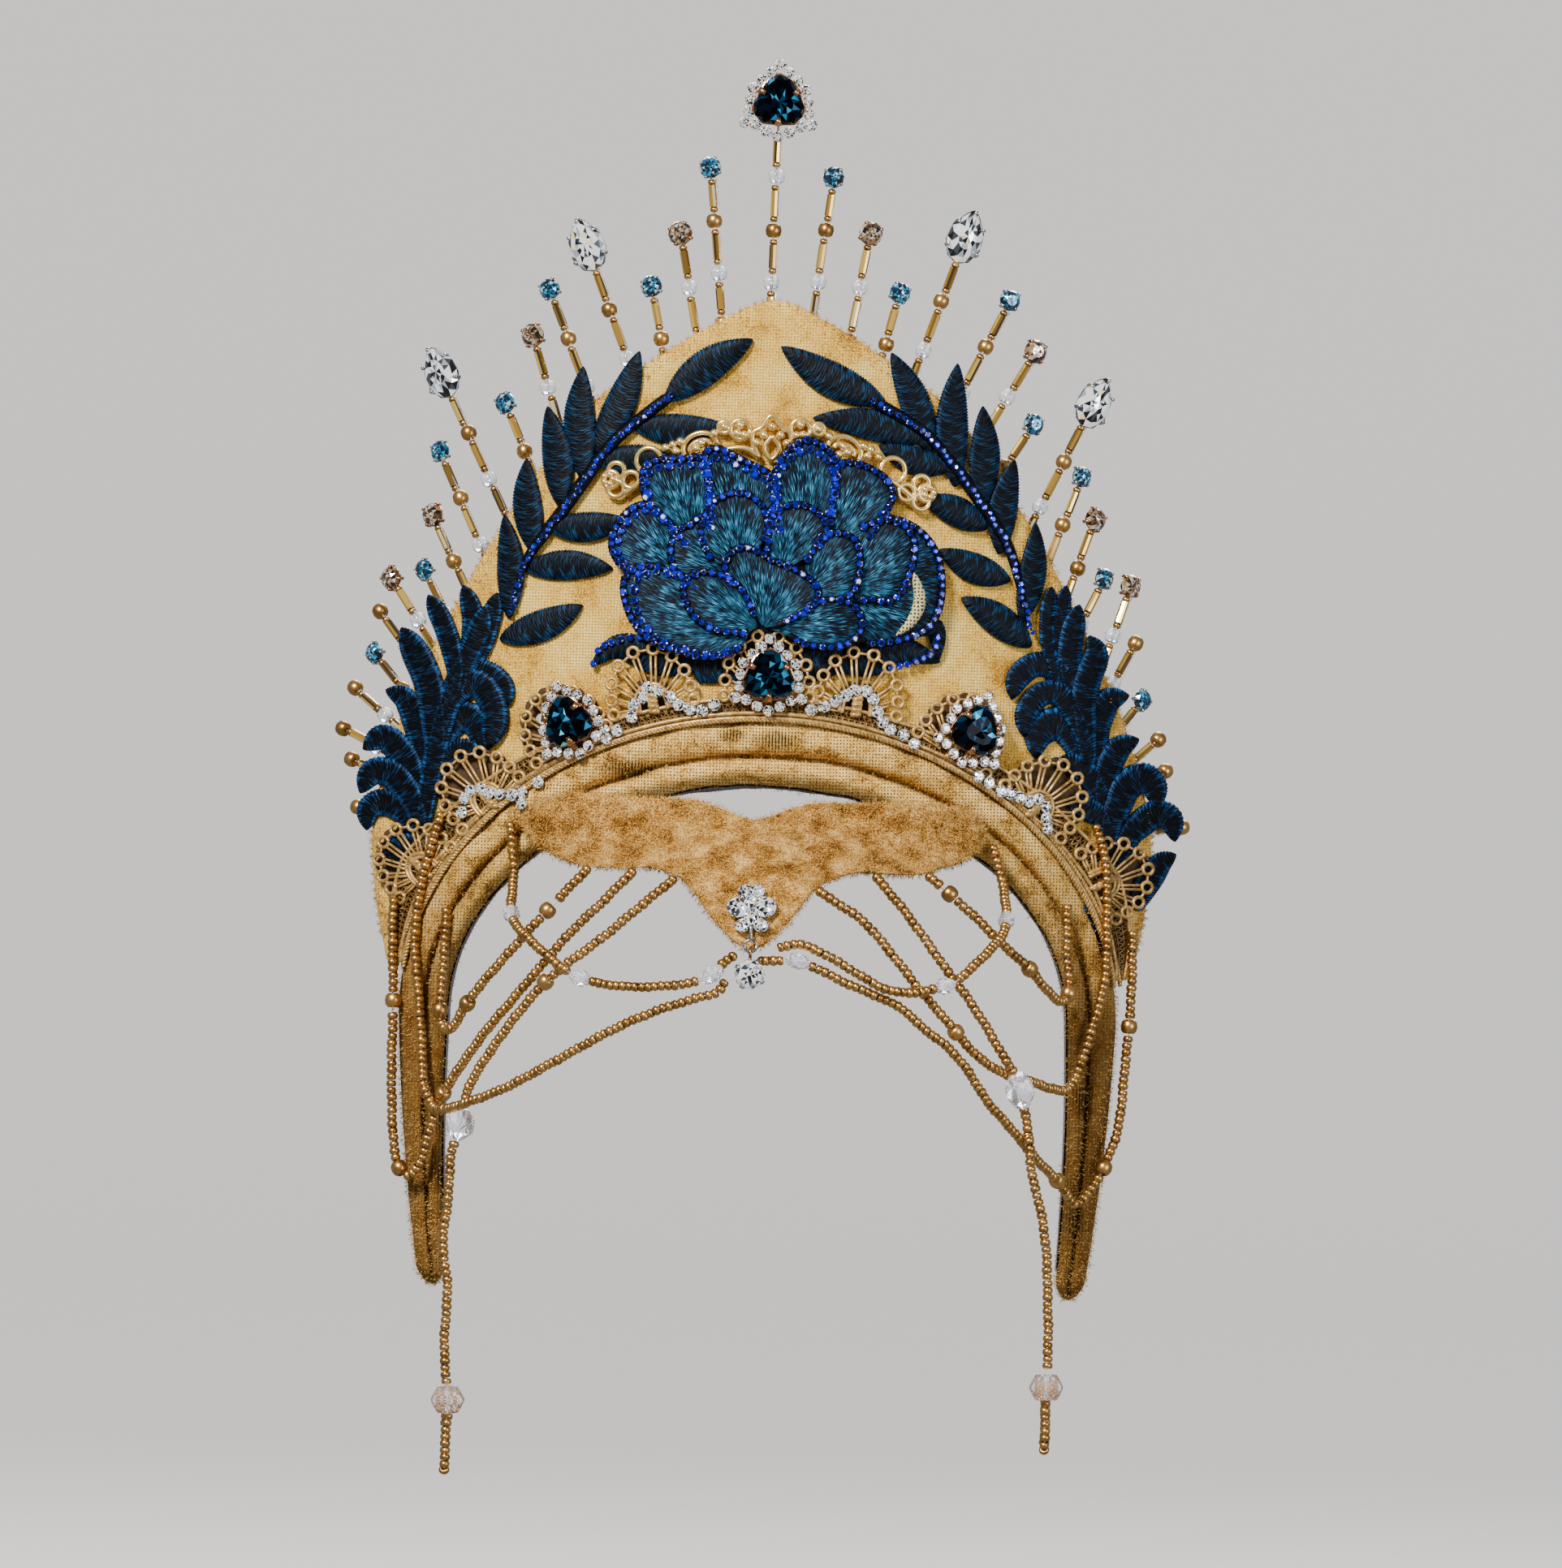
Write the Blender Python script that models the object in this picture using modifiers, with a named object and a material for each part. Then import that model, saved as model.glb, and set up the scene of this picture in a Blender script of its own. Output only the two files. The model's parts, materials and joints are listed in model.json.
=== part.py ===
"""A velvet kokoshnik diadem: padded head band, tall crown panel, appliques, stones, spikes and strands.

The frame is in metres with +Z up. The front faces -Y and +X is on the viewer's right. The origin is
where the lining of the head band rests on top of the head. Flat pieces are built upright in the XZ
plane, with Y as their relief towards the viewer, and are then wrapped round the curve of the brow.
Tables hold millimetres, and MM turns them into metres.
"""

import math
from collections import namedtuple

import bmesh
import bpy
from mathutils import Matrix, Vector

MM = 0.001
GAP = 0.35 * MM

# Driving sizes of the head band
HEAD_HALF_WIDTH = 77 * MM
BAND_RISE = 58 * MM
BAND_SIDE_THICKNESS = 12 * MM
BAND_TOP_THICKNESS = 16 * MM
BAND_DEPTH = 24 * MM
BAND_SETBACK = 10 * MM
LEG_LENGTH = 68 * MM
LEG_TURN_IN = 4 * MM
LEG_END_SHARE = 0.55

# The curve that the whole crown follows when it is seen from above
WRAP_RADIUS = 135 * MM
WRAP_LIMIT = 100 * MM
WIDEST_FACE = 13 * MM

# Layers in front of the crown panel, as distances towards the viewer
PANEL_THICKNESS = 3 * MM
LOW_LAYER = (0.35 * MM, 0.85 * MM, 1.3 * MM)
METAL_LAYER = (1.7 * MM, 2.5 * MM)
PEONY_LAYER = (3.1 * MM, 4.0 * MM, 5.0 * MM)
STONE_BACK = 2.9 * MM

# The display head that the strands drape over
BROW_HALF_WIDTH = 80 * MM
BROW_RISE = 60 * MM
BROW_DEPTH = 85 * MM
BROW_CENTRE_Y = 45 * MM
BAND_FRONT = 2.8 * MM
SOFTEN = 8 * MM

# Beads
BUGLE_RADIUS = 1.15 * MM
ROUND_BEAD_RADIUS = 2.1 * MM
BEAD_SIDES = 10
STONE_SIDES = 8
STRAND_RADIUS = 1.3 * MM
STRAND_STEP = 8 * MM
WIRE_TAIL = 9 * MM

# The stones: how far each reaches from its centre along the spike
CHATON_RADIUS = 2.8 * MM
PEAR_LENGTH = 13.5 * MM
PEAR_WIDTH = 9 * MM
TRILLIANT_RADIUS = 6.0 * MM
HALO_RADIUS = 8.6 * MM
HALO_STONES = 14

PEAK_X = -2 * MM
VELVET = (0.55, 0.33, 0.10)
NAVY = (0.01, 0.025, 0.06)
GOLD = (0.62, 0.40, 0.16)

OutlineRow = namedtuple("OutlineRow", "x z")
# Half of the crown's outer edge, from the apex down to the tip beside the ear
CROWN_EDGE = [
    OutlineRow(0, 118.5),
    OutlineRow(12, 114),
    OutlineRow(27, 105),
    OutlineRow(45, 91.5),
    OutlineRow(64, 65),
    OutlineRow(79, 38),
    OutlineRow(89.5, 14.5),
    OutlineRow(96, -10),
    OutlineRow(95, -30),
    OutlineRow(91.5, -46),
]
CROWN_TIP_ANGLE = 9

PeakRow = namedtuple("PeakRow", "x top bottom")
# The forehead piece, from its middle outwards: the dip above and the point below
PEAK_ROWS = [
    PeakRow(0, -8.6, -40.4),
    PeakRow(4, -7.6, -38.5),
    PeakRow(9, -5.6, -33.5),
    PeakRow(14, -4.2, -27.0),
    PeakRow(19, -3.8, -22.5),
    PeakRow(26, -3.8, -21.0),
    PeakRow(34, -3.4, -21.2),
    PeakRow(42, -3.2, -20.8),
    PeakRow(50, -4.6, -18.0),
    PeakRow(57, -7.0, -14.5),
]
PEAK_THICKNESS = 3 * MM

SectionRow = namedtuple("SectionRow", "out back")
# Half sizes round the band's section: an outer roll, a crease in front, and an inner roll
BAND_SECTION = [
    SectionRow(1.00, 0.72),
    SectionRow(1.00, -0.70),
    SectionRow(0.74, -0.95),
    SectionRow(0.40, -1.00),
    SectionRow(0.12, -0.82),
    SectionRow(-0.18, -0.97),
    SectionRow(-0.62, -0.92),
    SectionRow(-1.00, -0.55),
    SectionRow(-1.00, 0.68),
    SectionRow(-0.45, 1.00),
    SectionRow(0.50, 1.00),
]

LeafRow = namedtuple("LeafRow", "base_x base_z tip_x tip_z width")
# The leaf spray on the viewer's right, mirrored for the left: outer leaves, then inner ones
LEAVES = [
    LeafRow(37.5, 84.6, 29.8, 106.8, 7.2),
    LeafRow(44.5, 79.7, 46.5, 103.5, 7.6),
    LeafRow(50.0, 72.7, 53.5, 93.5, 7.2),
    LeafRow(55.0, 64.7, 60.4, 81.5, 6.8),
    LeafRow(61.0, 50.7, 66.1, 66.5, 6.4),
    LeafRow(27.0, 95.2, 4.5, 109.0, 8.0),
    LeafRow(32.0, 89.0, 10.5, 89.0, 7.0),
    LeafRow(42.0, 79.0, 22.0, 82.5, 6.4),
    LeafRow(52.5, 64.7, 38.5, 66.7, 7.0),
    LeafRow(58.5, 54.0, 43.5, 54.4, 6.8),
    LeafRow(64.0, 38.0, 46.5, 44.4, 7.2),
]
STEM = [(24.5, 96.2), (40, 83.2), (52.7, 66.7), (61, 50), (64.5, 38)]
STEM_WIDTH = 3.2 * MM

LobeRow = namedtuple("LobeRow", "base mid tip width")
# The acanthus scroll on the viewer's right: outer lobes from top to bottom, then inner ones
LOBES = [
    LobeRow((73, 27), (74.5, 39), (76.5, 49), 5.2),
    LobeRow((75, 24), (81, 39), (85.0, 47), 5.4),
    LobeRow((80, 14), (87, 31), (92.0, 37), 7.4),
    LobeRow((82, 3), (87.5, 17), (93.5, 21), 6.6),
    LobeRow((82, -4), (90, 9), (98.0, 8), 7.4),
    LobeRow((82, -8), (92.5, 1), (100.0, -4), 7.0),
    LobeRow((82, -11), (92, -8), (99.5, -15), 7.0),
    LobeRow((77, 17), (69.5, 29), (63.5, 17), 7.0),
    LobeRow((79, 11), (71.5, 21), (68.5, 7), 7.0),
    LobeRow((82, 0), (75.5, 8), (68.0, 5), 5.4),
]
SCROLL_SPINE = [(84, -18), (82.5, -4), (80, 10), (76, 24), (71, 36)]
SCROLL_SPINE_WIDTH = 6.5 * MM

PetalRow = namedtuple("PetalRow", "x z half_width half_height turn lift")
# The peony's petals, back ones first; lift raises the ones in front
PETALS = [
    PetalRow(-22.3, 71.1, 8.0, 9.0, 15, 0.0),
    PetalRow(-7.9, 73.4, 8.8, 9.6, 5, 0.1),
    PetalRow(8.0, 74.9, 8.8, 9.8, -5, 0.1),
    PetalRow(22.1, 72.2, 8.4, 9.0, -20, 0.0),
    PetalRow(-30.6, 59.8, 9.0, 8.6, 50, 0.2),
    PetalRow(-8.6, 62.4, 10.0, 9.4, 5, 0.4),
    PetalRow(5.4, 60.8, 9.0, 9.4, -5, 0.3),
    PetalRow(18.5, 56.1, 8.4, 10.4, -10, 0.4),
    PetalRow(32.7, 51.0, 10.0, 15.0, -5, 0.1),
    PetalRow(-25.1, 43.8, 13.0, 9.6, -20, 0.3),
    PetalRow(-0.3, 48.8, 12.4, 10.4, 0, 0.7),
    PetalRow(-13.2, 45.0, 8.4, 6.4, -30, 0.9),
    PetalRow(11.5, 41.6, 11.0, 5.8, 12, 0.8),
]
PETAL_SIDES = 8
PEONY_CORE = PetalRow(0, 53.0, 26.0, 15.0, 0, 0)
SEPALS = [
    LobeRow((-10, 43), (-26, 33), (-42, 31.5), 6.0),
    LobeRow((-4, 44), (2, 33), (16, 28.5), 8.0),
    LobeRow((12, 43), (27, 34), (42, 31.0), 6.0),
]

FanRow = namedtuple("FanRow", "x z turn scale")
# The lace fans on the viewer's right, from the middle outwards
FANS = [
    FanRow(0.0, 23.0, 0, 0.92),
    FanRow(24.6, 20.0, -13, 0.92),
    FanRow(48.0, 9.5, -33, 0.90),
    FanRow(67.5, -3.5, -46, 0.86),
    FanRow(84.5, -19.5, -62, 0.78),
]
FAN_RAYS = 7
FAN_SPAN = 160
FAN_RADIUS = 15.0 * MM
FAN_NOTCH = 13.4 * MM
SLOT_INNER = 5.0 * MM
SLOT_OUTER = 11.6 * MM

StripRow = namedtuple("StripRow", "angle width")
# The lace's solid heading along the band: its width at some angles round the arch
LACE_STRIP = [
    StripRow(90, 6.0),
    StripRow(70, 6.0),
    StripRow(50, 8.0),
    StripRow(36, 11.0),
    StripRow(26, 12.5),
    StripRow(16, 6.5),
    StripRow(9, 2.5),
]

RingRow = namedtuple("RingRow", "x z radius")
# The stamped filigree behind the top of the peony, from the middle outwards
FILIGREE = [
    RingRow(0.0, 87.0, 4.6),
    RingRow(10.0, 86.6, 3.8),
    RingRow(19.6, 83.6, 4.4),
    RingRow(28.8, 78.8, 3.8),
    RingRow(36.2, 72.4, 4.4),
]
FILIGREE_SIDES = 8
FILIGREE_RIM = 1.2 * MM

StoneRow = namedtuple("StoneRow", "name x z turn")
BAND_STONES = [
    StoneRow("band_stone_centre", 0.8, 26.8, 0),
    StoneRow("band_stone_left", -47.8, 14.4, 22),
    StoneRow("band_stone_right", 51.2, 14.8, -22),
]

SpikeRow = namedtuple("SpikeRow", "x z lean tip order")
# Spikes by the place of their stone and their lean from upright, on the viewer's left then right.
# Order says which beads come first below the stone: round gold, clear, or bugles alone.
LEFT_SPIKES = [
    SpikeRow(-102.8, 3.9, -68, "bead", "bugle"),
    SpikeRow(-105.2, 11.5, -64, "bead", "bugle"),
    SpikeRow(-102.4, 21.7, -50, "bead", "bugle"),
    SpikeRow(-97.7, 30.5, -40, "chaton", "gold"),
    SpikeRow(-96.5, 40.9, -38, "bead", "bugle"),
    SpikeRow(-93.9, 49.2, -34, "topaz", "clear"),
    SpikeRow(-85.6, 51.4, -28, "chaton", "bugle"),
    SpikeRow(-83.8, 65.1, -26, "topaz", "gold"),
    SpikeRow(-82.4, 80.9, -25, "chaton", "gold"),
    SpikeRow(-82.7, 100.5, -26, "pear", "gold"),
    SpikeRow(-66.4, 93.1, -24, "chaton", "gold"),
    SpikeRow(-59.9, 109.9, -18, "topaz", "clear"),
    SpikeRow(-56.0, 121.4, -22, "chaton", "gold"),
    SpikeRow(-47.1, 132.5, -21, "pear", "gold"),
    SpikeRow(-30.8, 122.5, -12, "chaton", "gold"),
    SpikeRow(-24.0, 135.7, -11, "topaz", "clear"),
    SpikeRow(-17.0, 152.1, -6, "chaton", "gold"),
]
RIGHT_SPIKES = [
    SpikeRow(13.5, 150.5, 7, "chaton", "gold"),
    SpikeRow(23.0, 136.9, 10, "topaz", "clear"),
    SpikeRow(30.6, 122.5, 14, "chaton", "gold"),
    SpikeRow(46.5, 136.9, 19, "pear", "gold"),
    SpikeRow(57.9, 121.6, 26, "chaton", "gold"),
    SpikeRow(64.6, 109.2, 30, "topaz", "clear"),
    SpikeRow(64.6, 91.2, 32, "chaton", "gold"),
    SpikeRow(79.7, 97.2, 26, "pear", "gold"),
    SpikeRow(77.0, 78.7, 20, "chaton", "gold"),
    SpikeRow(80.7, 68.2, 19, "topaz", "gold"),
    SpikeRow(83.3, 53.6, 26, "chaton", "bugle"),
    SpikeRow(90.0, 52.0, 18, "topaz", "clear"),
    SpikeRow(91.7, 37.8, 28, "bead", "bugle"),
    SpikeRow(93.8, 23.7, 38, "chaton", "gold"),
    SpikeRow(98.1, 14.0, 48, "bead", "bugle"),
    SpikeRow(100.1, 6.2, 60, "bead", "bugle"),
]
CENTRE_SPIKE = SpikeRow(-0.4, 168.5, 1, "halo", "clear")

BeadRow = namedtuple("BeadRow", "kind length")
# What is threaded on a wire below its stone, in millimetres along the wire, over and over
BEAD_ORDER = {
    "gold": [
        BeadRow("bugle", 8.4), BeadRow("gold", 4.0), BeadRow("bugle", 9.0), BeadRow("clear", 4.0),
    ],
    "clear": [
        BeadRow("bugle", 8.8), BeadRow("clear", 4.0), BeadRow("bugle", 9.4), BeadRow("gold", 4.0),
    ],
    "bugle": [
        BeadRow("bugle", 8.4), BeadRow("clear", 4.0),
    ],
}

RouteRow = namedtuple("RouteRow", "x z lift bead")
# The strands' routes as the front shows them. Lift is 1 where a strand crosses over another one,
# and a bead names a crystal or gold bead on the string.
STRANDS = {
    "strand_left_short": [
        RouteRow(-62, -13, 0, ""), RouteRow(-61, -23, 0, ""), RouteRow(-61, -33.4, 1.1, "bicone"),
        RouteRow(-57, -38.5, 1.3, ""), RouteRow(-48.4, -45.5, 1, ""), RouteRow(-42.8, -48.4, 1, "bicone"),
        RouteRow(-34, -49.8, 1, ""), RouteRow(-24, -49.6, 1, ""), RouteRow(-15, -48.2, 0.8, ""),
        RouteRow(-10.6, -46, 0.9, "bicone"), RouteRow(-8.2, -43.2, 0.6, ""),
        RouteRow(-5.4, -41.2, 0.2, ""),
    ],
    "strand_left_brow": [
        RouteRow(-43.8, -22.9, 0, ""), RouteRow(-52.6, -32.6, 0, "gold"), RouteRow(-58.6, -39.4, 0, ""),
        RouteRow(-68, -50.6, 0, ""), RouteRow(-71.8, -56, 0, "gold"), RouteRow(-75.4, -62, 0, ""),
        RouteRow(-77.8, -61.4, 0, ""), RouteRow(-78.6, -57, 0, "gold"), RouteRow(-78, -46.5, -0.2, ""),
        RouteRow(-77.6, -31.5, -0.3, ""),
    ],
    "strand_left_outer": [
        RouteRow(-32.6, -23.2, 0, ""), RouteRow(-39, -30, 0, ""), RouteRow(-46, -37, 0, ""),
        RouteRow(-53.5, -46, 0, ""), RouteRow(-60.8, -55, 0, ""), RouteRow(-67.8, -63.8, 0, ""),
        RouteRow(-77.4, -78.7, 0, "gold"), RouteRow(-80.5, -88, 0, ""), RouteRow(-82.4, -95, 0, ""),
        RouteRow(-85.2, -98.9, 0, ""), RouteRow(-88, -96.6, 0, "gold"), RouteRow(-89.6, -88.8, 0, ""),
        RouteRow(-90.4, -72, 0, ""), RouteRow(-90.4, -55, 0, "gold"), RouteRow(-91, -42, 0, ""),
        RouteRow(-91, -30, 0, ""),
    ],
    "strand_left_drop": [
        RouteRow(-22.6, -24.6, 0, ""), RouteRow(-30, -31, 0, ""), RouteRow(-38, -38, 0, ""),
        RouteRow(-47, -45, 0, ""), RouteRow(-52.5, -50, 0, "gold"), RouteRow(-59.2, -58.2, 0, ""),
        RouteRow(-64.2, -65.4, 0, ""), RouteRow(-69.2, -73.4, 0, ""), RouteRow(-71.4, -79.1, 0, ""),
        RouteRow(-72.6, -86, 0, "big"), RouteRow(-74.5, -93, 0, ""), RouteRow(-75, -104, 0, ""),
        RouteRow(-76, -115, 0, ""), RouteRow(-74.6, -126, 0, ""), RouteRow(-75, -140, 0, ""),
        RouteRow(-73.8, -154.2, 0, "rondelle"), RouteRow(-74.1, -162, 0, ""),
        RouteRow(-74.2, -169.4, 0, ""),
    ],
    "strand_left_swag": [
        RouteRow(-80.2, -11, 0, ""), RouteRow(-84, -26, 0, ""), RouteRow(-85.4, -40.5, 0, ""),
        RouteRow(-84.1, -53.6, 0, ""), RouteRow(-82.9, -66.8, 0, ""), RouteRow(-82.2, -75.6, 0.8, ""),
        RouteRow(-79.6, -81.4, 1.3, ""), RouteRow(-75.4, -81.6, 1.7, ""), RouteRow(-70.6, -79.8, 1.5, ""),
        RouteRow(-60.9, -75.6, 0.4, ""), RouteRow(-47.8, -68, 0, ""), RouteRow(-34.8, -60.4, 0, ""),
        RouteRow(-24, -55.4, 0, ""), RouteRow(-14.6, -52.2, 0, ""), RouteRow(-9.8, -50.6, 0, ""),
        RouteRow(-7.7, -47.6, 0, ""),
    ],
    "strand_right_short": [
        RouteRow(57.6, -15.5, 0, ""), RouteRow(59.8, -23, 0, ""), RouteRow(60.7, -31.8, 1.3, "bicone"),
        RouteRow(58.4, -37, 1.4, ""), RouteRow(49, -46.3, 1, ""), RouteRow(45.2, -48, 1, "bicone"),
        RouteRow(38.5, -49.6, 1, ""), RouteRow(30.5, -48.6, 1, ""), RouteRow(18.5, -42, 1, ""),
        RouteRow(10.5, -38.6, 0.5, ""), RouteRow(3.8, -39.6, 0, ""),
    ],
    "strand_right_brow": [
        RouteRow(42.6, -22.3, 0, ""), RouteRow(47.1, -25.9, 0, "gold"), RouteRow(54.1, -32, 0, ""),
        RouteRow(59.2, -36.9, 0, ""), RouteRow(63.5, -40.6, 0, ""), RouteRow(67.2, -43.9, 0, "gold"),
        RouteRow(71.5, -48.8, 0, ""), RouteRow(75, -51.4, 0, ""), RouteRow(77, -48.8, 0, "gold"),
        RouteRow(76.2, -39.2, 0, ""), RouteRow(76, -27, -0.3, ""),
    ],
    "strand_right_swag": [
        RouteRow(15.8, -26.4, 0, ""), RouteRow(25.4, -32.6, 0, ""), RouteRow(32.9, -40.8, 0, ""),
        RouteRow(39.5, -48.8, 0, ""), RouteRow(44.7, -54.5, 0, ""), RouteRow(49.2, -59.6, 0, "gold"),
        RouteRow(54.6, -65.2, 0, ""), RouteRow(61.5, -69.4, 0, ""), RouteRow(67, -70.8, 0, ""),
        RouteRow(73, -72.9, 0, ""), RouteRow(77.4, -73, 0, ""), RouteRow(80.2, -67.6, 0, ""),
        RouteRow(83.4, -57, 0, ""), RouteRow(85.9, -46, 0, ""), RouteRow(86.1, -32, 0, ""),
        RouteRow(85.4, -17, 0, ""), RouteRow(82.7, -8, 0, ""),
    ],
    "strand_right_drop": [
        RouteRow(29.4, -22.9, 0, ""), RouteRow(35.6, -30, 0, ""), RouteRow(42.9, -39.6, 0, ""),
        RouteRow(47.2, -45.4, 0, ""), RouteRow(51.8, -51.2, 0, ""), RouteRow(56.8, -58.6, 0.4, ""),
        RouteRow(61, -65.4, 1, ""), RouteRow(63.8, -69.4, 1.2, ""), RouteRow(65.2, -73.9, 1.2, "big"),
        RouteRow(66.6, -79.5, 1.1, ""), RouteRow(67.6, -85, 1, ""), RouteRow(68.6, -94, 1, ""),
        RouteRow(71, -103, 1, ""), RouteRow(72.6, -113, 1, ""), RouteRow(73.2, -124, 1, ""),
        RouteRow(73.6, -135, 1, ""), RouteRow(73.4, -146.8, 1, "rondelle"), RouteRow(73.4, -154, 1, ""),
        RouteRow(73.4, -160, 1, ""),
    ],
    "strand_right_outer": [
        RouteRow(2.2, -42.8, 0, ""), RouteRow(10.3, -42.8, 0, "bicone"), RouteRow(21.4, -47.6, 0, ""),
        RouteRow(34.6, -53.2, 0, ""), RouteRow(40.3, -58, 0, ""), RouteRow(47, -63, 0, ""),
        RouteRow(52, -68.6, 0, ""), RouteRow(57, -76, 0, ""), RouteRow(63, -82.6, 0, ""),
        RouteRow(69.4, -90, 0, ""), RouteRow(75.4, -96, 0, "gold"), RouteRow(80, -101.6, 0, ""),
        RouteRow(84, -97.6, 0, ""), RouteRow(87.2, -92, 0, "gold"), RouteRow(90.4, -82, 0, ""),
        RouteRow(91.6, -67.5, 0, ""), RouteRow(92.4, -56.8, 0, "gold"), RouteRow(92.8, -45, 0, ""),
        RouteRow(92.6, -33.8, 0, ""),
    ],
}
HANGING = ("strand_left_drop", "strand_right_drop")
HANG_LEVEL = -85 * MM
LOOP_HALF_WIDTH = 1.6 * MM
STEEPEST = 1.6

CrystalSize = namedtuple("CrystalSize", "length radius")
CRYSTALS = {
    "bicone": CrystalSize(6.0, 2.3),
    "big": CrystalSize(9.0, 4.0),
    "rondelle": CrystalSize(6.4, 4.2),
    "gold": CrystalSize(4.0, 2.1),
}


# Materials and scene

def clear_scene():
    """Empties the file that the script runs in."""
    for found in list(bpy.data.objects):
        bpy.data.objects.remove(found, do_unlink=True)


def new_material(name, colour, roughness, metallic=0.0):
    """A Principled material of one colour."""
    made = bpy.data.materials.new(name)
    made.use_nodes = True
    shader = made.node_tree.nodes["Principled BSDF"]
    shader.inputs["Base Color"].default_value = (*colour, 1)
    shader.inputs["Roughness"].default_value = roughness
    shader.inputs["Metallic"].default_value = metallic
    return made


clear_scene()
parts = bpy.data.collections.new("diadem")
bpy.context.scene.collection.children.link(parts)
MATERIALS = {
    "velvet": new_material("velvet", VELVET, 0.9),
    "navy": new_material("navy_thread", NAVY, 0.6),
    "gold": new_material("gold_metal", GOLD, 0.3, 1.0),
    "bead": new_material("gold_bead", GOLD, 0.35, 0.9),
    "lace": new_material("gold_lace", GOLD, 0.5, 0.6),
    "stone": new_material("blue_glass", (0.0, 0.05, 0.12), 0.05),
    "crystal": new_material("clear_glass", (0.85, 0.88, 0.9), 0.05),
    "topaz": new_material("pale_topaz_glass", (0.5, 0.35, 0.2), 0.05),
}


def add(name, mesh, material):
    """Puts a mesh into the diadem's collection as one named object."""
    made = bpy.data.objects.new(name, mesh)
    mesh.materials.clear()
    mesh.materials.append(MATERIALS[material])
    parts.objects.link(made)
    return made


# Curves that the whole diadem follows

def wrap_depth(x):
    """How far back the crown lies at a distance x from its middle."""
    reach = min(abs(x), WRAP_LIMIT)
    depth = WRAP_RADIUS - math.sqrt(WRAP_RADIUS**2 - reach**2)
    return depth + wrap_slope(x) * (abs(x) - reach) * (1 if x >= 0 else -1)


def wrap_slope(x):
    """The slope of wrap_depth at x, positive on the viewer's right."""
    reach = max(-WRAP_LIMIT, min(WRAP_LIMIT, x))
    return reach / math.sqrt(WRAP_RADIUS**2 - reach**2)


def drape_depth(x, z):
    """The front of what the strands lie on: the brow, or the band where that is further forward."""
    rise = max(0.0, z + BAND_RISE) / BROW_RISE
    inside = max(0.0, 1 - (x / BROW_HALF_WIDTH) ** 2 - rise**2)
    brow = BROW_CENTRE_Y - BROW_DEPTH * math.sqrt(inside)
    band = wrap_depth(x) - BAND_FRONT
    share = max(0.0, min(1.0, 0.5 + 0.5 * (band - brow) / SOFTEN))
    return band + (brow - band) * share - SOFTEN * share * (1 - share)


def arch(angle, half_width, rise):
    """A point (x, z) on an ellipse over the head, 0 degrees on the viewer's right and 90 on top."""
    turn = math.radians(angle)
    return Vector((half_width * math.cos(turn), rise * math.sin(turn) - BAND_RISE))


def arch_out(angle, half_width, rise):
    """The outward direction of that ellipse."""
    turn = math.radians(angle)
    return Vector((rise * math.cos(turn), half_width * math.sin(turn))).normalized()


OUTER_HALF_WIDTH = HEAD_HALF_WIDTH + BAND_SIDE_THICKNESS
OUTER_RISE = BAND_RISE + BAND_TOP_THICKNESS


def band_edge(angle, offset):
    """A point at that distance outside the band's outer edge."""
    out = arch_out(angle, OUTER_HALF_WIDTH, OUTER_RISE)
    return arch(angle, OUTER_HALF_WIDTH, OUTER_RISE) + out * offset


def smooth(points, steps):
    """Points on a Catmull-Rom curve through the given ones, with that many steps a span."""
    ends = [points[0] * 2 - points[1], *points, points[-1] * 2 - points[-2]]
    made = []
    for i in range(1, len(ends) - 2):
        a, b, c, d = ends[i - 1 : i + 3]
        for k in range(steps):
            t = k / steps
            made.append(
                0.5 * (b * 2 + (c - a) * t + (a * 2 - b * 5 + c * 4 - d) * t**2
                       + (b * 3 - a - c * 3 + d) * t**3)
            )
    return [*made, points[-1].copy()]


def resample(points, count):
    """That many points evenly spaced along a polyline."""
    lengths = [0.0]
    for a, b in zip(points, points[1:]):
        lengths.append(lengths[-1] + (b - a).length)
    made, span = [], 0
    for k in range(count):
        target = lengths[-1] * k / (count - 1)
        while span < len(points) - 2 and lengths[span + 1] < target:
            span += 1
        share = (target - lengths[span]) / max(1e-12, lengths[span + 1] - lengths[span])
        made.append(points[span].lerp(points[span + 1], share))
    return made


def flat_points(rows):
    """Vectors in metres from (x, z) pairs in millimetres."""
    return [Vector((x * MM, z * MM)) for x, z in rows]


# Ways of making solids

def loft(rings):
    """A closed body through rings of equal length, with a face across each end."""
    mesh = bmesh.new()
    loops = [[mesh.verts.new(p) for p in ring] for ring in rings]
    size = len(rings[0])
    for near, far in zip(loops, loops[1:]):
        for i in range(size):
            j = (i + 1) % size
            mesh.faces.new((near[i], near[j], far[j], far[i]))
    caps = [mesh.faces.new(loops[0][::-1]), mesh.faces.new(loops[-1])]
    if size > 4:
        bmesh.ops.poke(mesh, faces=caps)
    bmesh.ops.recalc_face_normals(mesh, faces=mesh.faces)
    made = bpy.data.meshes.new("loft")
    mesh.to_mesh(made)
    mesh.free()
    return made


def evaluated_mesh(source):
    """A plain mesh of an object with its modifiers or curve shape applied."""
    bpy.context.view_layer.update()
    graph = bpy.context.evaluated_depsgraph_get()
    made = bpy.data.meshes.new_from_object(source.evaluated_get(graph))
    made.transform(source.matrix_world)
    work = bmesh.new()
    work.from_mesh(made)
    bmesh.ops.remove_doubles(work, verts=work.verts, dist=1e-6)
    work.to_mesh(made)
    work.free()
    return made


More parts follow.
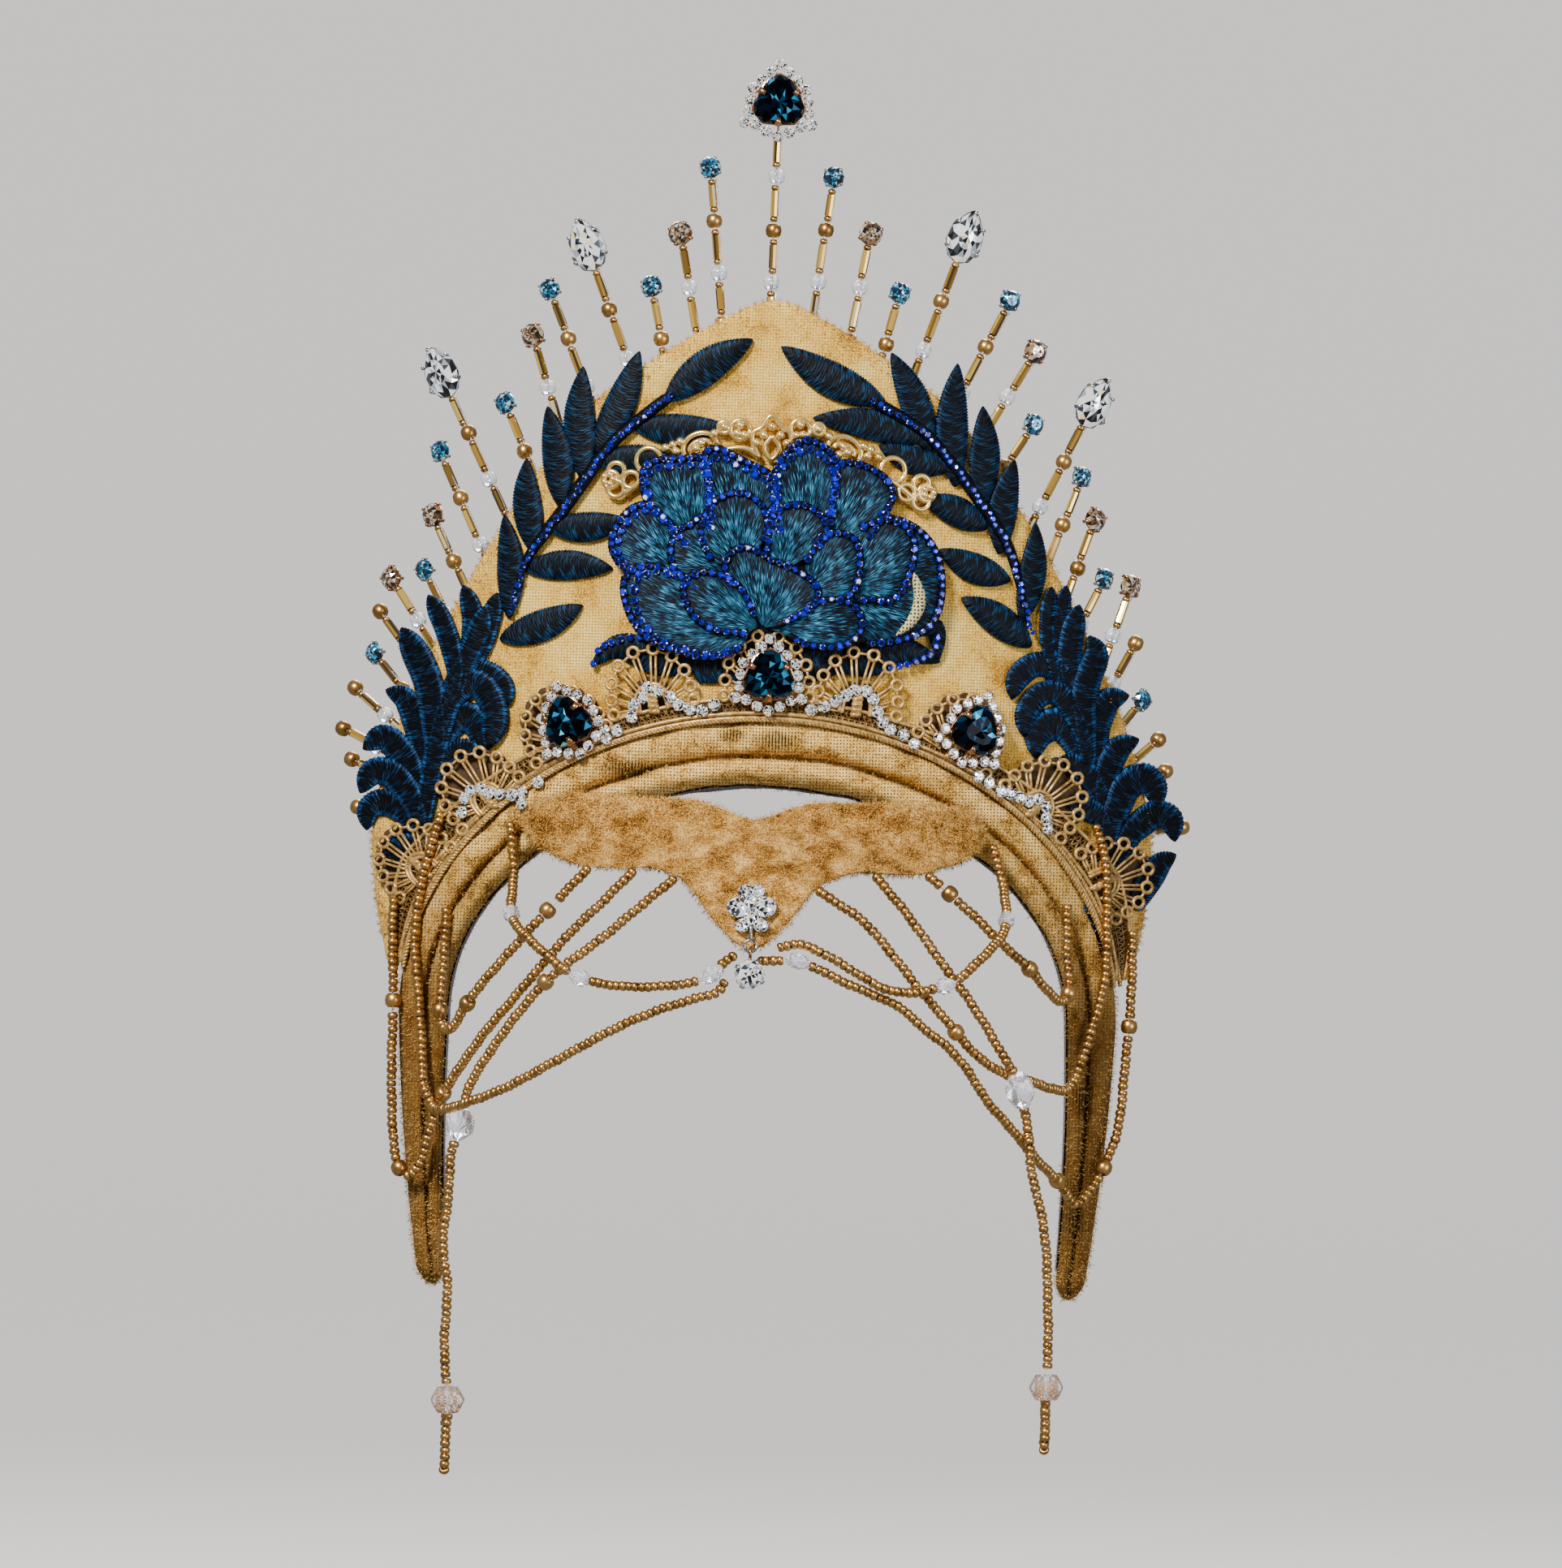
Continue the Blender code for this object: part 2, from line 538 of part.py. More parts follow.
def fuse(meshes):
    """One mesh from several that overlap."""
    first = bpy.data.objects.new("fused", meshes[0])
    parts.objects.link(first)
    others = bpy.data.collections.new("fused_with")
    bpy.context.scene.collection.children.link(others)
    for mesh in meshes[1:]:
        others.objects.link(bpy.data.objects.new("piece", mesh))
    union = first.modifiers.new("union", "BOOLEAN")
    union.operation = "UNION"
    union.operand_type = "COLLECTION"
    union.collection = others
    union.use_self = True
    made = evaluated_mesh(first)
    for used in [first, *others.objects]:
        bpy.data.objects.remove(used, do_unlink=True)
    bpy.data.collections.remove(others)
    return made


def wrap(mesh):
    """Carries an upright flat mesh round the curve of the brow, its widest faces cut to follow it."""
    work = bmesh.new()
    work.from_mesh(mesh)
    reach = round(WRAP_LIMIT / WIDEST_FACE)
    for step in range(-reach, reach + 1):
        wide = [
            face for face in work.faces
            if max(v.co.x for v in face.verts) - min(v.co.x for v in face.verts) > WIDEST_FACE
        ]
        edges = {edge for face in wide for edge in face.edges}
        corners = {vertex for face in wide for vertex in face.verts}
        bmesh.ops.bisect_plane(
            work, geom=[*corners, *edges, *wide], dist=1e-6,
            plane_co=(step * WIDEST_FACE, 0, 0), plane_no=(1, 0, 0),
        )
    for vertex in work.verts:
        vertex.co.y += wrap_depth(vertex.co.x)
    work.to_mesh(mesh)
    work.free()
    return mesh


def flat_shape(outlines, front, back):
    """A flat plate from closed outlines, the inner ones cut through, upright between two depths."""
    curve = bpy.data.curves.new("outline", "CURVE")
    curve.dimensions = "2D"
    curve.fill_mode = "BOTH"
    curve.extrude = (back - front) / 2
    for outline in outlines:
        line = curve.splines.new("POLY")
        line.points.add(len(outline) - 1)
        for point, place in zip(line.points, outline):
            point.co = (place.x, place.y, 0, 1)
        line.use_cyclic_u = True
    plate = bpy.data.objects.new("plate", curve)
    parts.objects.link(plate)
    plate.matrix_world = Matrix.Translation((0, (front + back) / 2, 0)) @ Matrix.Rotation(
        math.radians(90), 4, "X"
    )
    made = evaluated_mesh(plate)
    bpy.data.objects.remove(plate, do_unlink=True)
    return made


def ridge(spine, widths, layer):
    """A low tapered relief along a flat spine: a ridge on top and a flat keel behind."""
    low, edge, top = layer
    rings = []
    for i, place in enumerate(spine):
        ahead = spine[min(i + 1, len(spine) - 1)] - spine[max(i - 1, 0)]
        side = Vector((-ahead.y, ahead.x)).normalized() * widths[i] / 2
        left, right = place + side, place - side
        rings.append([
            (left.x, -edge, left.y),
            (place.x, -top, place.y),
            (right.x, -edge, right.y),
            (place.x, -low, place.y),
        ])
    return loft(rings)


def leaf(points, width, sections, tip_share=0.16):
    """A ridge that is narrow at both ends and fullest in the middle."""
    spine = resample(smooth(points, 6), sections)
    widths = [
        width * max(tip_share, math.sin(math.pi * (0.06 + 0.9 * i / (sections - 1))) ** 0.7)
        for i in range(sections)
    ]
    return ridge(spine, widths, LOW_LAYER)


def mirrored(mesh):
    """A copy of a mesh on the other side of the diadem."""
    made = mesh.copy()
    made.transform(Matrix.Scale(-1, 4, (1, 0, 0)))
    made.flip_normals()
    return made


# Head band, crown panel and forehead piece

BAND_SPANS = 8


def band_stations():
    """Centre, outward direction, half thickness and depth share from one end to the other."""
    side = (HEAD_HALF_WIDTH + OUTER_HALF_WIDTH) / 2
    leg = []
    for drop in (1.0, 0.985, 0.9, 0.65, 0.35):
        share = 1 - (1 - LEG_END_SHARE) * drop
        if drop > 0.99:
            share *= 0.55
        centre = Vector((side - LEG_TURN_IN * drop**2, -BAND_RISE - LEG_LENGTH * drop))
        leg.append((centre, Vector((1, 0)), BAND_SIDE_THICKNESS / 2 * share, share))
    over = []
    for step in range(BAND_SPANS + 1):
        angle = 90 * step / BAND_SPANS
        inner = arch(angle, HEAD_HALF_WIDTH, BAND_RISE)
        outer = arch(angle, OUTER_HALF_WIDTH, OUTER_RISE)
        over.append(((inner + outer) / 2, (outer - inner).normalized(), (outer - inner).length / 2, 1.0))
    right = [*leg, *over]
    left = [
        (Vector((-c.x, c.y)), Vector((-n.x, n.y)), half, share) for c, n, half, share in right[-2::-1]
    ]
    return [*right, *left]


def head_band():
    """The padded velvet band with its two front rolls."""
    rings = []
    for centre, out, half, share in band_stations():
        ring = []
        for row in BAND_SECTION:
            place = centre + out * (half * row.out)
            ring.append((place.x, BAND_SETBACK + BAND_DEPTH / 2 * row.back * share, place.y))
        rings.append(ring)
    add("head_band", wrap(loft(rings)), "velvet")


def crown_edge(count):
    """The crown's outer edge from the right tip over the apex to the left tip."""
    half = resample(smooth(flat_points([(r.x, r.z) for r in CROWN_EDGE]), 8), count)[::-1]
    return [*half, *[Vector((-p.x, p.y)) for p in half[-2::-1]]]


CROWN_COLUMNS = 14
CROWN_ROWS = 3


def crown_panel():
    """The stiff velvet panel: an open sheet between the band and the outer edge, made solid."""
    outer = crown_edge(CROWN_COLUMNS)
    inner = []
    for i in range(CROWN_COLUMNS):
        angle = CROWN_TIP_ANGLE + (90 - CROWN_TIP_ANGLE) * i / (CROWN_COLUMNS - 1)
        inner.append(band_edge(angle, GAP))
    inner += [Vector((-p.x, p.y)) for p in inner[-2::-1]]
    mesh = bmesh.new()
    grid = []
    for low, high in zip(inner, outer):
        column = [low.lerp(high, k / CROWN_ROWS) for k in range(CROWN_ROWS + 1)]
        grid.append([mesh.verts.new((p.x, 0, p.y)) for p in column])
    for near, far in zip(grid, grid[1:]):
        for k in range(CROWN_ROWS):
            mesh.faces.new((near[k], near[k + 1], far[k + 1], far[k]))
    back = bmesh.ops.extrude_face_region(mesh, geom=list(mesh.faces), use_keep_orig=True)["geom"]
    moved = [v for v in back if isinstance(v, bmesh.types.BMVert)]
    bmesh.ops.translate(mesh, verts=moved, vec=(0, PANEL_THICKNESS, 0))
    bmesh.ops.recalc_face_normals(mesh, faces=mesh.faces)
    made = bpy.data.meshes.new("crown_panel")
    mesh.to_mesh(made)
    mesh.free()
    add("crown_panel", wrap(made), "velvet")


def forehead_peak():
    """The padded band across the brow with its point in the middle."""
    rows = [PeakRow(-r.x, r.top, r.bottom) for r in PEAK_ROWS[:0:-1]] + PEAK_ROWS
    rings = []
    for row in rows:
        x = row.x * MM + PEAK_X
        top, bottom = row.top * MM, row.bottom * MM
        ring = []
        for share in (0.0, 0.12, 0.5, 0.88, 1.0):
            z = top + (bottom - top) * share
            swell = 0.35 if share in (0.0, 1.0) else 1.0
            ring.append((x, drape_depth(x, z) - PEAK_THICKNESS * (0.5 + 0.5 * swell), z))
        for share in (0.88, 0.5, 0.12):
            z = top + (bottom - top) * share
            ring.append((x, drape_depth(x, z), z))
        rings.append(ring)
    add("forehead_peak", loft(rings), "velvet")


# Appliques, lace and filigree

def leaf_sprays():
    """The satin-stitched leaf sprays, one body each."""
    stem = ridge(resample(smooth(flat_points(STEM), 4), 6), [STEM_WIDTH] * 6, LOW_LAYER)
    blades = []
    for row in LEAVES:
        base, tip = flat_points([(row.base_x, row.base_z), (row.tip_x, row.tip_z)])
        base -= (tip - base).normalized() * STEM_WIDTH / 2
        blades.append(leaf([base, base.lerp(tip, 0.5), tip], row.width * MM, 4))
    right = fuse([stem, *blades])
    add("leaf_spray_left", wrap(mirrored(right)), "navy")
    add("leaf_spray_right", wrap(right), "navy")


def scrolls():
    """The acanthus scrolls beside the ears, one body each."""
    lobes = [leaf(flat_points([r.base, r.mid, r.tip]), r.width * MM, 5, 0.3) for r in LOBES]
    spine = resample(smooth(flat_points(SCROLL_SPINE), 4), 6)
    stalk = ridge(spine, [SCROLL_SPINE_WIDTH] * 6, LOW_LAYER)
    right = fuse([stalk, *lobes])
    add("scroll_left", wrap(mirrored(right)), "navy")
    add("scroll_right", wrap(right), "navy")


def petal(row, back, edge, top):
    """A domed petal with a flat back, as rings round its middle."""
    turn = math.radians(row.turn)
    rings = []
    for depth, share in ((back, 1.0), (edge, 1.0), (top, 0.55)):
        ring = []
        for i in range(PETAL_SIDES):
            angle = 2 * math.pi * i / PETAL_SIDES
            across = row.half_width * MM * share * math.cos(angle)
            along = row.half_height * MM * share * math.sin(angle)
            x = row.x * MM + across * math.cos(turn) - along * math.sin(turn)
            z = row.z * MM + across * math.sin(turn) + along * math.cos(turn)
            ring.append((x, -depth, z))
        rings.append(ring)
    return loft(rings)


def peony():
    """The padded flower, its petals and sepals fused round a core that reaches the panel."""
    low, edge, top = PEONY_LAYER
    pieces = [petal(PEONY_CORE, LOW_LAYER[0], low + 0.5 * MM, low + 0.7 * MM)]
    for row in PETALS:
        lift = row.lift * MM
        pieces.append(petal(row, low, edge + lift, top + lift))
    for row in SEPALS:
        pieces.append(leaf(flat_points([row.base, row.mid, row.tip]), row.width * MM, 5, 0.3))
    add("peony", wrap(fuse(pieces)), "navy")


def fan_outlines(row, side):
    """A lace fan's scalloped edge and the slots between its rays."""
    hub = Vector((row.x * side, row.z)) * MM
    turn = math.radians(90 + row.turn * side)
    step = math.radians(FAN_SPAN) / (FAN_RAYS - 1)
    start = turn - math.radians(FAN_SPAN) / 2

    def at(radius, angle):
        return hub + Vector((math.cos(angle), math.sin(angle))) * radius * row.scale

    edge = [at(SLOT_INNER * 0.8, turn + math.pi)]
    for i in range(FAN_RAYS):
        ray = start + i * step
        edge.append(at(FAN_RADIUS, ray - step * 0.24))
        edge.append(at(FAN_RADIUS, ray + step * 0.24))
        if i < FAN_RAYS - 1:
            edge.append(at(FAN_NOTCH, ray + step * 0.5))
    slots = []
    for i in range(FAN_RAYS - 1):
        middle = start + (i + 0.5) * step
        slots.append([
            at(SLOT_INNER, middle),
            at(SLOT_OUTER, middle - step * 0.27),
            at(SLOT_OUTER, middle + step * 0.27),
        ])
    return [edge, *slots]


def strip_width(angle):
    """The lace heading's width at an angle round the arch."""
    angle = min(angle, 180 - angle)
    for wide, narrow in zip(LACE_STRIP, LACE_STRIP[1:]):
        if angle >= narrow.angle:
            share = (wide.angle - angle) / (wide.angle - narrow.angle)
            return (wide.width + (narrow.width - wide.width) * share) * MM
    return LACE_STRIP[-1].width * MM


LACE_STATIONS = 23


def lace_trim():
    """The gold lace: a solid heading along the band with pierced fans above it."""
    back, front = METAL_LAYER
    rings = []
    for i in range(LACE_STATIONS):
        angle = CROWN_TIP_ANGLE + (180 - 2 * CROWN_TIP_ANGLE) * i / (LACE_STATIONS - 1)
        low, high = band_edge(angle, GAP), band_edge(angle, strip_width(angle))
        rings.append([
            (low.x, -back, low.y), (high.x, -back, high.y),
            (high.x, -front, high.y), (low.x, -front, low.y),
        ])
    pieces = [loft(rings)]
    for row in FANS:
        for side in (1, -1) if row.x else (1,):
            pieces.append(flat_shape(fan_outlines(row, side), -front, -back))
    add("lace_trim", wrap(fuse(pieces)), "lace")


def circle(centre, radius, sides):
    """A closed round outline."""
    turns = [2 * math.pi * i / sides for i in range(sides)]
    return [centre + Vector((math.cos(t), math.sin(t))) * radius for t in turns]


def filigree_arc():
    """Open stamped rings joined by a curved bar."""
    back, front = METAL_LAYER
    rows = [RingRow(-r.x, r.z, r.radius) for r in FILIGREE[:0:-1]] + FILIGREE
    pieces = []
    for row in rows:
        centre, radius = Vector((row.x, row.z)) * MM, row.radius * MM
        outlines = [
            circle(centre, radius, FILIGREE_SIDES),
            circle(centre, radius - FILIGREE_RIM, FILIGREE_SIDES),
        ]
        pieces.append(flat_shape(outlines, -front, -back))
    bar = [Vector((r.x, r.z - r.radius * 0.8)) * MM for r in rows]
    rings = []
    for i, place in enumerate(bar):
        ahead = bar[min(i + 1, len(bar) - 1)] - bar[max(i - 1, 0)]
        side = Vector((-ahead.y, ahead.x)).normalized() * FILIGREE_RIM
        low, high = place - side, place + side
        rings.append([
            (low.x, -back, low.y), (high.x, -back, high.y),
            (high.x, -front, high.y), (low.x, -front, low.y),
        ])
    add("filigree_arc", wrap(fuse([loft(rings), *pieces])), "gold")


# Stones and spikes

def trilliant_radius(angle, size, bulge):
    """The radius of a rounded triangle that points up."""
    return size * (1 + bulge * math.cos(3 * (angle - math.pi / 2)))


def halo_stone():
    """A pointed stone with a table, set in a scalloped rim of small stones, facing -Y."""
    rim = []
    for i in range(2 * HALO_STONES):
        angle = 2 * math.pi * i / (2 * HALO_STONES)
        rim.append(
            Vector((math.cos(angle), math.sin(angle)))
            * trilliant_radius(angle, HALO_RADIUS - (i % 2) * 0.9 * MM, 0.16)
        )
    plate = flat_shape([rim], -1.8 * MM, 0)
    rings = []
    for depth, share in ((0.5, 0.95), (2.6, 0.97), (4.4, 0.5)):
        ring = []
        for i in range(12):
            angle = 2 * math.pi * i / 12
            radius = trilliant_radius(angle, TRILLIANT_RADIUS * share, 0.12)
            ring.append((radius * math.cos(angle), -depth * MM, radius * math.sin(angle)))
        rings.append(ring)
    return fuse([plate, loft(rings)])


def round_stone():
    """A round stone in its cup: a back, a girdle and a table, facing -Y."""
    rings = []
    for depth, radius in ((0.0, 1.9), (2.0, 2.8), (3.6, 1.6)):
        rings.append([
            (radius * MM * math.cos(a), (1.8 - depth) * MM, radius * MM * math.sin(a))
            for a in [2 * math.pi * i / STONE_SIDES for i in range(STONE_SIDES)]
        ])
    return loft(rings)


def pear_stone():
    """A pear-shaped stone that points away from the wire, facing -Y."""
    rings = []
    for depth, share in ((0.0, 0.75), (2.0, 1.0), (4.6, 0.5)):
        ring = []
        for i in range(12):
            angle = 2 * math.pi * i / 12
            narrow = 1 - 0.55 * max(0.0, math.sin(angle)) ** 1.5
            x = PEAR_WIDTH / 2 * share * math.cos(angle) * narrow
            z = PEAR_LENGTH / 2 * share * math.sin(angle)
            ring.append((x, (2.0 - depth) * MM, z))
        rings.append(ring)
    return loft(rings)


TIP_REACH = {
    "chaton": CHATON_RADIUS,
    "topaz": CHATON_RADIUS,
    "bead": ROUND_BEAD_RADIUS,
    "pear": PEAR_LENGTH / 2,
    "halo": HALO_RADIUS * 0.86,
}
TIP_MATERIAL = {
    "chaton": "stone", "topaz": "topaz", "bead": "bead", "pear": "crystal", "halo": "stone",
}


def tip_mesh(kind):
    """The stone on the end of a spike."""
    makers = {"pear": pear_stone, "halo": halo_stone}
    return makers.get(kind, round_stone)()


def reach_to_crown(tip, down):
    """How far the crown's edge lies from a point in a flat direction."""
    edge = crown_edge(40)
    found = []
    for a, b in zip(edge, edge[1:]):
        along = b - a
        cross = down.x * along.y - down.y * along.x
        if abs(cross) < 1e-12:
            continue
        to = a - tip
        distance = (to.x * along.y - to.y * along.x) / cross
        share = (to.x * down.y - to.y * down.x) / cross
        if distance > 0 and 0 <= share <= 1:
            found.append(distance)
    return min(found)


def wire_profile(order, start, length):
    """Radius and distance below the tip for the beads that fit on the wire, top to bottom.

    A bugle, the seed beads at its ends and the sewn tail of the wire are drawn as one plain tube.
    """
    rows = [(BUGLE_RADIUS, start - 0.8 * MM)]
    at, index = start, 0
    beads = BEAD_ORDER[order]
    while at + beads[index % len(beads)].length * MM < length:
        bead = beads[index % len(beads)]
        size = bead.length * MM
        if bead.kind != "bugle":
            swell = ROUND_BEAD_RADIUS * 0.95
            rows += [
                (BUGLE_RADIUS, at),
                (swell, at + size * 0.32),
                (swell, at + size * 0.68),
                (BUGLE_RADIUS, at + size),
            ]
        at += size
        index += 1
    return [*rows, (BUGLE_RADIUS, length + WIRE_TAIL)]


def ball_profile():
    """The rows of a round bead about the tip, to go above a wire's own rows."""
    turns = [math.radians(a) for a in (-62, -22, 22, 62)]
    return [(ROUND_BEAD_RADIUS * math.cos(t), ROUND_BEAD_RADIUS * math.sin(t)) for t in turns]


def turned(rows):
    """A closed turned body hanging down from the origin along -Z."""
    points = [(0, rows[0][1]), *rows, (0, rows[-1][1])]
    line = bpy.data.meshes.new("profile")
    line.from_pydata(
        [(radius, 0, -along) for radius, along in points],
        [(i, i + 1) for i in range(len(points) - 1)],
        [],
    )
    holder = bpy.data.objects.new("profile", line)
    parts.objects.link(holder)
    screw = holder.modifiers.new("turn", "SCREW")
    screw.steps = screw.render_steps = BEAD_SIDES
    screw.use_merge_vertices = True
    screw.merge_threshold = 1e-5
    made = evaluated_mesh(holder)
    bpy.data.objects.remove(holder, do_unlink=True)
    return made


def spike(name, row):
    """A wired stem of beads behind the crown with a stone on its end."""
    lean = math.radians(row.lean)
    tip = Vector((row.x, row.z)) * MM
    down = Vector((-math.sin(lean), -math.cos(lean)))
    edge_reach = reach_to_crown(tip, down)
    profile = wire_profile(row.order, TIP_REACH[row.tip], edge_reach - ROUND_BEAD_RADIUS)
    if row.tip == "bead":
        made = turned([*ball_profile(), *profile[1:]])
    else:
        made = fuse([tip_mesh(row.tip), turned(profile)])
    foot = tip + down * edge_reach
    slope = wrap_slope(foot.x)
    up = Vector((-down.x, -down.x * slope, -down.y)).normalized()
    facing = Vector((slope, -1, 0)).normalized()
    facing = (facing - up * facing.dot(up)).normalized()
    side = (-facing).cross(up)
    stretch = Vector((down.x, down.x * slope, down.y)).length
    behind = PANEL_THICKNESS + (GAP + BUGLE_RADIUS) * math.hypot(1, slope)
    root = Vector((foot.x, wrap_depth(foot.x) + behind, foot.y))
    turn = Matrix((side, -facing, up)).transposed()
    made.transform(Matrix.Translation(root + up * edge_reach * stretch) @ turn.to_4x4())
    add(name, made, TIP_MATERIAL[row.tip])


def spikes():
    """All the spikes, numbered from the ear to the top on each side."""
    for number, row in enumerate(LEFT_SPIKES, 1):
        spike(f"spike_left_{number:02d}", row)
    for number, row in enumerate(reversed(RIGHT_SPIKES), 1):
        spike(f"spike_right_{number:02d}", row)
    spike("spike_centre", CENTRE_SPIKE)


def band_stones():
    """The three haloed stones that lie on the lace."""
    for row in BAND_STONES:
        made = halo_stone()
        x, z = row.x * MM, row.z * MM
        lean = math.atan(wrap_slope(x))
        place = Matrix.Translation((x, wrap_depth(x) - STONE_BACK, z))
        turn = Matrix.Rotation(lean, 4, "Z") @ Matrix.Rotation(-math.radians(row.turn), 4, "Y")
        made.transform(place @ turn)
        add(row.name, made, "stone")


# Pendant at the brow's point

ClusterRow = namedtuple("ClusterRow", "x z radius")
CLUSTER = [
    ClusterRow(-1.5, -24.6, 2.0),
    ClusterRow(1.5, -24.6, 2.0),
    ClusterRow(-3.1, -30.2, 3.1),
    ClusterRow(3.1, -30.2, 3.1),
    ClusterRow(0.0, -33.6, 1.9),
    ClusterRow(-2.3, -35.8, 1.9),
    ClusterRow(2.3, -35.8, 1.9),
]
CLUSTER_BACK = 0.6 * MM
LINK_RADIUS = 1.5 * MM
LINK_WIRE = 0.4 * MM
DROP_RADIUS = 3.6 * MM
CLUSTER_LOOP_Z = -41.0 * MM


def brow_slope(z):
    """Place and lean of the forehead piece's front at the pendant."""
    x = PEAK_X
    here, below = drape_depth(x, z), drape_depth(x, z - MM)
    return here - PEAK_THICKNESS, math.atan((here - below) / MM)


def set_stone(radius, height):
    """A round stone with a table, facing -Y from its back at y = 0."""
    rings = []
    for depth, share in ((0.0, 0.95), (0.55 * height, 1.0), (height, 0.55)):
        rings.append([
            (radius * share * math.cos(a), -depth, radius * share * math.sin(a))
            for a in [2 * math.pi * i / STONE_SIDES for i in range(STONE_SIDES)]
        ])
    return loft(rings)


def link(upright):
    """A small round link, facing the viewer or edge on."""
    bpy.ops.mesh.primitive_torus_add(
        major_radius=LINK_RADIUS, minor_radius=LINK_WIRE, major_segments=12, minor_segments=5,
        rotation=(math.pi / 2, 0, 0 if upright else math.pi / 2),
    )
    ring = bpy.context.object
    made = evaluated_mesh(ring)
    bpy.data.objects.remove(ring, do_unlink=True)
    return made


def pendant():
    """The stone cluster on the peak, and the round drop that hangs in its loop."""
    centre_z = -31 * MM
    depth, lean = brow_slope(centre_z)
    pieces = []
    for row in CLUSTER:
        made = set_stone(row.radius * MM, 2.6 * MM)
        made.transform(Matrix.Translation((row.x * MM, 0, row.z * MM - centre_z)))
        pieces.append(made)
    backing = circle(Vector((0, 0.4 * MM)), 4.4 * MM, 10)
    pieces.append(flat_shape([backing], -1.0 * MM, 0.1 * MM))
    neck = ridge(
        [Vector((0, -3 * MM)), Vector((0, CLUSTER_LOOP_Z - centre_z + 0.85 * LINK_RADIUS))],
        [1.8 * MM, 1.6 * MM], (-0.3 * MM, 0.4 * MM, 1.4 * MM),
    )
    pieces.append(neck)
    place = Matrix.Translation((PEAK_X, depth - CLUSTER_BACK, centre_z)) @ Matrix.Rotation(
        -lean, 4, "X"
    )
    for made in pieces:
        made.transform(place)
    loop_middle = place @ Vector((0, -0.5 * MM, CLUSTER_LOOP_Z - centre_z))
    loop = link(True)
    loop.transform(Matrix.Translation(loop_middle))
    add("peak_cluster", fuse([*pieces, loop]), "crystal")
    ring = link(False)
    ring.transform(Matrix.Translation((0, 0, -1.2 * LINK_RADIUS)))
    stem = ridge(
        [Vector((0, -2.6 * LINK_RADIUS)), Vector((0, -2.05 * LINK_RADIUS))],
        [1.2 * MM, 1.2 * MM], (-0.5 * MM, 0.0, 0.5 * MM),
    )
    jewel = set_stone(DROP_RADIUS, 3.4 * MM)
    jewel.transform(Matrix.Translation((0, 1.7 * MM, -2.2 * LINK_RADIUS - DROP_RADIUS)))
    drop = fuse([jewel, stem, ring])
    drop.transform(Matrix.Translation(loop_middle))
    add("peak_drop", drop, "crystal")


# Strands

def strand_depth(name, x, z, lift):
    """Where a strand's middle lies, in front of what it drapes over."""
    if name in HANGING and z < HANG_LEVEL:
        hung = [r for r in STRANDS[name] if r.z * MM > HANG_LEVEL][-1]
        x, z, lift = hung.x * MM, hung.z * MM, hung.lift
    clear = STRAND_RADIUS + 0.15 * MM + lift * (2 * STRAND_RADIUS + GAP)
    across = (drape_depth(x + MM, z) - drape_depth(x - MM, z)) / (2 * MM)
    upward = (drape_depth(x, z + MM) - drape_depth(x, z - MM)) / (2 * MM)
    return drape_depth(x, z) - clear * min(STEEPEST, math.hypot(1, across, upward))


def strand_line(name):
    """The strand's dense centreline and the distance along it of each bead."""
    rows = STRANDS[name]
    flat = smooth([Vector((r.x * MM, r.z * MM, r.lift)) for r in rows], 12)
    line = [Vector((p.x, strand_depth(name, p.x, p.y, p.z), p.y)) for p in flat]
    along = [0.0]
    for a, b in zip(line, line[1:]):
        along.append(along[-1] + (b - a).length)
    beads = [(along[i * 12], r.bead) for i, r in enumerate(rows) if r.bead]
    if name in HANGING:
        foot = line[-1]
        for turn in range(1, 8):
            angle = math.pi * turn / 7
            swing = Vector((0, 1 - math.cos(angle), -math.sin(angle))) * LOOP_HALF_WIDTH
            line.append(foot + swing)
        up = beads[-1][0] + CRYSTALS["rondelle"].length / 2 * MM + GAP * 2
        line.append(Vector((foot.x, foot.y + 2 * LOOP_HALF_WIDTH, foot.z + along[-1] - up)))
    return line, beads


def place_along(line, distance):
    """The point at a distance along a dense line."""
    for a, b in zip(line, line[1:]):
        step = (b - a).length
        if distance <= step:
            return a.lerp(b, distance / step)
        distance -= step
    return line[-1].copy()


def strand(name):
    """One string of beads as a tube that swells at its crystals and larger beads."""
    line, beads = strand_line(name)
    total = sum((b - a).length for a, b in zip(line, line[1:]))
    marks = {}
    for at, kind in beads:
        if kind == "gold":
            continue
        size = CRYSTALS[kind]
        half = size.length / 2 * MM
        swell = size.radius * MM / STRAND_RADIUS
        marks[at - half] = 1.0
        if kind == "rondelle":
            marks[at - half * 0.45] = swell
            marks[at + half * 0.45] = swell
        else:
            marks[at] = swell
        marks[at + half] = 1.0
    steps = round(total / STRAND_STEP)
    for i in range(steps + 1):
        at = total * i / steps
        if all(abs(at - taken) > STRAND_STEP * 0.45 for taken in marks):
            marks[at] = 1.0
    marks[0.0] = 1.0
    marks[total] = 1.0
    curve = bpy.data.curves.new(name, "CURVE")
    curve.dimensions = "3D"
    curve.bevel_depth = STRAND_RADIUS
    curve.bevel_resolution = 2
    curve.use_fill_caps = True
    string = curve.splines.new("POLY")
    string.points.add(len(marks) - 1)
    for point, at in zip(string.points, sorted(marks)):
        point.co = (*place_along(line, at), 1)
        point.radius = marks[at]
    curve.materials.append(MATERIALS["bead"])
    made = bpy.data.objects.new(name, curve)
    parts.objects.link(made)


# The diadem

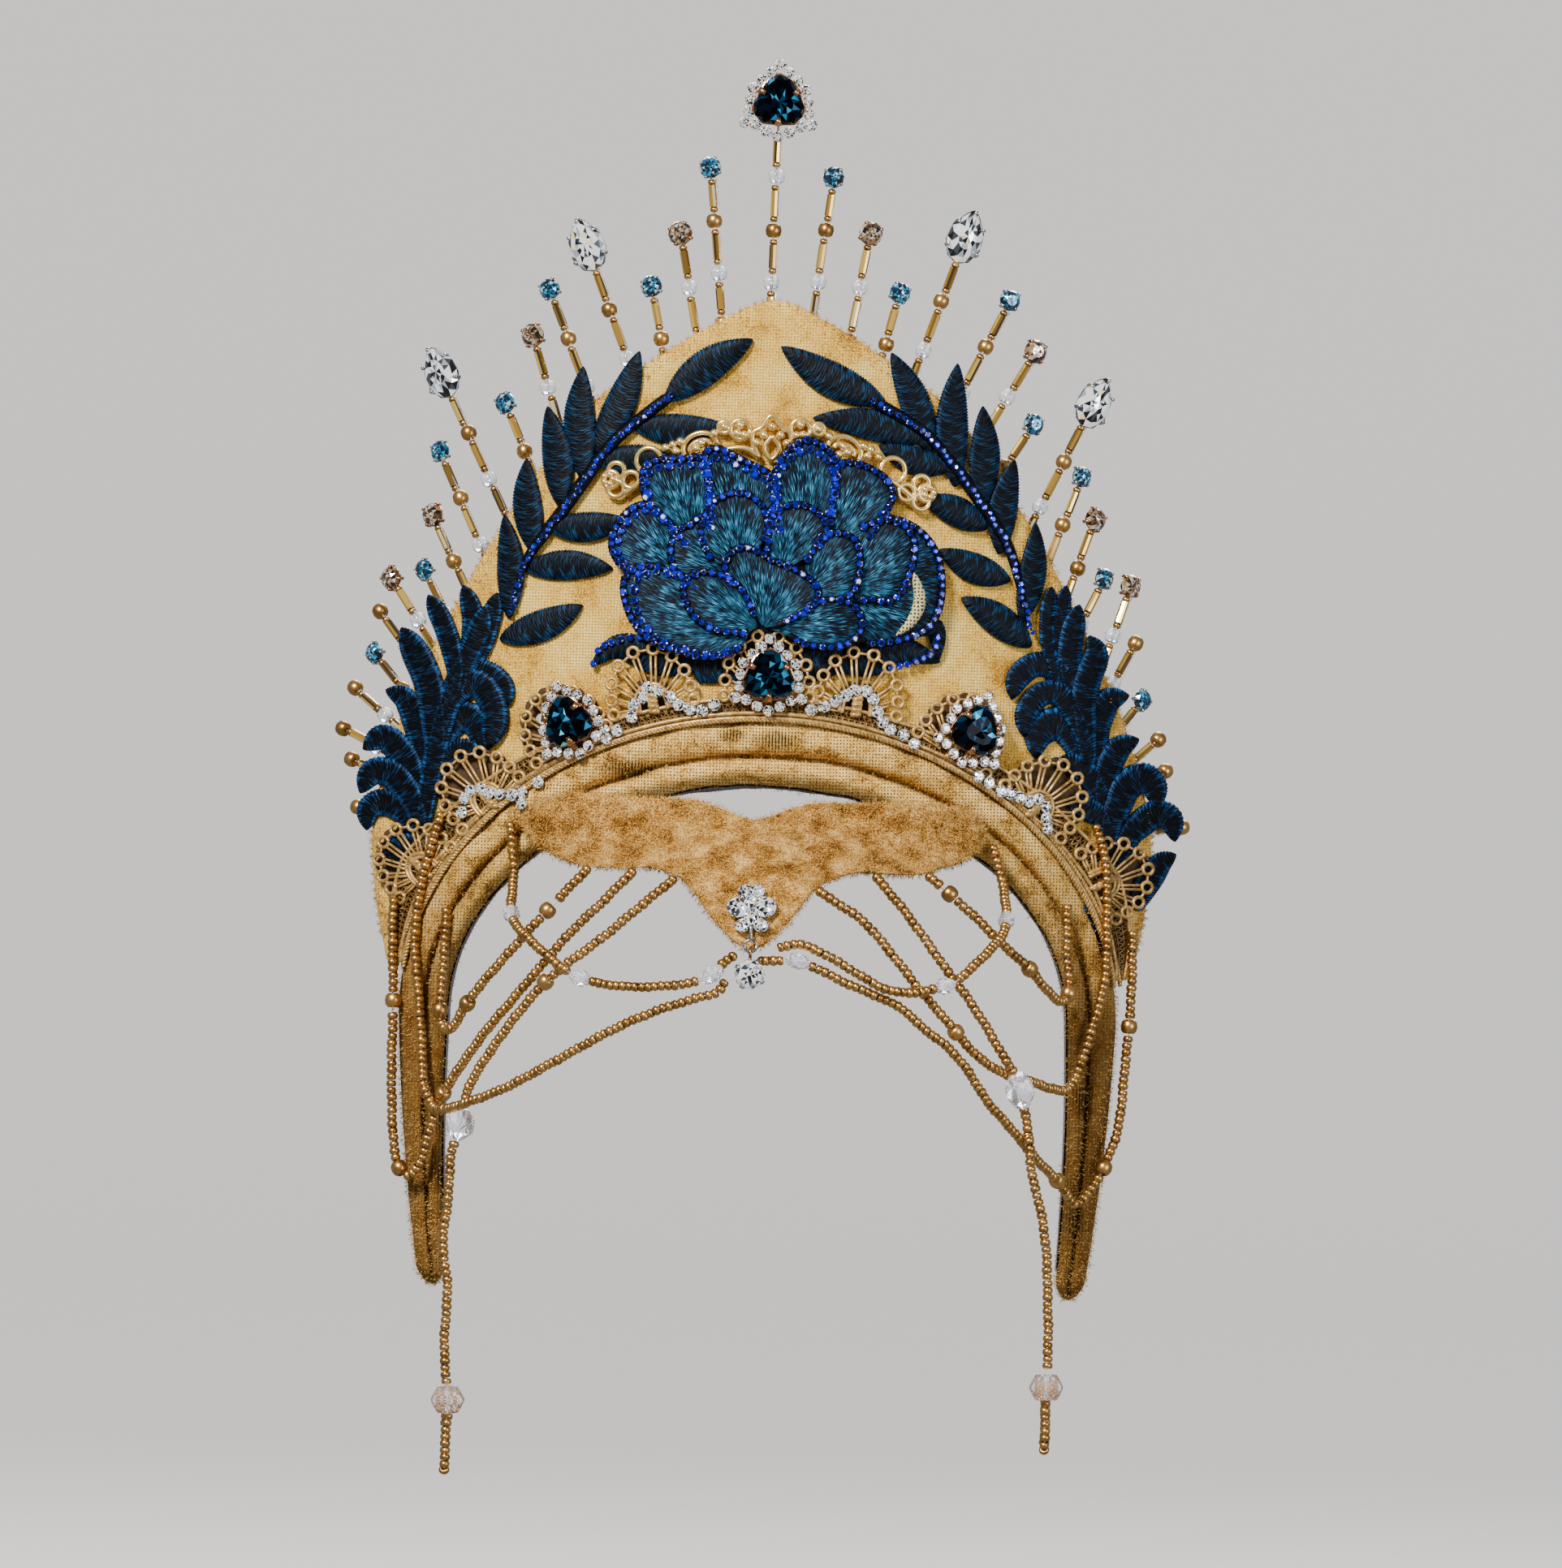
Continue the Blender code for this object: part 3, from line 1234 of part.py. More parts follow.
head_band()
crown_panel()
forehead_peak()
leaf_sprays()
scrolls()
peony()
lace_trim()
filigree_arc()
band_stones()
spikes()
pendant()
for strand_name in STRANDS:
    strand(strand_name)
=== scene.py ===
"""Looks of a velvet kokoshnik diadem with embroidery, lace, wired beads and draped strings of beads.

Places and sizes are in millimetres, as a maker would note them, and MM turns them into metres when a
mesh is made. The front faces -Y, +X is on the viewer's right and +Z is up. The origin is where the
lining of the head band rests on top of the head.
"""

from __future__ import annotations

import json
import logging
import math
from collections.abc import Callable, Iterable, Sequence
from dataclasses import dataclass, field
from enum import Enum
from functools import partial

import bpy
import numpy as np
from mathutils import Matrix, Vector, noise

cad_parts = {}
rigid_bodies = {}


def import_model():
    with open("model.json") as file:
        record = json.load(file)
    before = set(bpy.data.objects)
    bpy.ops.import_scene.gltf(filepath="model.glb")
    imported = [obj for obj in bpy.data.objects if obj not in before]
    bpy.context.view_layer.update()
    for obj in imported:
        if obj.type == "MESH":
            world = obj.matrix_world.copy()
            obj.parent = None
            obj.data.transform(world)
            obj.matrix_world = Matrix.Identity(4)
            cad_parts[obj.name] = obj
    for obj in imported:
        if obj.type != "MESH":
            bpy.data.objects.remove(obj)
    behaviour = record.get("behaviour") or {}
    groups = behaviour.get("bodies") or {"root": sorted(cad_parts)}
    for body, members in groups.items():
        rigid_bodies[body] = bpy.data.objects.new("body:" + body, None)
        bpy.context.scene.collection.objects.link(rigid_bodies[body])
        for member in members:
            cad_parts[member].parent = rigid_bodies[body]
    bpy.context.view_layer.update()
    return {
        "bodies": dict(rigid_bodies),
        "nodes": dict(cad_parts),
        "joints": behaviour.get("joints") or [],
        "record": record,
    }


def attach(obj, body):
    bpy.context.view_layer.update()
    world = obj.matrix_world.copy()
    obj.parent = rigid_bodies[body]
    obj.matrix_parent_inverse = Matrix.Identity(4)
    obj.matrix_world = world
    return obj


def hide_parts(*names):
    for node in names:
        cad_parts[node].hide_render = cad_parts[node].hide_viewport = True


LOG = logging.getLogger("diadem")
Array = np.ndarray
Piece = bpy.types.Object
Finish = bpy.types.Material
Face = bpy.types.MeshPolygon
Socket = bpy.types.NodeSocket
Mapped = tuple[Array, dict[str, Array]]
Line = tuple[tuple[float, float], ...]
Inputs = dict[int | str, object]
MM = 0.001
WELD = 1e-6
FACES_ALONG = 0.9
BODY = "root"

# The curve that the whole crown follows when it is seen from above
WRAP_RADIUS = 135.0
WRAP_LIMIT = 100.0

# The padded band: the head inside it, its rolls and its two sides
HEAD_HALF_WIDTH = 77.0
BAND_RISE = 58.0
OUTER_HALF_WIDTH = HEAD_HALF_WIDTH + 12.0
OUTER_RISE = BAND_RISE + 16.0

# The brow that the forehead piece and the strings of beads lie on
BROW_HALF_WIDTH = 80.0
BROW_RISE = 60.0
BROW_DEPTH = 85.0
BROW_CENTRE_Y = 45.0
BAND_FRONT = 2.8
SOFTEN = 8.0


# Curves that the whole diadem follows


def wrap_depth(x: Array | float) -> Array:
    """Gives how far back the crown lies.

    Args:
        x: Distances from the middle of the crown.

    Returns:
        The depth along +Y at each of them.
    """
    reach = np.minimum(np.abs(x), WRAP_LIMIT)
    straight = np.sqrt(WRAP_RADIUS**2 - reach**2)
    return WRAP_RADIUS - straight + reach / straight * (np.abs(x) - reach)


def wrap_slope(x: float) -> float:
    """Gives the slope of the crown's curve at x, positive on the viewer's right."""
    reach = max(-WRAP_LIMIT, min(WRAP_LIMIT, x))
    return reach / math.sqrt(WRAP_RADIUS**2 - reach**2)


def drape_depth(x: Array | float, z: Array | float) -> Array:
    """Gives the front of what the strings of beads lie on.

    Args:
        x: Places across the brow.
        z: Heights on the brow.

    Returns:
        The depth of the brow, or of the band where that is further forward.
    """
    rise = np.maximum(0.0, z + BAND_RISE) / BROW_RISE
    inside = np.maximum(0.0, 1 - (x / BROW_HALF_WIDTH) ** 2 - rise**2)
    brow = BROW_CENTRE_Y - BROW_DEPTH * np.sqrt(inside)
    band = wrap_depth(x) - BAND_FRONT
    share = np.clip(0.5 + 0.5 * (band - brow) / SOFTEN, 0.0, 1.0)
    return band + (brow - band) * share - SOFTEN * share * (1 - share)


def arch(angle: Array | float, half_width: float, rise: float) -> Array:
    """Gives points (x, z) on an ellipse over the head, at degrees from the viewer's right."""
    turn = np.radians(angle)
    return np.stack([half_width * np.cos(turn), rise * np.sin(turn) - BAND_RISE], axis=-1)


def band_edge(angle: Array | float, offset: Array | float) -> Array:
    """Gives points (x, z) at a distance outside the band's outer edge.

    Args:
        angle: Degrees round the arch.
        offset: How far outside the edge.

    Returns:
        The points, one in each row.
    """
    turn = np.radians(angle)
    out = np.stack([OUTER_RISE * np.cos(turn), OUTER_HALF_WIDTH * np.sin(turn)], axis=-1)
    out = out / np.linalg.norm(out, axis=-1, keepdims=True)
    return arch(angle, OUTER_HALF_WIDTH, OUTER_RISE) + out * np.asarray(offset)[..., None]


def smooth_line(points: Iterable[Sequence[float]], steps: int) -> Array:
    """Gives a smooth curve through points.

    Args:
        points: The points, of any number of coordinates.
        steps: How many steps each span has.

    Returns:
        The points of the curve, one in each row.
    """
    knots = np.array(list(points), float)
    ends = np.vstack([2 * knots[0] - knots[1], knots, 2 * knots[-1] - knots[-2]])
    share = (np.arange(steps) / steps)[:, None]
    made = []
    for a, b, c, d in zip(ends, ends[1:], ends[2:], ends[3:]):
        cubic = (3 * b - a - 3 * c + d) * share**3
        made.append(0.5 * (2 * b + (c - a) * share + (2 * a - 5 * b + 4 * c - d) * share**2 + cubic))
    return np.vstack([*made, knots[-1:]])


def distances(line: Array) -> Array:
    """Gives the distance along a polyline of each of its points."""
    return np.concatenate([[0.0], np.cumsum(np.linalg.norm(np.diff(line, axis=0), axis=1))])


def at_distance(line: Array, where: Array) -> Array:
    """Gives a point of a polyline for each distance along it."""
    along = distances(line)
    return np.stack([np.interp(where, along, line[:, k]) for k in range(line.shape[1])], axis=-1)


def on_circle(degrees: Array | float) -> Array:
    """Gives points (x, z) at angles on a circle of radius 1."""
    return np.stack([np.cos(np.radians(degrees)), np.sin(np.radians(degrees))], axis=-1)


def on_crown(flat: Array, lift: Array | float) -> Array:
    """Carries flat points (x, z) onto the crown's curved front, lifted off the velvet."""
    return np.stack([flat[..., 0], wrap_depth(flat[..., 0]) - lift, flat[..., 1]], axis=-1)


def spin(degrees: float) -> Matrix:
    """Gives a turn about +Z."""
    return Matrix.Rotation(math.radians(degrees), 4, "Z")


def facing_frame(place: Sequence[float], normal: Sequence[float], turn: float = 0.0,
                 size: float = 1.0) -> Matrix:
    """Places a shape that is modelled with +Z towards the viewer and +Y up.

    Args:
        place: Where its origin goes.
        normal: The direction that its +Z takes.
        turn: Degrees that it turns about that direction.
        size: How much it is enlarged.

    Returns:
        The matrix, in millimetres.
    """
    front = Vector(normal).normalized()
    up = Vector((0, 0, 1)) if abs(front.z) < 0.95 else Vector((0, -1, 0))
    side = up.cross(front).normalized()
    basis = Matrix((side, front.cross(side), front)).transposed().to_4x4()
    return Matrix.Translation(place) @ basis @ spin(turn) @ Matrix.Scale(size, 4)


def crown_frame(x: float, z: float, lift: float, turn: float = 0.0, size: float = 1.0) -> Matrix:
    """Places a shape flat on the crown's front, its back lifted off the velvet."""
    place = (x, float(wrap_depth(x)) - lift, z)
    return facing_frame(place, (wrap_slope(x), -1, 0), turn, size)


# Ways of modelling


def select_only(*pieces: Piece) -> None:
    """Leaves only these pieces selected, so that an operator acts on them alone.

    Args:
        pieces: The pieces. The first becomes the active one.
    """
    for found in bpy.context.selected_objects:
        found.select_set(False)
    for piece in pieces:
        piece.select_set(True)
        bpy.context.view_layer.objects.active = pieces[0]


def added(primitive: Callable[..., object], **sizes: object) -> Piece:
    """Adds a primitive at its size and place, with nothing else selected.

    Args:
        primitive: The operator.
        sizes: Its sizes.

    Returns:
        The new object.
    """
    select_only()
    primitive(**sizes)
    return bpy.context.object


def linked(name: str, data: bpy.types.ID) -> Piece:
    """Puts some data into the scene.

    Args:
        name: The new object's name.
        data: A mesh, curve, light or camera.

    Returns:
        The object.
    """
    made = bpy.data.objects.new(name, data)
    bpy.context.scene.collection.objects.link(made)
    return made


def rows_of(parts: Sequence[object], key: str) -> Array:
    """Reads a vector from each part of a mesh.

    Args:
        parts: Its vertices or faces.
        key: The vector's name.

    Returns:
        The vectors, one in each row.
    """
    values = np.empty(3 * len(parts), np.float32)
    parts.foreach_get(key, values)
    return values.reshape(-1, 3).astype(float)


def edit(piece: Piece, chosen: Callable[[Face], bool], *steps: Callable[[], object]) -> None:
    """Runs edit-mode operators on the faces of a piece that pass a test.

    Args:
        piece: The mesh object.
        chosen: Says whether a face is selected.
        steps: The operators, in order.
    """
    mesh = piece.data
    for part in (mesh.vertices, mesh.edges):
        part.foreach_set("select", np.zeros(len(part), bool))
    mesh.polygons.foreach_set("select", np.array([bool(chosen(face)) for face in mesh.polygons]))
    bpy.context.view_layer.objects.active = piece
    bpy.context.tool_settings.mesh_select_mode = (False, False, True)
    bpy.ops.object.mode_set(mode="EDIT")
    for step in steps:
        step()
    bpy.ops.object.mode_set(mode="OBJECT")


def everything(face: Face) -> bool:
    """Chooses every face."""
    return True


def upper(face: Face) -> bool:
    """Chooses the faces that look along +Z."""
    return face.normal.z > FACES_ALONG


@dataclass(frozen=True)
class Shape:
    """A small modelled mesh, kept as arrays in millimetres so that it can be copied many times."""

    points: Array
    faces: tuple[tuple[int, ...], ...]
    smooth: bool

    @classmethod
    def taken(cls, piece: Piece, smooth: bool) -> Shape:
        """Takes the mesh of a modelled piece and removes the piece.

        Args:
            piece: The object, modelled with a millimetre as its unit.
            smooth: Whether its faces are shaded smooth.

        Returns:
            The shape.
        """
        select_only(piece)
        bpy.ops.object.transform_apply(location=True, rotation=True, scale=True)
        points = rows_of(piece.data.vertices, "co")
        faces = tuple(tuple(face.vertices) for face in piece.data.polygons)
        bpy.data.objects.remove(piece, do_unlink=True)
        return cls(points, faces, smooth)

    def warped(self, change: Callable[[Array], Array]) -> Shape:
        """Gives the shape with its points moved by a function of them."""
        return Shape(change(self.points.copy()), self.faces, self.smooth)


class Heap:
    """Gathers placed copies of small shapes into one mesh."""

    def __init__(self, name: str) -> None:
        """Starts an empty mesh.

        Args:
            name: Its name, which also starts its random tones.
        """
        self.name = name
        self.points: list[Array] = []
        self.faces: list[tuple[int, ...]] = []
        self.slots: list[Array] = []
        self.tones: list[Array] = []
        self.smooth: list[Array] = []
        self.finishes: list[Finish] = []
        self.count = 0
        self.random = np.random.default_rng(sum(name.encode()))

    def place(self, shape: Shape, matrices: Matrix | Sequence[Matrix], finish: Finish) -> None:
        """Adds copies of a shape.

        Args:
            shape: What is copied.
            matrices: A matrix in millimetres for each copy.
            finish: The material of the copies.
        """
        several = [matrices] if isinstance(matrices, Matrix) else list(matrices)
        if finish not in self.finishes:
            self.finishes.append(finish)
        turns = np.array([[list(row) for row in matrix] for matrix in several])
        placed = np.einsum("kij,nj->kni", turns[:, :3, :3], shape.points) + turns[:, None, :3, 3]
        for _ in several:
            self.faces += [tuple(self.count + i for i in face) for face in shape.faces]
            self.count += len(shape.points)
        total = len(several) * len(shape.faces)
        self.points.append(placed.reshape(-1, 3))
        self.slots.append(np.full(total, self.finishes.index(finish)))
        # Smooth shapes take one tone for each copy; flat ones take one for each face, which foiled glass
        # turns into painted facet reflections
        if shape.smooth:
            self.tones.append(np.repeat(self.random.random(len(several)), len(shape.faces)))
        else:
            self.tones.append(self.random.random(total))
        self.smooth.append(np.full(total, shape.smooth))

    def build(self) -> Piece:
        """Makes the mesh object, with a tone on each face for its material to vary by.

        Returns:
            The object.
        """
        mesh = bpy.data.meshes.new(self.name)
        mesh.from_pydata((np.vstack(self.points) * MM).tolist(), [], self.faces)
        mesh.polygons.foreach_set("material_index", np.concatenate(self.slots).astype(np.int32))
        mesh.polygons.foreach_set("use_smooth", np.concatenate(self.smooth))
        tone = mesh.attributes.new("tone", "FLOAT", "FACE")
        tone.data.foreach_set("value", np.concatenate(self.tones).astype(np.float32))
        for finish in self.finishes:
            mesh.materials.append(finish)
        mesh.update()
        return linked(self.name, mesh)


Surface = Callable[[Array, Array], Mapped]


def mapped_grid(name: str, columns: int, rows: int, surface: Surface, finish: Finish) -> Piece:
    """Adds a grid and carries each of its points onto a surface, its seams and poles welded.

    Args:
        name: The object's name.
        columns: Faces from u = 0 to 1.
        rows: Faces from v = 0 to 1.
        surface: Gives the points in millimetres, and named values to keep on them, from u and v.
        finish: The material.

    Returns:
        The mesh object, at the origin.
    """
    grid = bpy.ops.mesh.primitive_grid_add
    piece = added(grid, x_subdivisions=columns, y_subdivisions=rows, size=2, calc_uvs=True)
    piece.name = name
    mesh = piece.data
    flat = (rows_of(mesh.vertices, "co") + 1) / 2
    points, marks = surface(flat[:, 0], flat[:, 1])
    mesh.vertices.foreach_set("co", (points * MM).astype(np.float32).ravel())
    for key, values in marks.items():
        kept = mesh.attributes.new(key, "FLOAT", "POINT")
        kept.data.foreach_set("value", np.asarray(values, np.float32))
    edit(
        piece, everything,
        lambda: bpy.ops.mesh.remove_doubles(threshold=WELD),
        lambda: bpy.ops.mesh.normals_make_consistent(inside=False),
    )
    mesh.shade_smooth()
    mesh.materials.append(finish)
    return piece


@dataclass
class Threads:
    """Threads, wires and cords gathered into one curve, which becomes a mesh."""

    name: str
    finish: Finish
    radius: float
    sides: int = 1
    lines: list[tuple[Array, Array | None]] = field(default_factory=list)

    def lay(self, line: Array, widths: Array | None = None) -> None:
        """Lays one thread through points, with its thickness at each as a share of the radius."""
        self.lines.append((np.asarray(line, float), widths))

    def twist(self, line: Array, spread: float, pitch: float, plies: int = 2) -> None:
        """Lays a cord of threads that are twisted round each other.

        Args:
            line: The cord's middle line.
            spread: How far each thread's middle lies from it.
            pitch: The length of a full turn.
            plies: How many threads there are.
        """
        where = np.arange(0, distances(line)[-1], pitch / 7)
        middle = at_distance(line, where)
        ahead = np.gradient(middle, axis=0)
        ahead /= np.linalg.norm(ahead, axis=1, keepdims=True)
        side = np.cross(ahead, (0.0, 1.0, 0.0))
        side /= np.linalg.norm(side, axis=1, keepdims=True)
        front = np.cross(ahead, side)
        for ply in range(plies):
            turn = (2 * math.pi * (where / pitch + ply / plies))[:, None]
            self.lay(middle + spread * (side * np.cos(turn) + front * np.sin(turn)))

    def build(self) -> Piece:
        """Makes the mesh object of all the threads, with rounded sides and closed ends.

        Returns:
            The object.
        """
        curve = bpy.data.curves.new(self.name, "CURVE")
        curve.dimensions = "3D"
        curve.bevel_depth = self.radius * MM
        curve.bevel_resolution = self.sides
        curve.use_fill_caps = True
        for line, widths in self.lines:
            spline = curve.splines.new("POLY")
            spline.points.add(len(line) - 1)
            full = np.column_stack([line * MM, np.ones(len(line))])
            spline.points.foreach_set("co", full.astype(np.float32).ravel())
            if widths is not None:
                spline.points.foreach_set("radius", np.asarray(widths, np.float32))
        curve.materials.append(self.finish)
        select_only(linked(self.name, curve))
        bpy.ops.object.convert(target="MESH")
        made = bpy.context.object
        edit(made, everything, lambda: bpy.ops.mesh.remove_doubles(threshold=WELD))
        made.data.shade_smooth()
        return made


def joined(name: str, pieces: Sequence[Piece]) -> Piece:
    """Joins pieces into one object.

    Args:
        name: Its name.
        pieces: What is joined.

    Returns:
        The joined object, at the origin.
    """
    select_only(*pieces)
    if len(pieces) > 1:
        bpy.ops.object.join()
    made = bpy.context.object
    made.name = name
    made.data.name = name
    return made


def deliver(piece: Piece, slot: str, *nodes: str) -> None:
    """Hands a finished piece to the frame.

    Args:
        piece: The piece.
        slot: The record's material slot; not used.
        nodes: The solids that it stands for.
    """
    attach(piece, BODY)
    if nodes:
        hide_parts(*nodes)
    triangles = sum(len(face.vertices) - 2 for face in piece.data.polygons)
    LOG.info("%s: %d triangles", piece.name, triangles)


# Finishes


def colour(code: str) -> tuple[float, float, float, float]:
    """Turns an sRGB hex colour such as #C9A266 into a linear one."""
    parts = [int(code[i : i + 2], 16) / 255 for i in (1, 3, 5)]
    return (*[c / 12.92 if c <= 0.04045 else ((c + 0.055) / 1.055) ** 2.4 for c in parts], 1.0)


def feed(node: bpy.types.Node, inputs: Inputs) -> None:
    """Feeds a node's inputs.

    Args:
        node: The node.
        inputs: A socket, a number, a vector or a hex colour for each input, by its name or number.
    """
    for key, value in inputs.items():
        if isinstance(value, bpy.types.NodeSocket):
            node.id_data.links.new(value, node.inputs[key])
        else:
            node.inputs[key].default_value = colour(value) if isinstance(value, str) else value


def add_node(tree: bpy.types.NodeTree, kind: str, inputs: Inputs, output: int | str = 0,
             stops: Sequence[tuple[float, str]] = (), **settings: object) -> Socket:
    """Adds a shader node with its settings and links.

    Args:
        tree: The material's node tree.
        kind: The node's type.
        inputs: What its inputs get.
        output: Which output is used.
        stops: A colour ramp's places from 0 to 1, each with its hex colour.
        settings: The node's own settings.

    Returns:
        The output's socket.
    """
    node = tree.nodes.new(f"ShaderNode{kind}")
    for key, value in settings.items():
        setattr(node, key, value)
    feed(node, inputs)
    if stops:
        marks = node.color_ramp.elements
        while len(marks) < len(stops):
            marks.new(1.0)
        for mark, (where, code) in zip(marks, stops):
            mark.position = where
            mark.color = colour(code)
    return node.outputs[output]


def start_material(name: str, inputs: Inputs) -> tuple[Finish, bpy.types.Node, Callable[..., Socket]]:
    """Makes a material with its own shader settings.

    Args:
        name: The material's name.
        inputs: What the shader's inputs get.

    Returns:
        The material, its shader and the function that adds a node to its tree.
    """
    made = bpy.data.materials.new(name)
    made.use_nodes = True
    shader = made.node_tree.nodes["Principled BSDF"]
    feed(shader, inputs)
    return made, shader, partial(add_node, made.node_tree)


def grain(place: Socket, size: float, detail: float = 2.0, rough: float = 0.5) -> Inputs:
    """Gives the inputs of a noise whose grains are about size millimetres wide."""
    return {"Vector": place, "Scale": 1 / (size * MM), "Detail": detail, "Roughness": rough}


@dataclass(frozen=True)
class Velvet:
    """Crushed cotton velvet: its pile lies in patches, painted pale as sheen and dark as shade, and the
    ground weave shows as rows of dots.
    """

    name: str
    dark: str
    middle: str
    light: str
    crush: float = 9.0
    row: float = 0.8
    dots: float = 0.5

    def make(self) -> Finish:
        """Makes the material: matt with a pale sheen, its crushed patches painted lighter as sheen and darker
        as shade, with painted shade where the mesh marks it and dark where it is worn to its ribs.

        Returns:
            The material.
        """
        made, shader, add = start_material(self.name, {
            "Roughness": 0.95, "Sheen Weight": 0.06, "Sheen Roughness": 0.4, "Sheen Tint": "#E8C07A",
            "Specular IOR Level": 0.12,
        })
        place = add("TexCoord", {}, "Object")
        patches = add("TexNoise", grain(place, self.crush, 5.0, 0.62), "Fac")
        pile = add("TexNoise", grain(place, 0.38, 2.0, 0.75), "Fac")
        deep = add("Math", {0: pile, 1: 1.5, 2: -1.0}, operation="MULTIPLY_ADD")
        shades = add("Math", {0: patches, 1: 1.5, 2: deep}, operation="MULTIPLY_ADD")
        # The ramp's light end is a painted sheen on the crushed pile and its dark end painted shade in its
        # hollows and creases
        tint = add("ValToRGB", {0: shades}, stops=((0.2, self.dark), (0.48, self.middle), (0.8, self.light)))
        # A sine wave of this scale has one thread in each row's width
        wave = {"Vector": place, "Scale": 0.314 / (self.row * MM), "Distortion": 1.2, "Detail Scale": 2.0}
        warp, weft = (add("TexWave", wave, "Fac", bands_direction=axis) for axis in "XZ")
        crossed = add("Math", {0: warp, 1: weft}, operation="MULTIPLY")
        weave = add("Math", {0: crossed, 1: 1.8}, operation="POWER")
        bare = add("Math", {0: patches, 1: self.dots}, operation="MULTIPLY")
        shown = add("Math", {0: weave, 1: bare}, operation="MULTIPLY")
        # The first mark is painted shade, darker in the band's crease and towards the ends of its sides; the
        # second is real wear to the ribs
        soiled, worn = (add("Attribute", {}, "Fac", attribute_name=key) for key in ("soiled", "worn"))
        for share in (shown, soiled):
            tint = add("Mix", {0: share, 6: tint, 7: self.dark}, 2, data_type="RGBA")
        nap = add("Math", {0: pile, 1: 0.4}, operation="MULTIPLY")
        ribs = add("Math", {0: warp, 1: 0.75, 2: nap}, operation="MULTIPLY_ADD")
        share = add("Math", {0: worn, 1: ribs}, operation="MULTIPLY")
        tint = add("Mix", {0: share, 6: tint, 7: "#22160A"}, 2, data_type="RGBA")
        threads = add("Math", {0: weave, 1: 0.25}, operation="MULTIPLY")
        height = add("Math", {0: shades, 1: threads}, operation="ADD")
        relief = add("Bump", {"Height": height, "Strength": 0.7, "Distance": 0.5 * MM})
        feed(shader, {"Base Color": tint, "Normal": relief})
        return made


@dataclass(frozen=True)
class Satin:
    """Rayon satin stitch: each thread has its own shade, from its middle to the stitched rim, with painted
    highlights in streaks along it.
    """

    name: str
    deep: str
    middle: str
    glint: str
    rim: str
    rim_glint: str
    rim_start: float = 0.6
    fine: float = 0.38
    rim_end: float = 0.9

    def make(self) -> Finish:
        """Makes the material: a painted lustre of highlights in short streaks that run along the threads.

        Returns:
            The material.
        """
        made, shader, add = start_material(self.name, {"Roughness": 0.5, "Specular IOR Level": 0.12})
        thread, along, edge = (
            add("Attribute", {}, "Fac", attribute_name=key) for key in ("thread", "along", "edge")
        )
        noises = []
        for across, down, detail in ((1 / self.fine, 0.36, 1.0), (0.3, 0.2, 2.0)):
            x = add("Math", {0: thread, 1: across}, operation="MULTIPLY")
            y = add("Math", {0: along, 1: down}, operation="MULTIPLY")
            flat = add("CombineXYZ", {"X": x, "Y": y})
            noises.append(add("TexNoise", {"Vector": flat, "Scale": 1.0, "Detail": detail}, "Fac"))
        streak, cloud = noises
        strong = add("Math", {0: streak, 1: 0.78}, operation="MULTIPLY")
        shades = add("Math", {0: cloud, 1: 0.24, 2: strong}, operation="MULTIPLY_ADD")
        # The glint ends of both ramps are painted highlights on the satin
        inner = ((0.47, self.deep), (0.55, self.middle), (0.66, self.glint))
        outer = ((0.46, self.deep), (0.54, self.rim), (0.66, self.rim_glint))
        inside, border = (add("ValToRGB", {0: shades}, stops=stops) for stops in (inner, outer))
        share = add("MapRange", {"Value": edge, "From Min": self.rim_start, "From Max": self.rim_end})
        tint = add("Mix", {0: share, 6: inside, 7: border}, 2, data_type="RGBA")
        relief = add("Bump", {"Height": streak, "Strength": 0.6, "Distance": 0.3 * MM})
        feed(shader, {"Base Color": tint, "Normal": relief})
        return made


@dataclass(frozen=True)
class Metal:
    """A metal or metal-coated surface: polished, brushed or tarnished by its roughness and its stains."""

    name: str
    base: str
    stain: str
    rough: float
    grain: float = 1.2
    metallic: float = 1.0

    def make(self) -> Finish:
        """Makes the material: its colour drifts between clean and stained, from piece to piece.

        Returns:
            The material.
        """
        made, shader, add = start_material(self.name, {"Metallic": self.metallic, "Roughness": self.rough})
        tone = add("Attribute", {}, "Fac", attribute_name="tone")
        cloud = add("TexNoise", grain(add("TexCoord", {}, "Object"), self.grain, 3.0, 0.6), "Fac")
        drift = add("Math", {0: tone, 1: 0.35, 2: cloud}, operation="MULTIPLY_ADD")
        tint = add("ValToRGB", {0: drift}, stops=((0.3, self.stain), (0.75, self.base)))
        relief = add("Bump", {"Height": cloud, "Strength": 0.12, "Distance": 0.1 * MM})
        feed(shader, {"Base Color": tint, "Normal": relief})
        return made


@dataclass(frozen=True)
class FoiledGlass:
    """Cut glass with a mirror foil behind it: each facet is painted with its own shade of the stone, as a
    reflection.
    """

    name: str
    shades: tuple[tuple[float, str], ...]
    metallic: float = 0.55
    # A painted glow in the facets' own colours
    glow: float = 0.0
    coat: float = 1.0

    def make(self) -> Finish:
        """Makes the material: facets painted hard bright or dark as reflections, with a painted glow, under a
        polished face.

        Returns:
            The material.
        """
        made, shader, add = start_material(self.name, {
            "Metallic": self.metallic, "Roughness": 0.06, "Coat Weight": self.coat, "Coat Roughness": 0.02,
            "Coat IOR": 1.6, "Specular IOR Level": 0.5 * self.coat, "Emission Strength": self.glow,
        })
        tone = add("Attribute", {}, "Fac", attribute_name="tone")
        # Each facet's random tone picks its painted reflection, from dark to white
        tint = add("ValToRGB", {0: tone}, stops=self.shades)
        tint.node.color_ramp.interpolation = "CONSTANT"
        feed(shader, {"Base Color": tint, "Emission Color": tint})
        return made


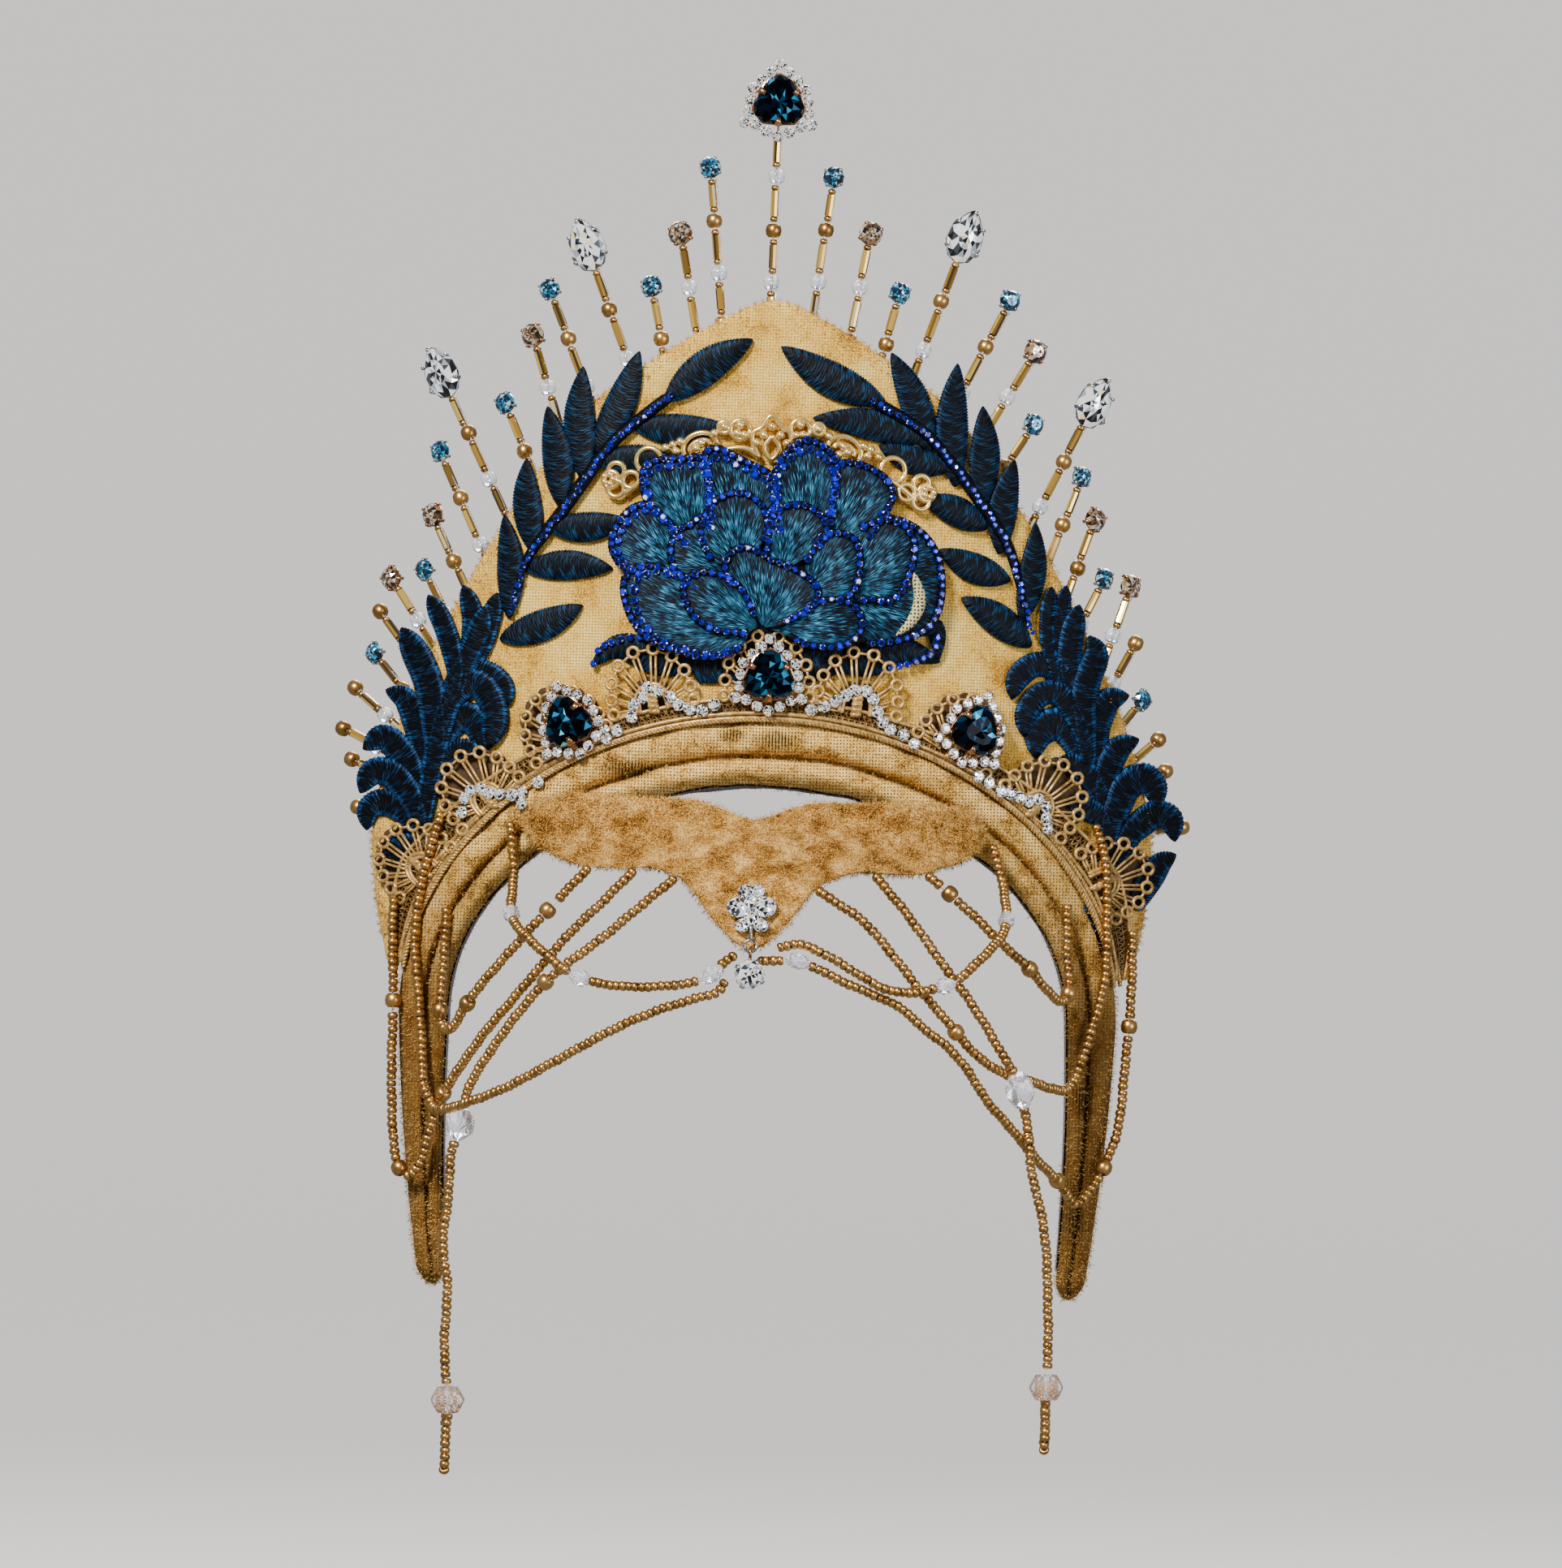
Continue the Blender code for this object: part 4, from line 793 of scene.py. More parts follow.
@dataclass(frozen=True)
class ClearGlass:
    """Pressed clear glass of beads and hanging crystals, slightly milky where it is scratched."""

    name: str
    tint: str
    rough: float

    def make(self) -> Finish:
        """Makes the material: see-through, with a faint rainbow coat on its facets.

        Returns:
            The material.
        """
        made, shader, add = start_material(self.name, {
            "Base Color": self.tint, "Roughness": self.rough, "IOR": 1.52, "Transmission Weight": 0.86,
            "Coat Weight": 0.6, "Coat Roughness": 0.05,
        })
        cloud = add("TexNoise", grain(add("TexCoord", {}, "Object"), 2.4), "Fac")
        stops = ((0.35, "#F4FAFF"), (0.5, self.tint), (0.65, "#FFF3FA"))
        feed(shader, {"Base Color": add("ValToRGB", {0: cloud}, stops=stops)})
        return made


@dataclass(frozen=True)
class Net:
    """Stiff embroidery net: pale threads round small dark cells."""

    name: str
    thread: str
    cell: str
    size: float = 0.9

    def make(self) -> Finish:
        """Makes the material: the threads stand out from what shows through the cells.

        Returns:
            The material.
        """
        made, shader, add = start_material(self.name, {"Roughness": 0.85, "Specular IOR Level": 0.1})
        flat = add("Mapping", {"Vector": add("TexCoord", {}, "Object"), "Scale": (1, 0, 1)})
        inputs = {"Vector": flat, "Scale": 1 / (self.size * MM), "Randomness": 0.35}
        cells = add("TexVoronoi", inputs, "Distance", feature="DISTANCE_TO_EDGE")
        stops = ((0.14, self.thread), (0.26, self.cell))
        feed(shader, {"Base Color": add("ValToRGB", {0: cells}, stops=stops)})
        return made


class Palette:
    """Every finish of the diadem, each made once."""

    def __init__(self) -> None:
        """Makes the materials."""
        # Cotton velvet, old gold: broad crushed patches where the stiffener keeps the pile flat, painted pale
        # as sheen
        self.panel_velvet = Velvet(
            "old_gold_velvet_panel", "#9C6A20", "#F4C050", "#FFE288", 12.0, 0.75, 1.9
        ).make()
        # The same velvet on wadding: smaller crushed patches with painted sheen and painted shade in the
        # creases, and the ground weave in the stretched parts
        self.band_velvet = Velvet(
            "old_gold_velvet_band", "#5E390E", "#F0BC5C", "#FFE094", 6.0, 0.8, 2.4
        ).make()
        # Longer pile on the brow: painted rust-brown shade in the hollows, painted sheen on the pale tips
        self.peak_velvet = Velvet(
            "old_gold_velvet_brow", "#482606", "#A26E28", "#F0C678", 7.0, 0.7, 0.6
        ).make()
        # Wool felt, pressed: a flat grey edge
        self.lining = Velvet("grey_felt_lining", "#5C5C62", "#777880", "#8E8F98", 4.0, 0.8, 0.1).make()
        # Velvet pile, cut: soft tips that break the outline
        self.nap = Metal("old_gold_velvet_pile", "#D6A550", "#6A420E", 0.9, 3.2, 0.0).make()
        # Rayon thread, stitched flat: nearly black with blue glints
        self.navy = Satin(
            "navy_satin_stitch", "#010204", "#030A16", "#0E3858", "#061E38", "#134E7C", 0.5, 0.28
        ).make()
        # Rayon thread over a raised rim: the fronds' edges catch the light
        self.border = Satin(
            "navy_satin_fronds", "#010204", "#020812", "#0A2C50", "#0A2E5A", "#1A62A0", 0.56, 0.32, 0.72
        ).make()
        # Rayon thread, nearly black: bright teal strokes of painted highlight that fade to a dark rim
        self.teal = Satin(
            "teal_satin_stitch", "#010207", "#08284A", "#56BCE4", "#020812", "#124A76", 0.2, 0.22
        ).make()
        # Rayon cord, couched: a dull dark line under the stones
        self.cord = Satin("navy_satin_cord", "#010204", "#02050C", "#08182C", "#02050C", "#08182C").make()
        # Cotton net, stiffened: a pale patch with dark cells
        self.net = Net("beige_embroidery_net", "#D8CC98", "#4A4A30").make()
        # Metallised thread, twisted: gold with brown hollows, softly shiny
        self.lace = Metal("gold_lurex_lace", "#EBC47A", "#8E662C", 0.36, 1.1, 0.45).make()
        self.lace_dark = Metal("gold_lurex_net", "#A47C3A", "#3E2A10", 0.45, 0.8, 0.4).make()
        # A matt brown sheet behind the lace: painted shade in its hollows and between its threads
        self.dark_shade_sheet = Metal("brown_shade_behind_lace", "#5C401C", "#1E1206", 0.85, 0.5, 0.0).make()
        # Brass, stamped and lacquered: pale and bright
        self.brass = Metal("stamped_brass_filigree", "#FFE49C", "#E6BE6A", 0.24, 2.0, 0.85).make()
        # Glass, metal-plated: warm gold beads, some of them rubbed darker
        self.bead = Metal("antique_gold_beads", "#D4A660", "#94682E", 0.32, 1.5).make()
        # Nickel silver and rose gold plate, pressed: hard sparks round the stones
        self.silver = Metal("nickel_silver_cups", "#D9DCE0", "#7A7D82", 0.2, 0.9).make()
        self.rose = Metal("rose_gold_setting", "#DDA67A", "#7E4A2C", 0.22, 0.9).make()
        # Glass, lined with gold: each flat side painted bright or brown as a reflection
        self.bugle = self.foiled(
            "gold_lined_bugles", (0.0, 0.16, 0.4, 0.72, 0.93),
            ("#4A340A", "#8E6A1C", "#C89A34", "#EFC85C", "#FFF4B4"), 0.7, 0.1,
        )
        # Lead glass, cut and foiled: each stone glitters in its own blue, white or brown, its facets painted
        # as reflections with a painted glow
        self.sapphire = self.foiled(
            "sapphire_rhinestones", (0.0, 0.36, 0.62, 0.86, 0.955),
            ("#01012C", "#020288", "#0404C8", "#1C2CFF", "#FFFFFF"), 0.5, 0.22, 0.5,
        )
        self.crystal = self.foiled(
            "clear_rhinestones", (0.0, 0.2, 0.34, 0.5, 0.97),
            ("#020304", "#3C4248", "#A8AEB4", "#FFFFFF", "#FFE9A0"), 0.7, 0.55,
        )
        self.navy_stone = self.foiled(
            "montana_blue_stones", (0.0, 0.5, 0.74, 0.9, 0.965),
            ("#000206", "#020C18", "#052E48", "#1286B6", "#58D0F0"), 0.4, 0.2, 0.06,
        )
        self.chaton = self.foiled(
            "capri_blue_chatons", (0.0, 0.3, 0.55, 0.76, 0.91),
            ("#020C18", "#06304E", "#0E6C98", "#2AA8D4", "#C6F2FF"), 0.6, 0.15,
        )
        self.topaz = self.foiled(
            "champagne_chatons", (0.0, 0.25, 0.5, 0.75, 0.92),
            ("#1A0F06", "#6A4E34", "#B8946A", "#E6D2B4", "#FFFFFF"), 0.65, 0.05,
        )
        # Soda glass, pressed: light comes through, with small bright spots
        self.clear = ClearGlass("clear_glass_beads", "#EEF6FF", 0.03).make()
        self.frost = ClearGlass("rainbow_coated_crystals", "#F2F4FF", 0.08).make()
        # Nylon thread, drawn: a clear glint between the beads
        self.nylon = ClearGlass("nylon_beading_thread", "#F4F4F2", 0.2).make()

    @staticmethod
    def foiled(name: str, places: Sequence[float], codes: Sequence[str], *gloss: float) -> Finish:
        """Makes a foiled glass from the places and colours of its shades and its gloss."""
        return FoiledGlass(name, tuple(zip(places, codes)), *gloss).make()


# Small shapes that are modelled once


class ShapeBox:
    """The beads, stones and settings, each modelled once with a millimetre as its unit."""

    def __init__(self) -> None:
        """Models every shape."""
        self.seed = self.torus_bead(0.76, 0.56, 10, 6, 1.55)
        self.fine_seed = self.torus_bead(0.62, 0.44, 8, 5, 1.5)
        self.round = self.torus_bead(1.1, 0.95, 14, 9, 1.8)
        self.bugle = self.tube_bead(1.05, 1.0)
        self.granule = self.ball(0.5, 8, 5)
        self.flat_back = self.cut_stone(8, 0.55, 0.5, 0.0)
        self.brilliant = self.cut_stone(12, 0.5, 0.55, 0.35)
        self.bicone = self.double_cone(6, 0.42)
        self.rondelle = self.double_cone(9, 0.62)
        self.cup = self.dish(10)
        self.prong = self.claw()
        self.tuft = self.pile_tuft()

    @staticmethod
    def draw_out(piece: Piece, rise: float, size: float, turn: float = 0.0) -> None:
        """Extrudes the end face of a piece along Z, then resizes and turns it.

        Args:
            piece: The mesh object.
            rise: How far, below zero for the lower end.
            size: The new face's share of the old one.
            turn: How far it turns, in radians.
        """
        way = math.copysign(1, rise)
        edit(
            piece, lambda face: face.normal.z * way > FACES_ALONG,
            lambda: bpy.ops.mesh.extrude_region_move(),
            lambda: bpy.ops.transform.translate(value=(0, 0, rise)),
            lambda: bpy.ops.transform.resize(value=(size, size, 1)),
            lambda: bpy.ops.transform.rotate(
                value=turn, orient_axis="Z", orient_type="GLOBAL", center_override=(0, 0, 0)
            ),
        )

    @staticmethod
    def facet(piece: Piece, chosen: Callable[[Face], bool]) -> None:
        """Splits the chosen four-sided faces into triangular facets."""
        edit(piece, chosen, lambda: bpy.ops.mesh.quads_convert_to_tris(quad_method="SHORTEST_DIAGONAL"))

    @staticmethod
    def torus_bead(major: float, minor: float, sides: int, rows: int, stretch: float) -> Shape:
        """Models a bead with a hole along +Z, barrel-shaped from a ring.

        Args:
            major: The ring's radius.
            minor: The radius of its section.
            sides: Faces round the bead.
            rows: Faces round the section.
            stretch: How much longer than a plain ring it is.

        Returns:
            The shape.
        """
        piece = added(
            bpy.ops.mesh.primitive_torus_add, major_radius=major, minor_radius=minor, major_segments=sides,
            minor_segments=rows,
        )
        edit(piece, everything, lambda: bpy.ops.transform.resize(value=(1, 1, stretch)))
        return Shape.taken(piece, True)

    @staticmethod
    def tube_bead(radius: float, length: float) -> Shape:
        """Models a bugle: a tube along +Z with a hole at each end.

        Args:
            radius: Its radius.
            length: Its length.

        Returns:
            The shape.
        """
        piece = added(bpy.ops.mesh.primitive_cylinder_add, vertices=10, radius=radius, depth=length)
        for end in (1, -1):
            edit(
                piece, lambda face, end=end: face.normal.z * end > FACES_ALONG,
                lambda: bpy.ops.mesh.inset(thickness=radius * 0.4),
                lambda end=end: bpy.ops.transform.translate(value=(0, 0, -end * length * 0.12)),
            )
        return Shape.taken(piece, False)

    @staticmethod
    def ball(radius: float, sides: int, rows: int) -> Shape:
        """Models a small round grain, a little flattened at its back.

        Args:
            radius: Its radius.
            sides: Faces round it.
            rows: Faces from its front to its back.

        Returns:
            The shape.
        """
        piece = added(bpy.ops.mesh.primitive_uv_sphere_add, segments=sides, ring_count=rows, radius=radius)
        edit(piece, lambda face: face.center.z < 0, lambda: bpy.ops.transform.resize(value=(1, 1, 0.6)))
        return Shape.taken(piece, True)

    @staticmethod
    def cut_stone(sides: int, table: float, crown: float, pavilion: float) -> Shape:
        """Models a cut stone of radius 1 facing +Z, with a table and triangular facets round it.

        Args:
            sides: Sides of the girdle and of the table.
            table: The table's radius.
            crown: The height from the girdle to the table.
            pavilion: The depth below the girdle.

        Returns:
            The shape.
        """
        girdle = 0.16
        piece = added(bpy.ops.mesh.primitive_cylinder_add, vertices=sides, radius=1.0, depth=girdle)
        middle = (1 + table) / 2 + 0.06
        for size, rise in ((middle, crown * 0.6), (table / middle, crown * 0.4)):
            ShapeBox.draw_out(piece, rise, size, math.pi / sides)
        if pavilion:
            ShapeBox.draw_out(piece, -pavilion, 0.6)
        ShapeBox.facet(piece, lambda face: len(face.vertices) == 4 and face.center.z > girdle / 2 + 0.01)
        if pavilion:
            inset, poke = bpy.ops.mesh.inset, bpy.ops.mesh.poke
            edit(piece, upper, lambda: inset(thickness=table * 0.42), lambda: poke(offset=0.035))
            ShapeBox.facet(piece, upper)
        return Shape.taken(piece, False)

    @staticmethod
    def double_cone(sides: int, belt: float) -> Shape:
        """Models a faceted bead of radius 1 and length 2 along +Z, widest at its belt.

        Args:
            sides: Facets round it.
            belt: The radius of its two ends.

        Returns:
            The shape.
        """
        piece = added(bpy.ops.mesh.primitive_cylinder_add, vertices=sides, radius=1.0, depth=0.2)
        for end in (1, -1):
            for size, reach in (((1 + belt) / 2, 0.5), (belt / ((1 + belt) / 2), 0.4)):
                ShapeBox.draw_out(piece, end * reach, size, math.pi / sides)
        ShapeBox.facet(piece, lambda face: len(face.vertices) == 4)
        return Shape.taken(piece, False)

    @staticmethod
    def dish(sides: int) -> Shape:
        """Models the cup behind a stone of radius 1: a tapered dish with a rim.

        Args:
            sides: Faces round it.

        Returns:
            The shape.
        """
        piece = added(
            bpy.ops.mesh.primitive_cone_add, vertices=sides, radius1=0.62, radius2=1.04, depth=0.62,
            location=(0, 0, -0.3), end_fill_type="NGON",
        )
        inset, translate = bpy.ops.mesh.inset, bpy.ops.transform.translate
        edit(piece, upper, lambda: inset(thickness=0.1), lambda: translate(value=(0, 0, -0.14)))
        return Shape.taken(piece, True)

    @staticmethod
    def pile_tuft() -> Shape:
        """Models a tuft of pile: a thin point of length 1 along +Z that leans to one side.

        Returns:
            The shape.
        """
        piece = added(
            bpy.ops.mesh.primitive_cone_add, vertices=3, radius1=0.12, depth=1.0, location=(0, 0, 0.45),
            end_fill_type="NOTHING",
        )
        edit(piece, everything, lambda: bpy.ops.transform.rotate(
            value=0.2, orient_axis="Y", orient_type="GLOBAL", center_override=(0, 0, 0)
        ))
        return Shape.taken(piece, True)

    @staticmethod
    def claw() -> Shape:
        """Models a claw that stands at x = 1 and bends over the stone's edge.

        Returns:
            The shape.
        """
        foot = (1.04, 0, -0.05)
        piece = added(bpy.ops.mesh.primitive_cube_add, size=1, location=foot)
        resize = bpy.ops.transform.resize
        edit(piece, everything, lambda: resize(value=(0.13, 0.26, 0.56), center_override=foot))
        edit(
            piece, upper,
            lambda: bpy.ops.mesh.extrude_region_move(),
            lambda: bpy.ops.transform.translate(value=(-0.16, 0, 0.14)),
            lambda: resize(value=(1.3, 0.7, 1)),
        )
        return Shape.taken(piece, True)


@dataclass(frozen=True)
class Kit:
    """What every sub-assembly works with."""

    finishes: Palette
    shapes: ShapeBox


def set_stone(heap: Heap, kit: Kit, place: Matrix, radius: float, stone: Finish, metal: Finish,
              claws: int = 4) -> None:
    """Adds a round cut stone in its cup, held by claws.

    Args:
        heap: The mesh that it goes into.
        kit: Finishes and shapes.
        place: Where the girdle's middle goes, with the table towards its +Z.
        radius: The stone's radius.
        stone: The stone's material.
        metal: The cup's material.
        claws: How many claws hold it.
    """
    sized = place @ Matrix.Scale(radius, 4)
    heap.place(kit.shapes.brilliant, sized, stone)
    heap.place(kit.shapes.cup, sized, metal)
    heap.place(kit.shapes.prong, [sized @ spin(360 * (k + 0.5) / claws) for k in range(claws)], metal)


def crumple(points: Array, dents: Sequence[Sequence[float]]) -> Array:
    """Gives each point an uneven height, as crushed cloth has.

    Args:
        points: Points in millimetres, one in each row.
        dents: For each set of dents its width, its depth and where in the noise it comes from.

    Returns:
        A height for each point.
    """
    height = np.zeros(len(points))
    for size, depth, seed in dents:
        shift = Vector((seed, seed * 0.7, -seed))
        height += depth * np.array([noise.noise(Vector(p) / size + shift) for p in points])
    return height


def grown(piece: Piece, name: str, kit: Kit, count: int, length: float,
          where: Callable[[Array], Array]) -> Piece:
    """Grows short pile out of a velvet piece.

    Args:
        piece: The velvet piece.
        name: The pile's name.
        kit: Finishes and shapes.
        count: How many tufts grow.
        length: How long they are.
        where: Says at which places, in millimetres, one may grow.

    Returns:
        The pile as one mesh object.
    """
    spots, fronts = rows_of(piece.data.polygons, "center") / MM, rows_of(piece.data.polygons, "normal")
    random = np.random.default_rng(count)
    heap = Heap(name)
    places = []
    for k in random.choice(np.flatnonzero(where(spots)), count):
        way = Vector(fronts[k]) + Vector(random.normal(0, 0.45, 3)) + Vector((0, 0, -0.25))
        root = Matrix.Translation(Vector(spots[k]) + Vector(random.normal(0, 0.35, 3)))
        stretch = Matrix.Diagonal((1, 1, length * random.uniform(0.6, 1.25), 1))
        places.append(root @ way.to_track_quat("Z", "Y").to_matrix().to_4x4() @ stretch)
    heap.place(kit.shapes.tuft, places, kit.finishes.nap)
    return heap.build()


# Velvet pieces


@dataclass
class HeadBand:
    """The padded velvet band over the head, with its two front rolls and its two long sides."""

    kit: Kit
    depth: float = 24.0
    setback: float = 10.0
    leg: float = 68.0
    turn_in: float = 4.0
    end_share: float = 0.55
    arch_length: float = 118.0
    dents: Sequence[Sequence[float]] = ((15, 0.9, 3), (4.6, 0.55, 9))
    pulls: Sequence[Sequence[float]] = ((3, 0.4, 5),)
    # Painted shade: the sides darken from this height downwards, over this length
    shade_top: float = -14.0
    shade_fade: float = 46.0
    rolls: Line = (
        (1, 0.72), (1.03, -0.3), (0.99, -0.78), (0.76, -0.98), (0.42, -1.02), (0.1, -0.92), (-0.08, -0.6),
        (-0.28, -0.86), (-0.62, -0.9), (-0.96, -0.55), (-1, 0.1), (-1, 0.68), (-0.45, 1), (0.5, 1),
    )
    worn: tuple[tuple[float, float, float, float], ...] = (
        (-32.6, 3.3, 7.5, 3), (3.6, 11.4, 7, 2.8), (-8, 12.4, 4, 2), (-78, -83, 3.2, 5.5), (-77, -98, 3, 6),
        (81, -76, 3, 4.6), (80, -106, 2.6, 5.5),
    )

    def surface(self, u: Array, v: Array) -> Mapped:
        """Gives the band's points, how worn each is and how much painted shade it takes.

        Args:
            u: Places round its section, from 0 to 1.
            v: Places from one end to the other.

        Returns:
            The points and the values kept on them.
        """
        reach = self.arch_length + self.leg
        where = (2 * v - 1) * reach
        down = np.clip((np.abs(where) - self.arch_length) / self.leg, 0.0, 1.0)
        angle = 90 * (1 - np.clip(np.abs(where) / self.arch_length, 0.0, 1.0))
        inner = arch(angle, HEAD_HALF_WIDTH, BAND_RISE)
        outer = arch(angle, OUTER_HALF_WIDTH, OUTER_RISE)
        centre = (inner + outer) / 2
        out = outer - inner
        half = np.linalg.norm(out, axis=-1, keepdims=True) / 2
        out = out / (2 * half)
        centre[:, 0] -= self.turn_in * down**2
        centre[:, 1] -= self.leg * down
        share = 1 - (1 - self.end_share) * down
        close = np.sqrt(np.clip((1 - down) / 0.06, 0.0, 1.0))
        section = smooth_line([*self.rolls, self.rolls[0]], 8)
        around = np.linspace(0, 1, len(section))
        across = np.interp(u, around, section[:, 0]) * half[:, 0] * share * close
        back = np.interp(u, around, section[:, 1]) * self.depth / 2 * share * close
        sign = np.where(where < 0, -1.0, 1.0)
        x = (centre[:, 0] + out[:, 0] * across) * sign
        z = centre[:, 1] + out[:, 1] * across
        y = self.setback + back + wrap_depth(x)
        points = np.stack([x, y, z], axis=-1)
        lean = np.stack([where * 0.35, points[:, 1], across + half[:, 0]], axis=-1)
        dents = crumple(points, self.dents) + crumple(lean, self.pulls)
        points[:, 1] -= dents * close
        points[:, 2] += 0.6 * dents * close
        marks = np.zeros(len(u))
        for spot_x, spot_z, wide, tall in self.worn:
            apart = np.hypot((x - spot_x) / wide, (z - spot_z) / tall)
            marks = np.maximum(marks, np.clip(1.7 - 1.5 * apart, 0, 1))
        # Painted shade: darker in the crease between the two rolls and towards the lower ends of the sides
        crease = np.exp(-(((u - 6 / len(self.rolls)) / 0.022) ** 2))
        lower_shade = np.clip((self.shade_top - z) / self.shade_fade, 0, 1)
        soiled = np.maximum(0.88 * lower_shade, 0.75 * crease)
        return points, {"worn": marks * (back < 0), "soiled": soiled}

    def inside(self, u: Array, v: Array) -> Mapped:
        """Gives the lining's points, on the side of the band that rests on the head.

        Args:
            u: Places from its front to its back.
            v: Places from one end to the other.

        Returns:
            The points and the values kept on them.
        """
        points, _ = self.surface(0.655 + 0.17 * u, 0.02 + 0.96 * v)
        away = on_circle(180 * (0.5 - (v - 0.5) * 0.999))
        points[:, [0, 2]] -= away * 0.5
        return points, {}

    def build(self) -> None:
        """Builds the band, its lining edge and the ends of its sides."""
        made = self.kit.finishes
        band = mapped_grid("head_band_velvet", 72, 320, self.surface, made.band_velvet)
        fuzz = grown(band, "head_band_pile", self.kit, 20000, 0.95, lambda spots: spots[:, 1] < 52)
        band = joined("head_band_velvet", [band, fuzz])
        deliver(band, "velvet", "head_band")
        lining = mapped_grid("head_band_lining", 10, 160, self.inside, made.lining)
        deliver(lining, "velvet")


CROWN_EDGE = (
    (0, 118.5), (12, 114), (27, 105), (45, 91.5), (64, 65), (79, 38), (89.5, 14.5), (96, -10), (95, -30),
    (91.5, -46),
)


def crown_edge(share: Array) -> Array:
    """Gives the crown's outer edge.

    Args:
        share: From 0 at the left tip over the apex at 0.5 to 1 at the right tip.

    Returns:
        Points (x, z).
    """
    half = smooth_line([(-12, 114), *CROWN_EDGE], 12)[12:]
    flat = at_distance(half, np.abs(2 * share - 1) * distances(half)[-1])
    flat[:, 0] *= np.where(share < 0.5, -1.0, 1.0)
    return flat


@dataclass
class CrownPanel:
    """The tall stiff panel: velvet over buckram, turned round its edge and flat behind."""

    kit: Kit
    thickness: float = 3.0
    tip_angle: float = 9.0
    gap: float = 0.35
    dents: Sequence[Sequence[float]] = ((22, 0.3, 2),)

    def surface(self, u: Array, v: Array) -> Mapped:
        """Gives the panel's points.

        Args:
            u: Places up the front and down the back, from 0 to 1.
            v: Places from left to right.

        Returns:
            The points and the values kept on them.
        """
        high = crown_edge(v)
        angle = 180 - self.tip_angle - (180 - 2 * self.tip_angle) * v
        low = band_edge(angle, np.full(len(v), self.gap))
        front = u < 0.5
        climb = np.clip(np.where(front, u / 0.46, (1 - u) / 0.46), 0.0, 1.0)
        flat = low + (high - low) * climb[:, None]
        round_over = np.clip((u - 0.5) / 0.04, -1.0, 1.0)
        depth = self.thickness / 2 * (1 + np.sin(round_over * math.pi / 2))
        swell = self.thickness * 0.35 * np.cos(round_over * math.pi / 2)
        out = high - low
        out /= np.maximum(1e-6, np.linalg.norm(out, axis=1, keepdims=True))
        flat = flat + out * (swell * (np.abs(round_over) < 1))[:, None]
        points = np.stack([flat[:, 0], wrap_depth(flat[:, 0]) + depth, flat[:, 1]], axis=-1)
        inside = np.sin(np.pi * np.clip(climb, 0, 1))
        points[:, 1] -= crumple(points, self.dents) * inside
        return points, {}

    def build(self) -> None:
        """Builds the panel."""
        panel = mapped_grid("crown_panel_velvet", 72, 200, self.surface, self.kit.finishes.panel_velvet)
        edge = crown_edge(np.linspace(0.02, 0.98, 600))

        def near_edge(spots: Array) -> Array:
            """Says which places lie by the crown's edge."""
            return np.abs(spots[:, None, [0, 2]] - edge[None]).max(axis=2).min(axis=1) < 1.4

        fuzz = grown(panel, "crown_panel_pile", self.kit, 9000, 1.0, near_edge)
        deliver(joined("crown_panel_velvet", [panel, fuzz]), "velvet", "crown_panel")


PEAK_X = -2.0
PEAK_THICKNESS = 3.0
PEAK_ROWS = (
    (0, -8.6, -40.4), (4, -7.6, -38.5), (9, -5.6, -33.5), (14, -4.2, -27), (19, -3.8, -22.5),
    (26, -3.8, -21), (34, -3.4, -21.2), (42, -3.2, -20.8), (50, -4.6, -18), (57, -7, -14.5),
)


@dataclass
class ForeheadPeak:
    """The padded velvet band across the brow, with its point and its crushed pile."""

    kit: Kit
    dents: Sequence[Sequence[float]] = ((11, 1, 4), (4.2, 0.55, 7), (1.6, 0.2, 1))

    def surface(self, u: Array, v: Array) -> Mapped:
        """Gives the piece's points.

        Args:
            u: Places down the front and up the back, from 0 to 1.
            v: Places from left to right.

        Returns:
            The points and the values kept on them.
        """
        rows = smooth_line(PEAK_ROWS, 6)
        reach = (2 * v - 1) * PEAK_ROWS[-1][0]
        top = np.interp(np.abs(reach), rows[:, 0], rows[:, 1])
        bottom = np.interp(np.abs(reach), rows[:, 0], rows[:, 2])
        x = reach + PEAK_X
        turn = 2 * np.pi * u
        drop = 0.5 - 0.5 * np.sign(np.cos(turn)) * np.abs(np.cos(turn)) ** 0.8
        z = top + (bottom - top) * drop
        front = np.sin(turn)
        puff = np.sign(front) * np.abs(front) ** 0.45
        lift = PEAK_THICKNESS * (0.5 + 0.62 * puff)
        close = np.sqrt(np.clip((1 - np.abs(2 * v - 1)) / 0.05, 0.0, 1.0))
        z = (top + bottom) / 2 + (z - (top + bottom) / 2) * close
        lift = PEAK_THICKNESS * 0.5 + (lift - PEAK_THICKNESS * 0.5) * close
        points = np.stack([x, drape_depth(x, z) - lift, z], axis=-1)
        dents = crumple(points, self.dents)
        keep = close * np.where(front > 0, 1.0, 0.2)
        points[:, 1] -= dents * keep
        points[:, 2] += 0.5 * dents * keep
        return points, {}

    def build(self) -> None:
        """Builds the forehead piece."""
        peak = mapped_grid("forehead_peak_velvet", 60, 200, self.surface, self.kit.finishes.peak_velvet)
        fuzz = grown(peak, "forehead_peak_pile", self.kit, 16000, 1.15, lambda spots: spots[:, 2] > -100)
        peak = joined("forehead_peak_velvet", [peak, fuzz])
        deliver(peak, "velvet", "forehead_peak")


# Satin-stitched pieces


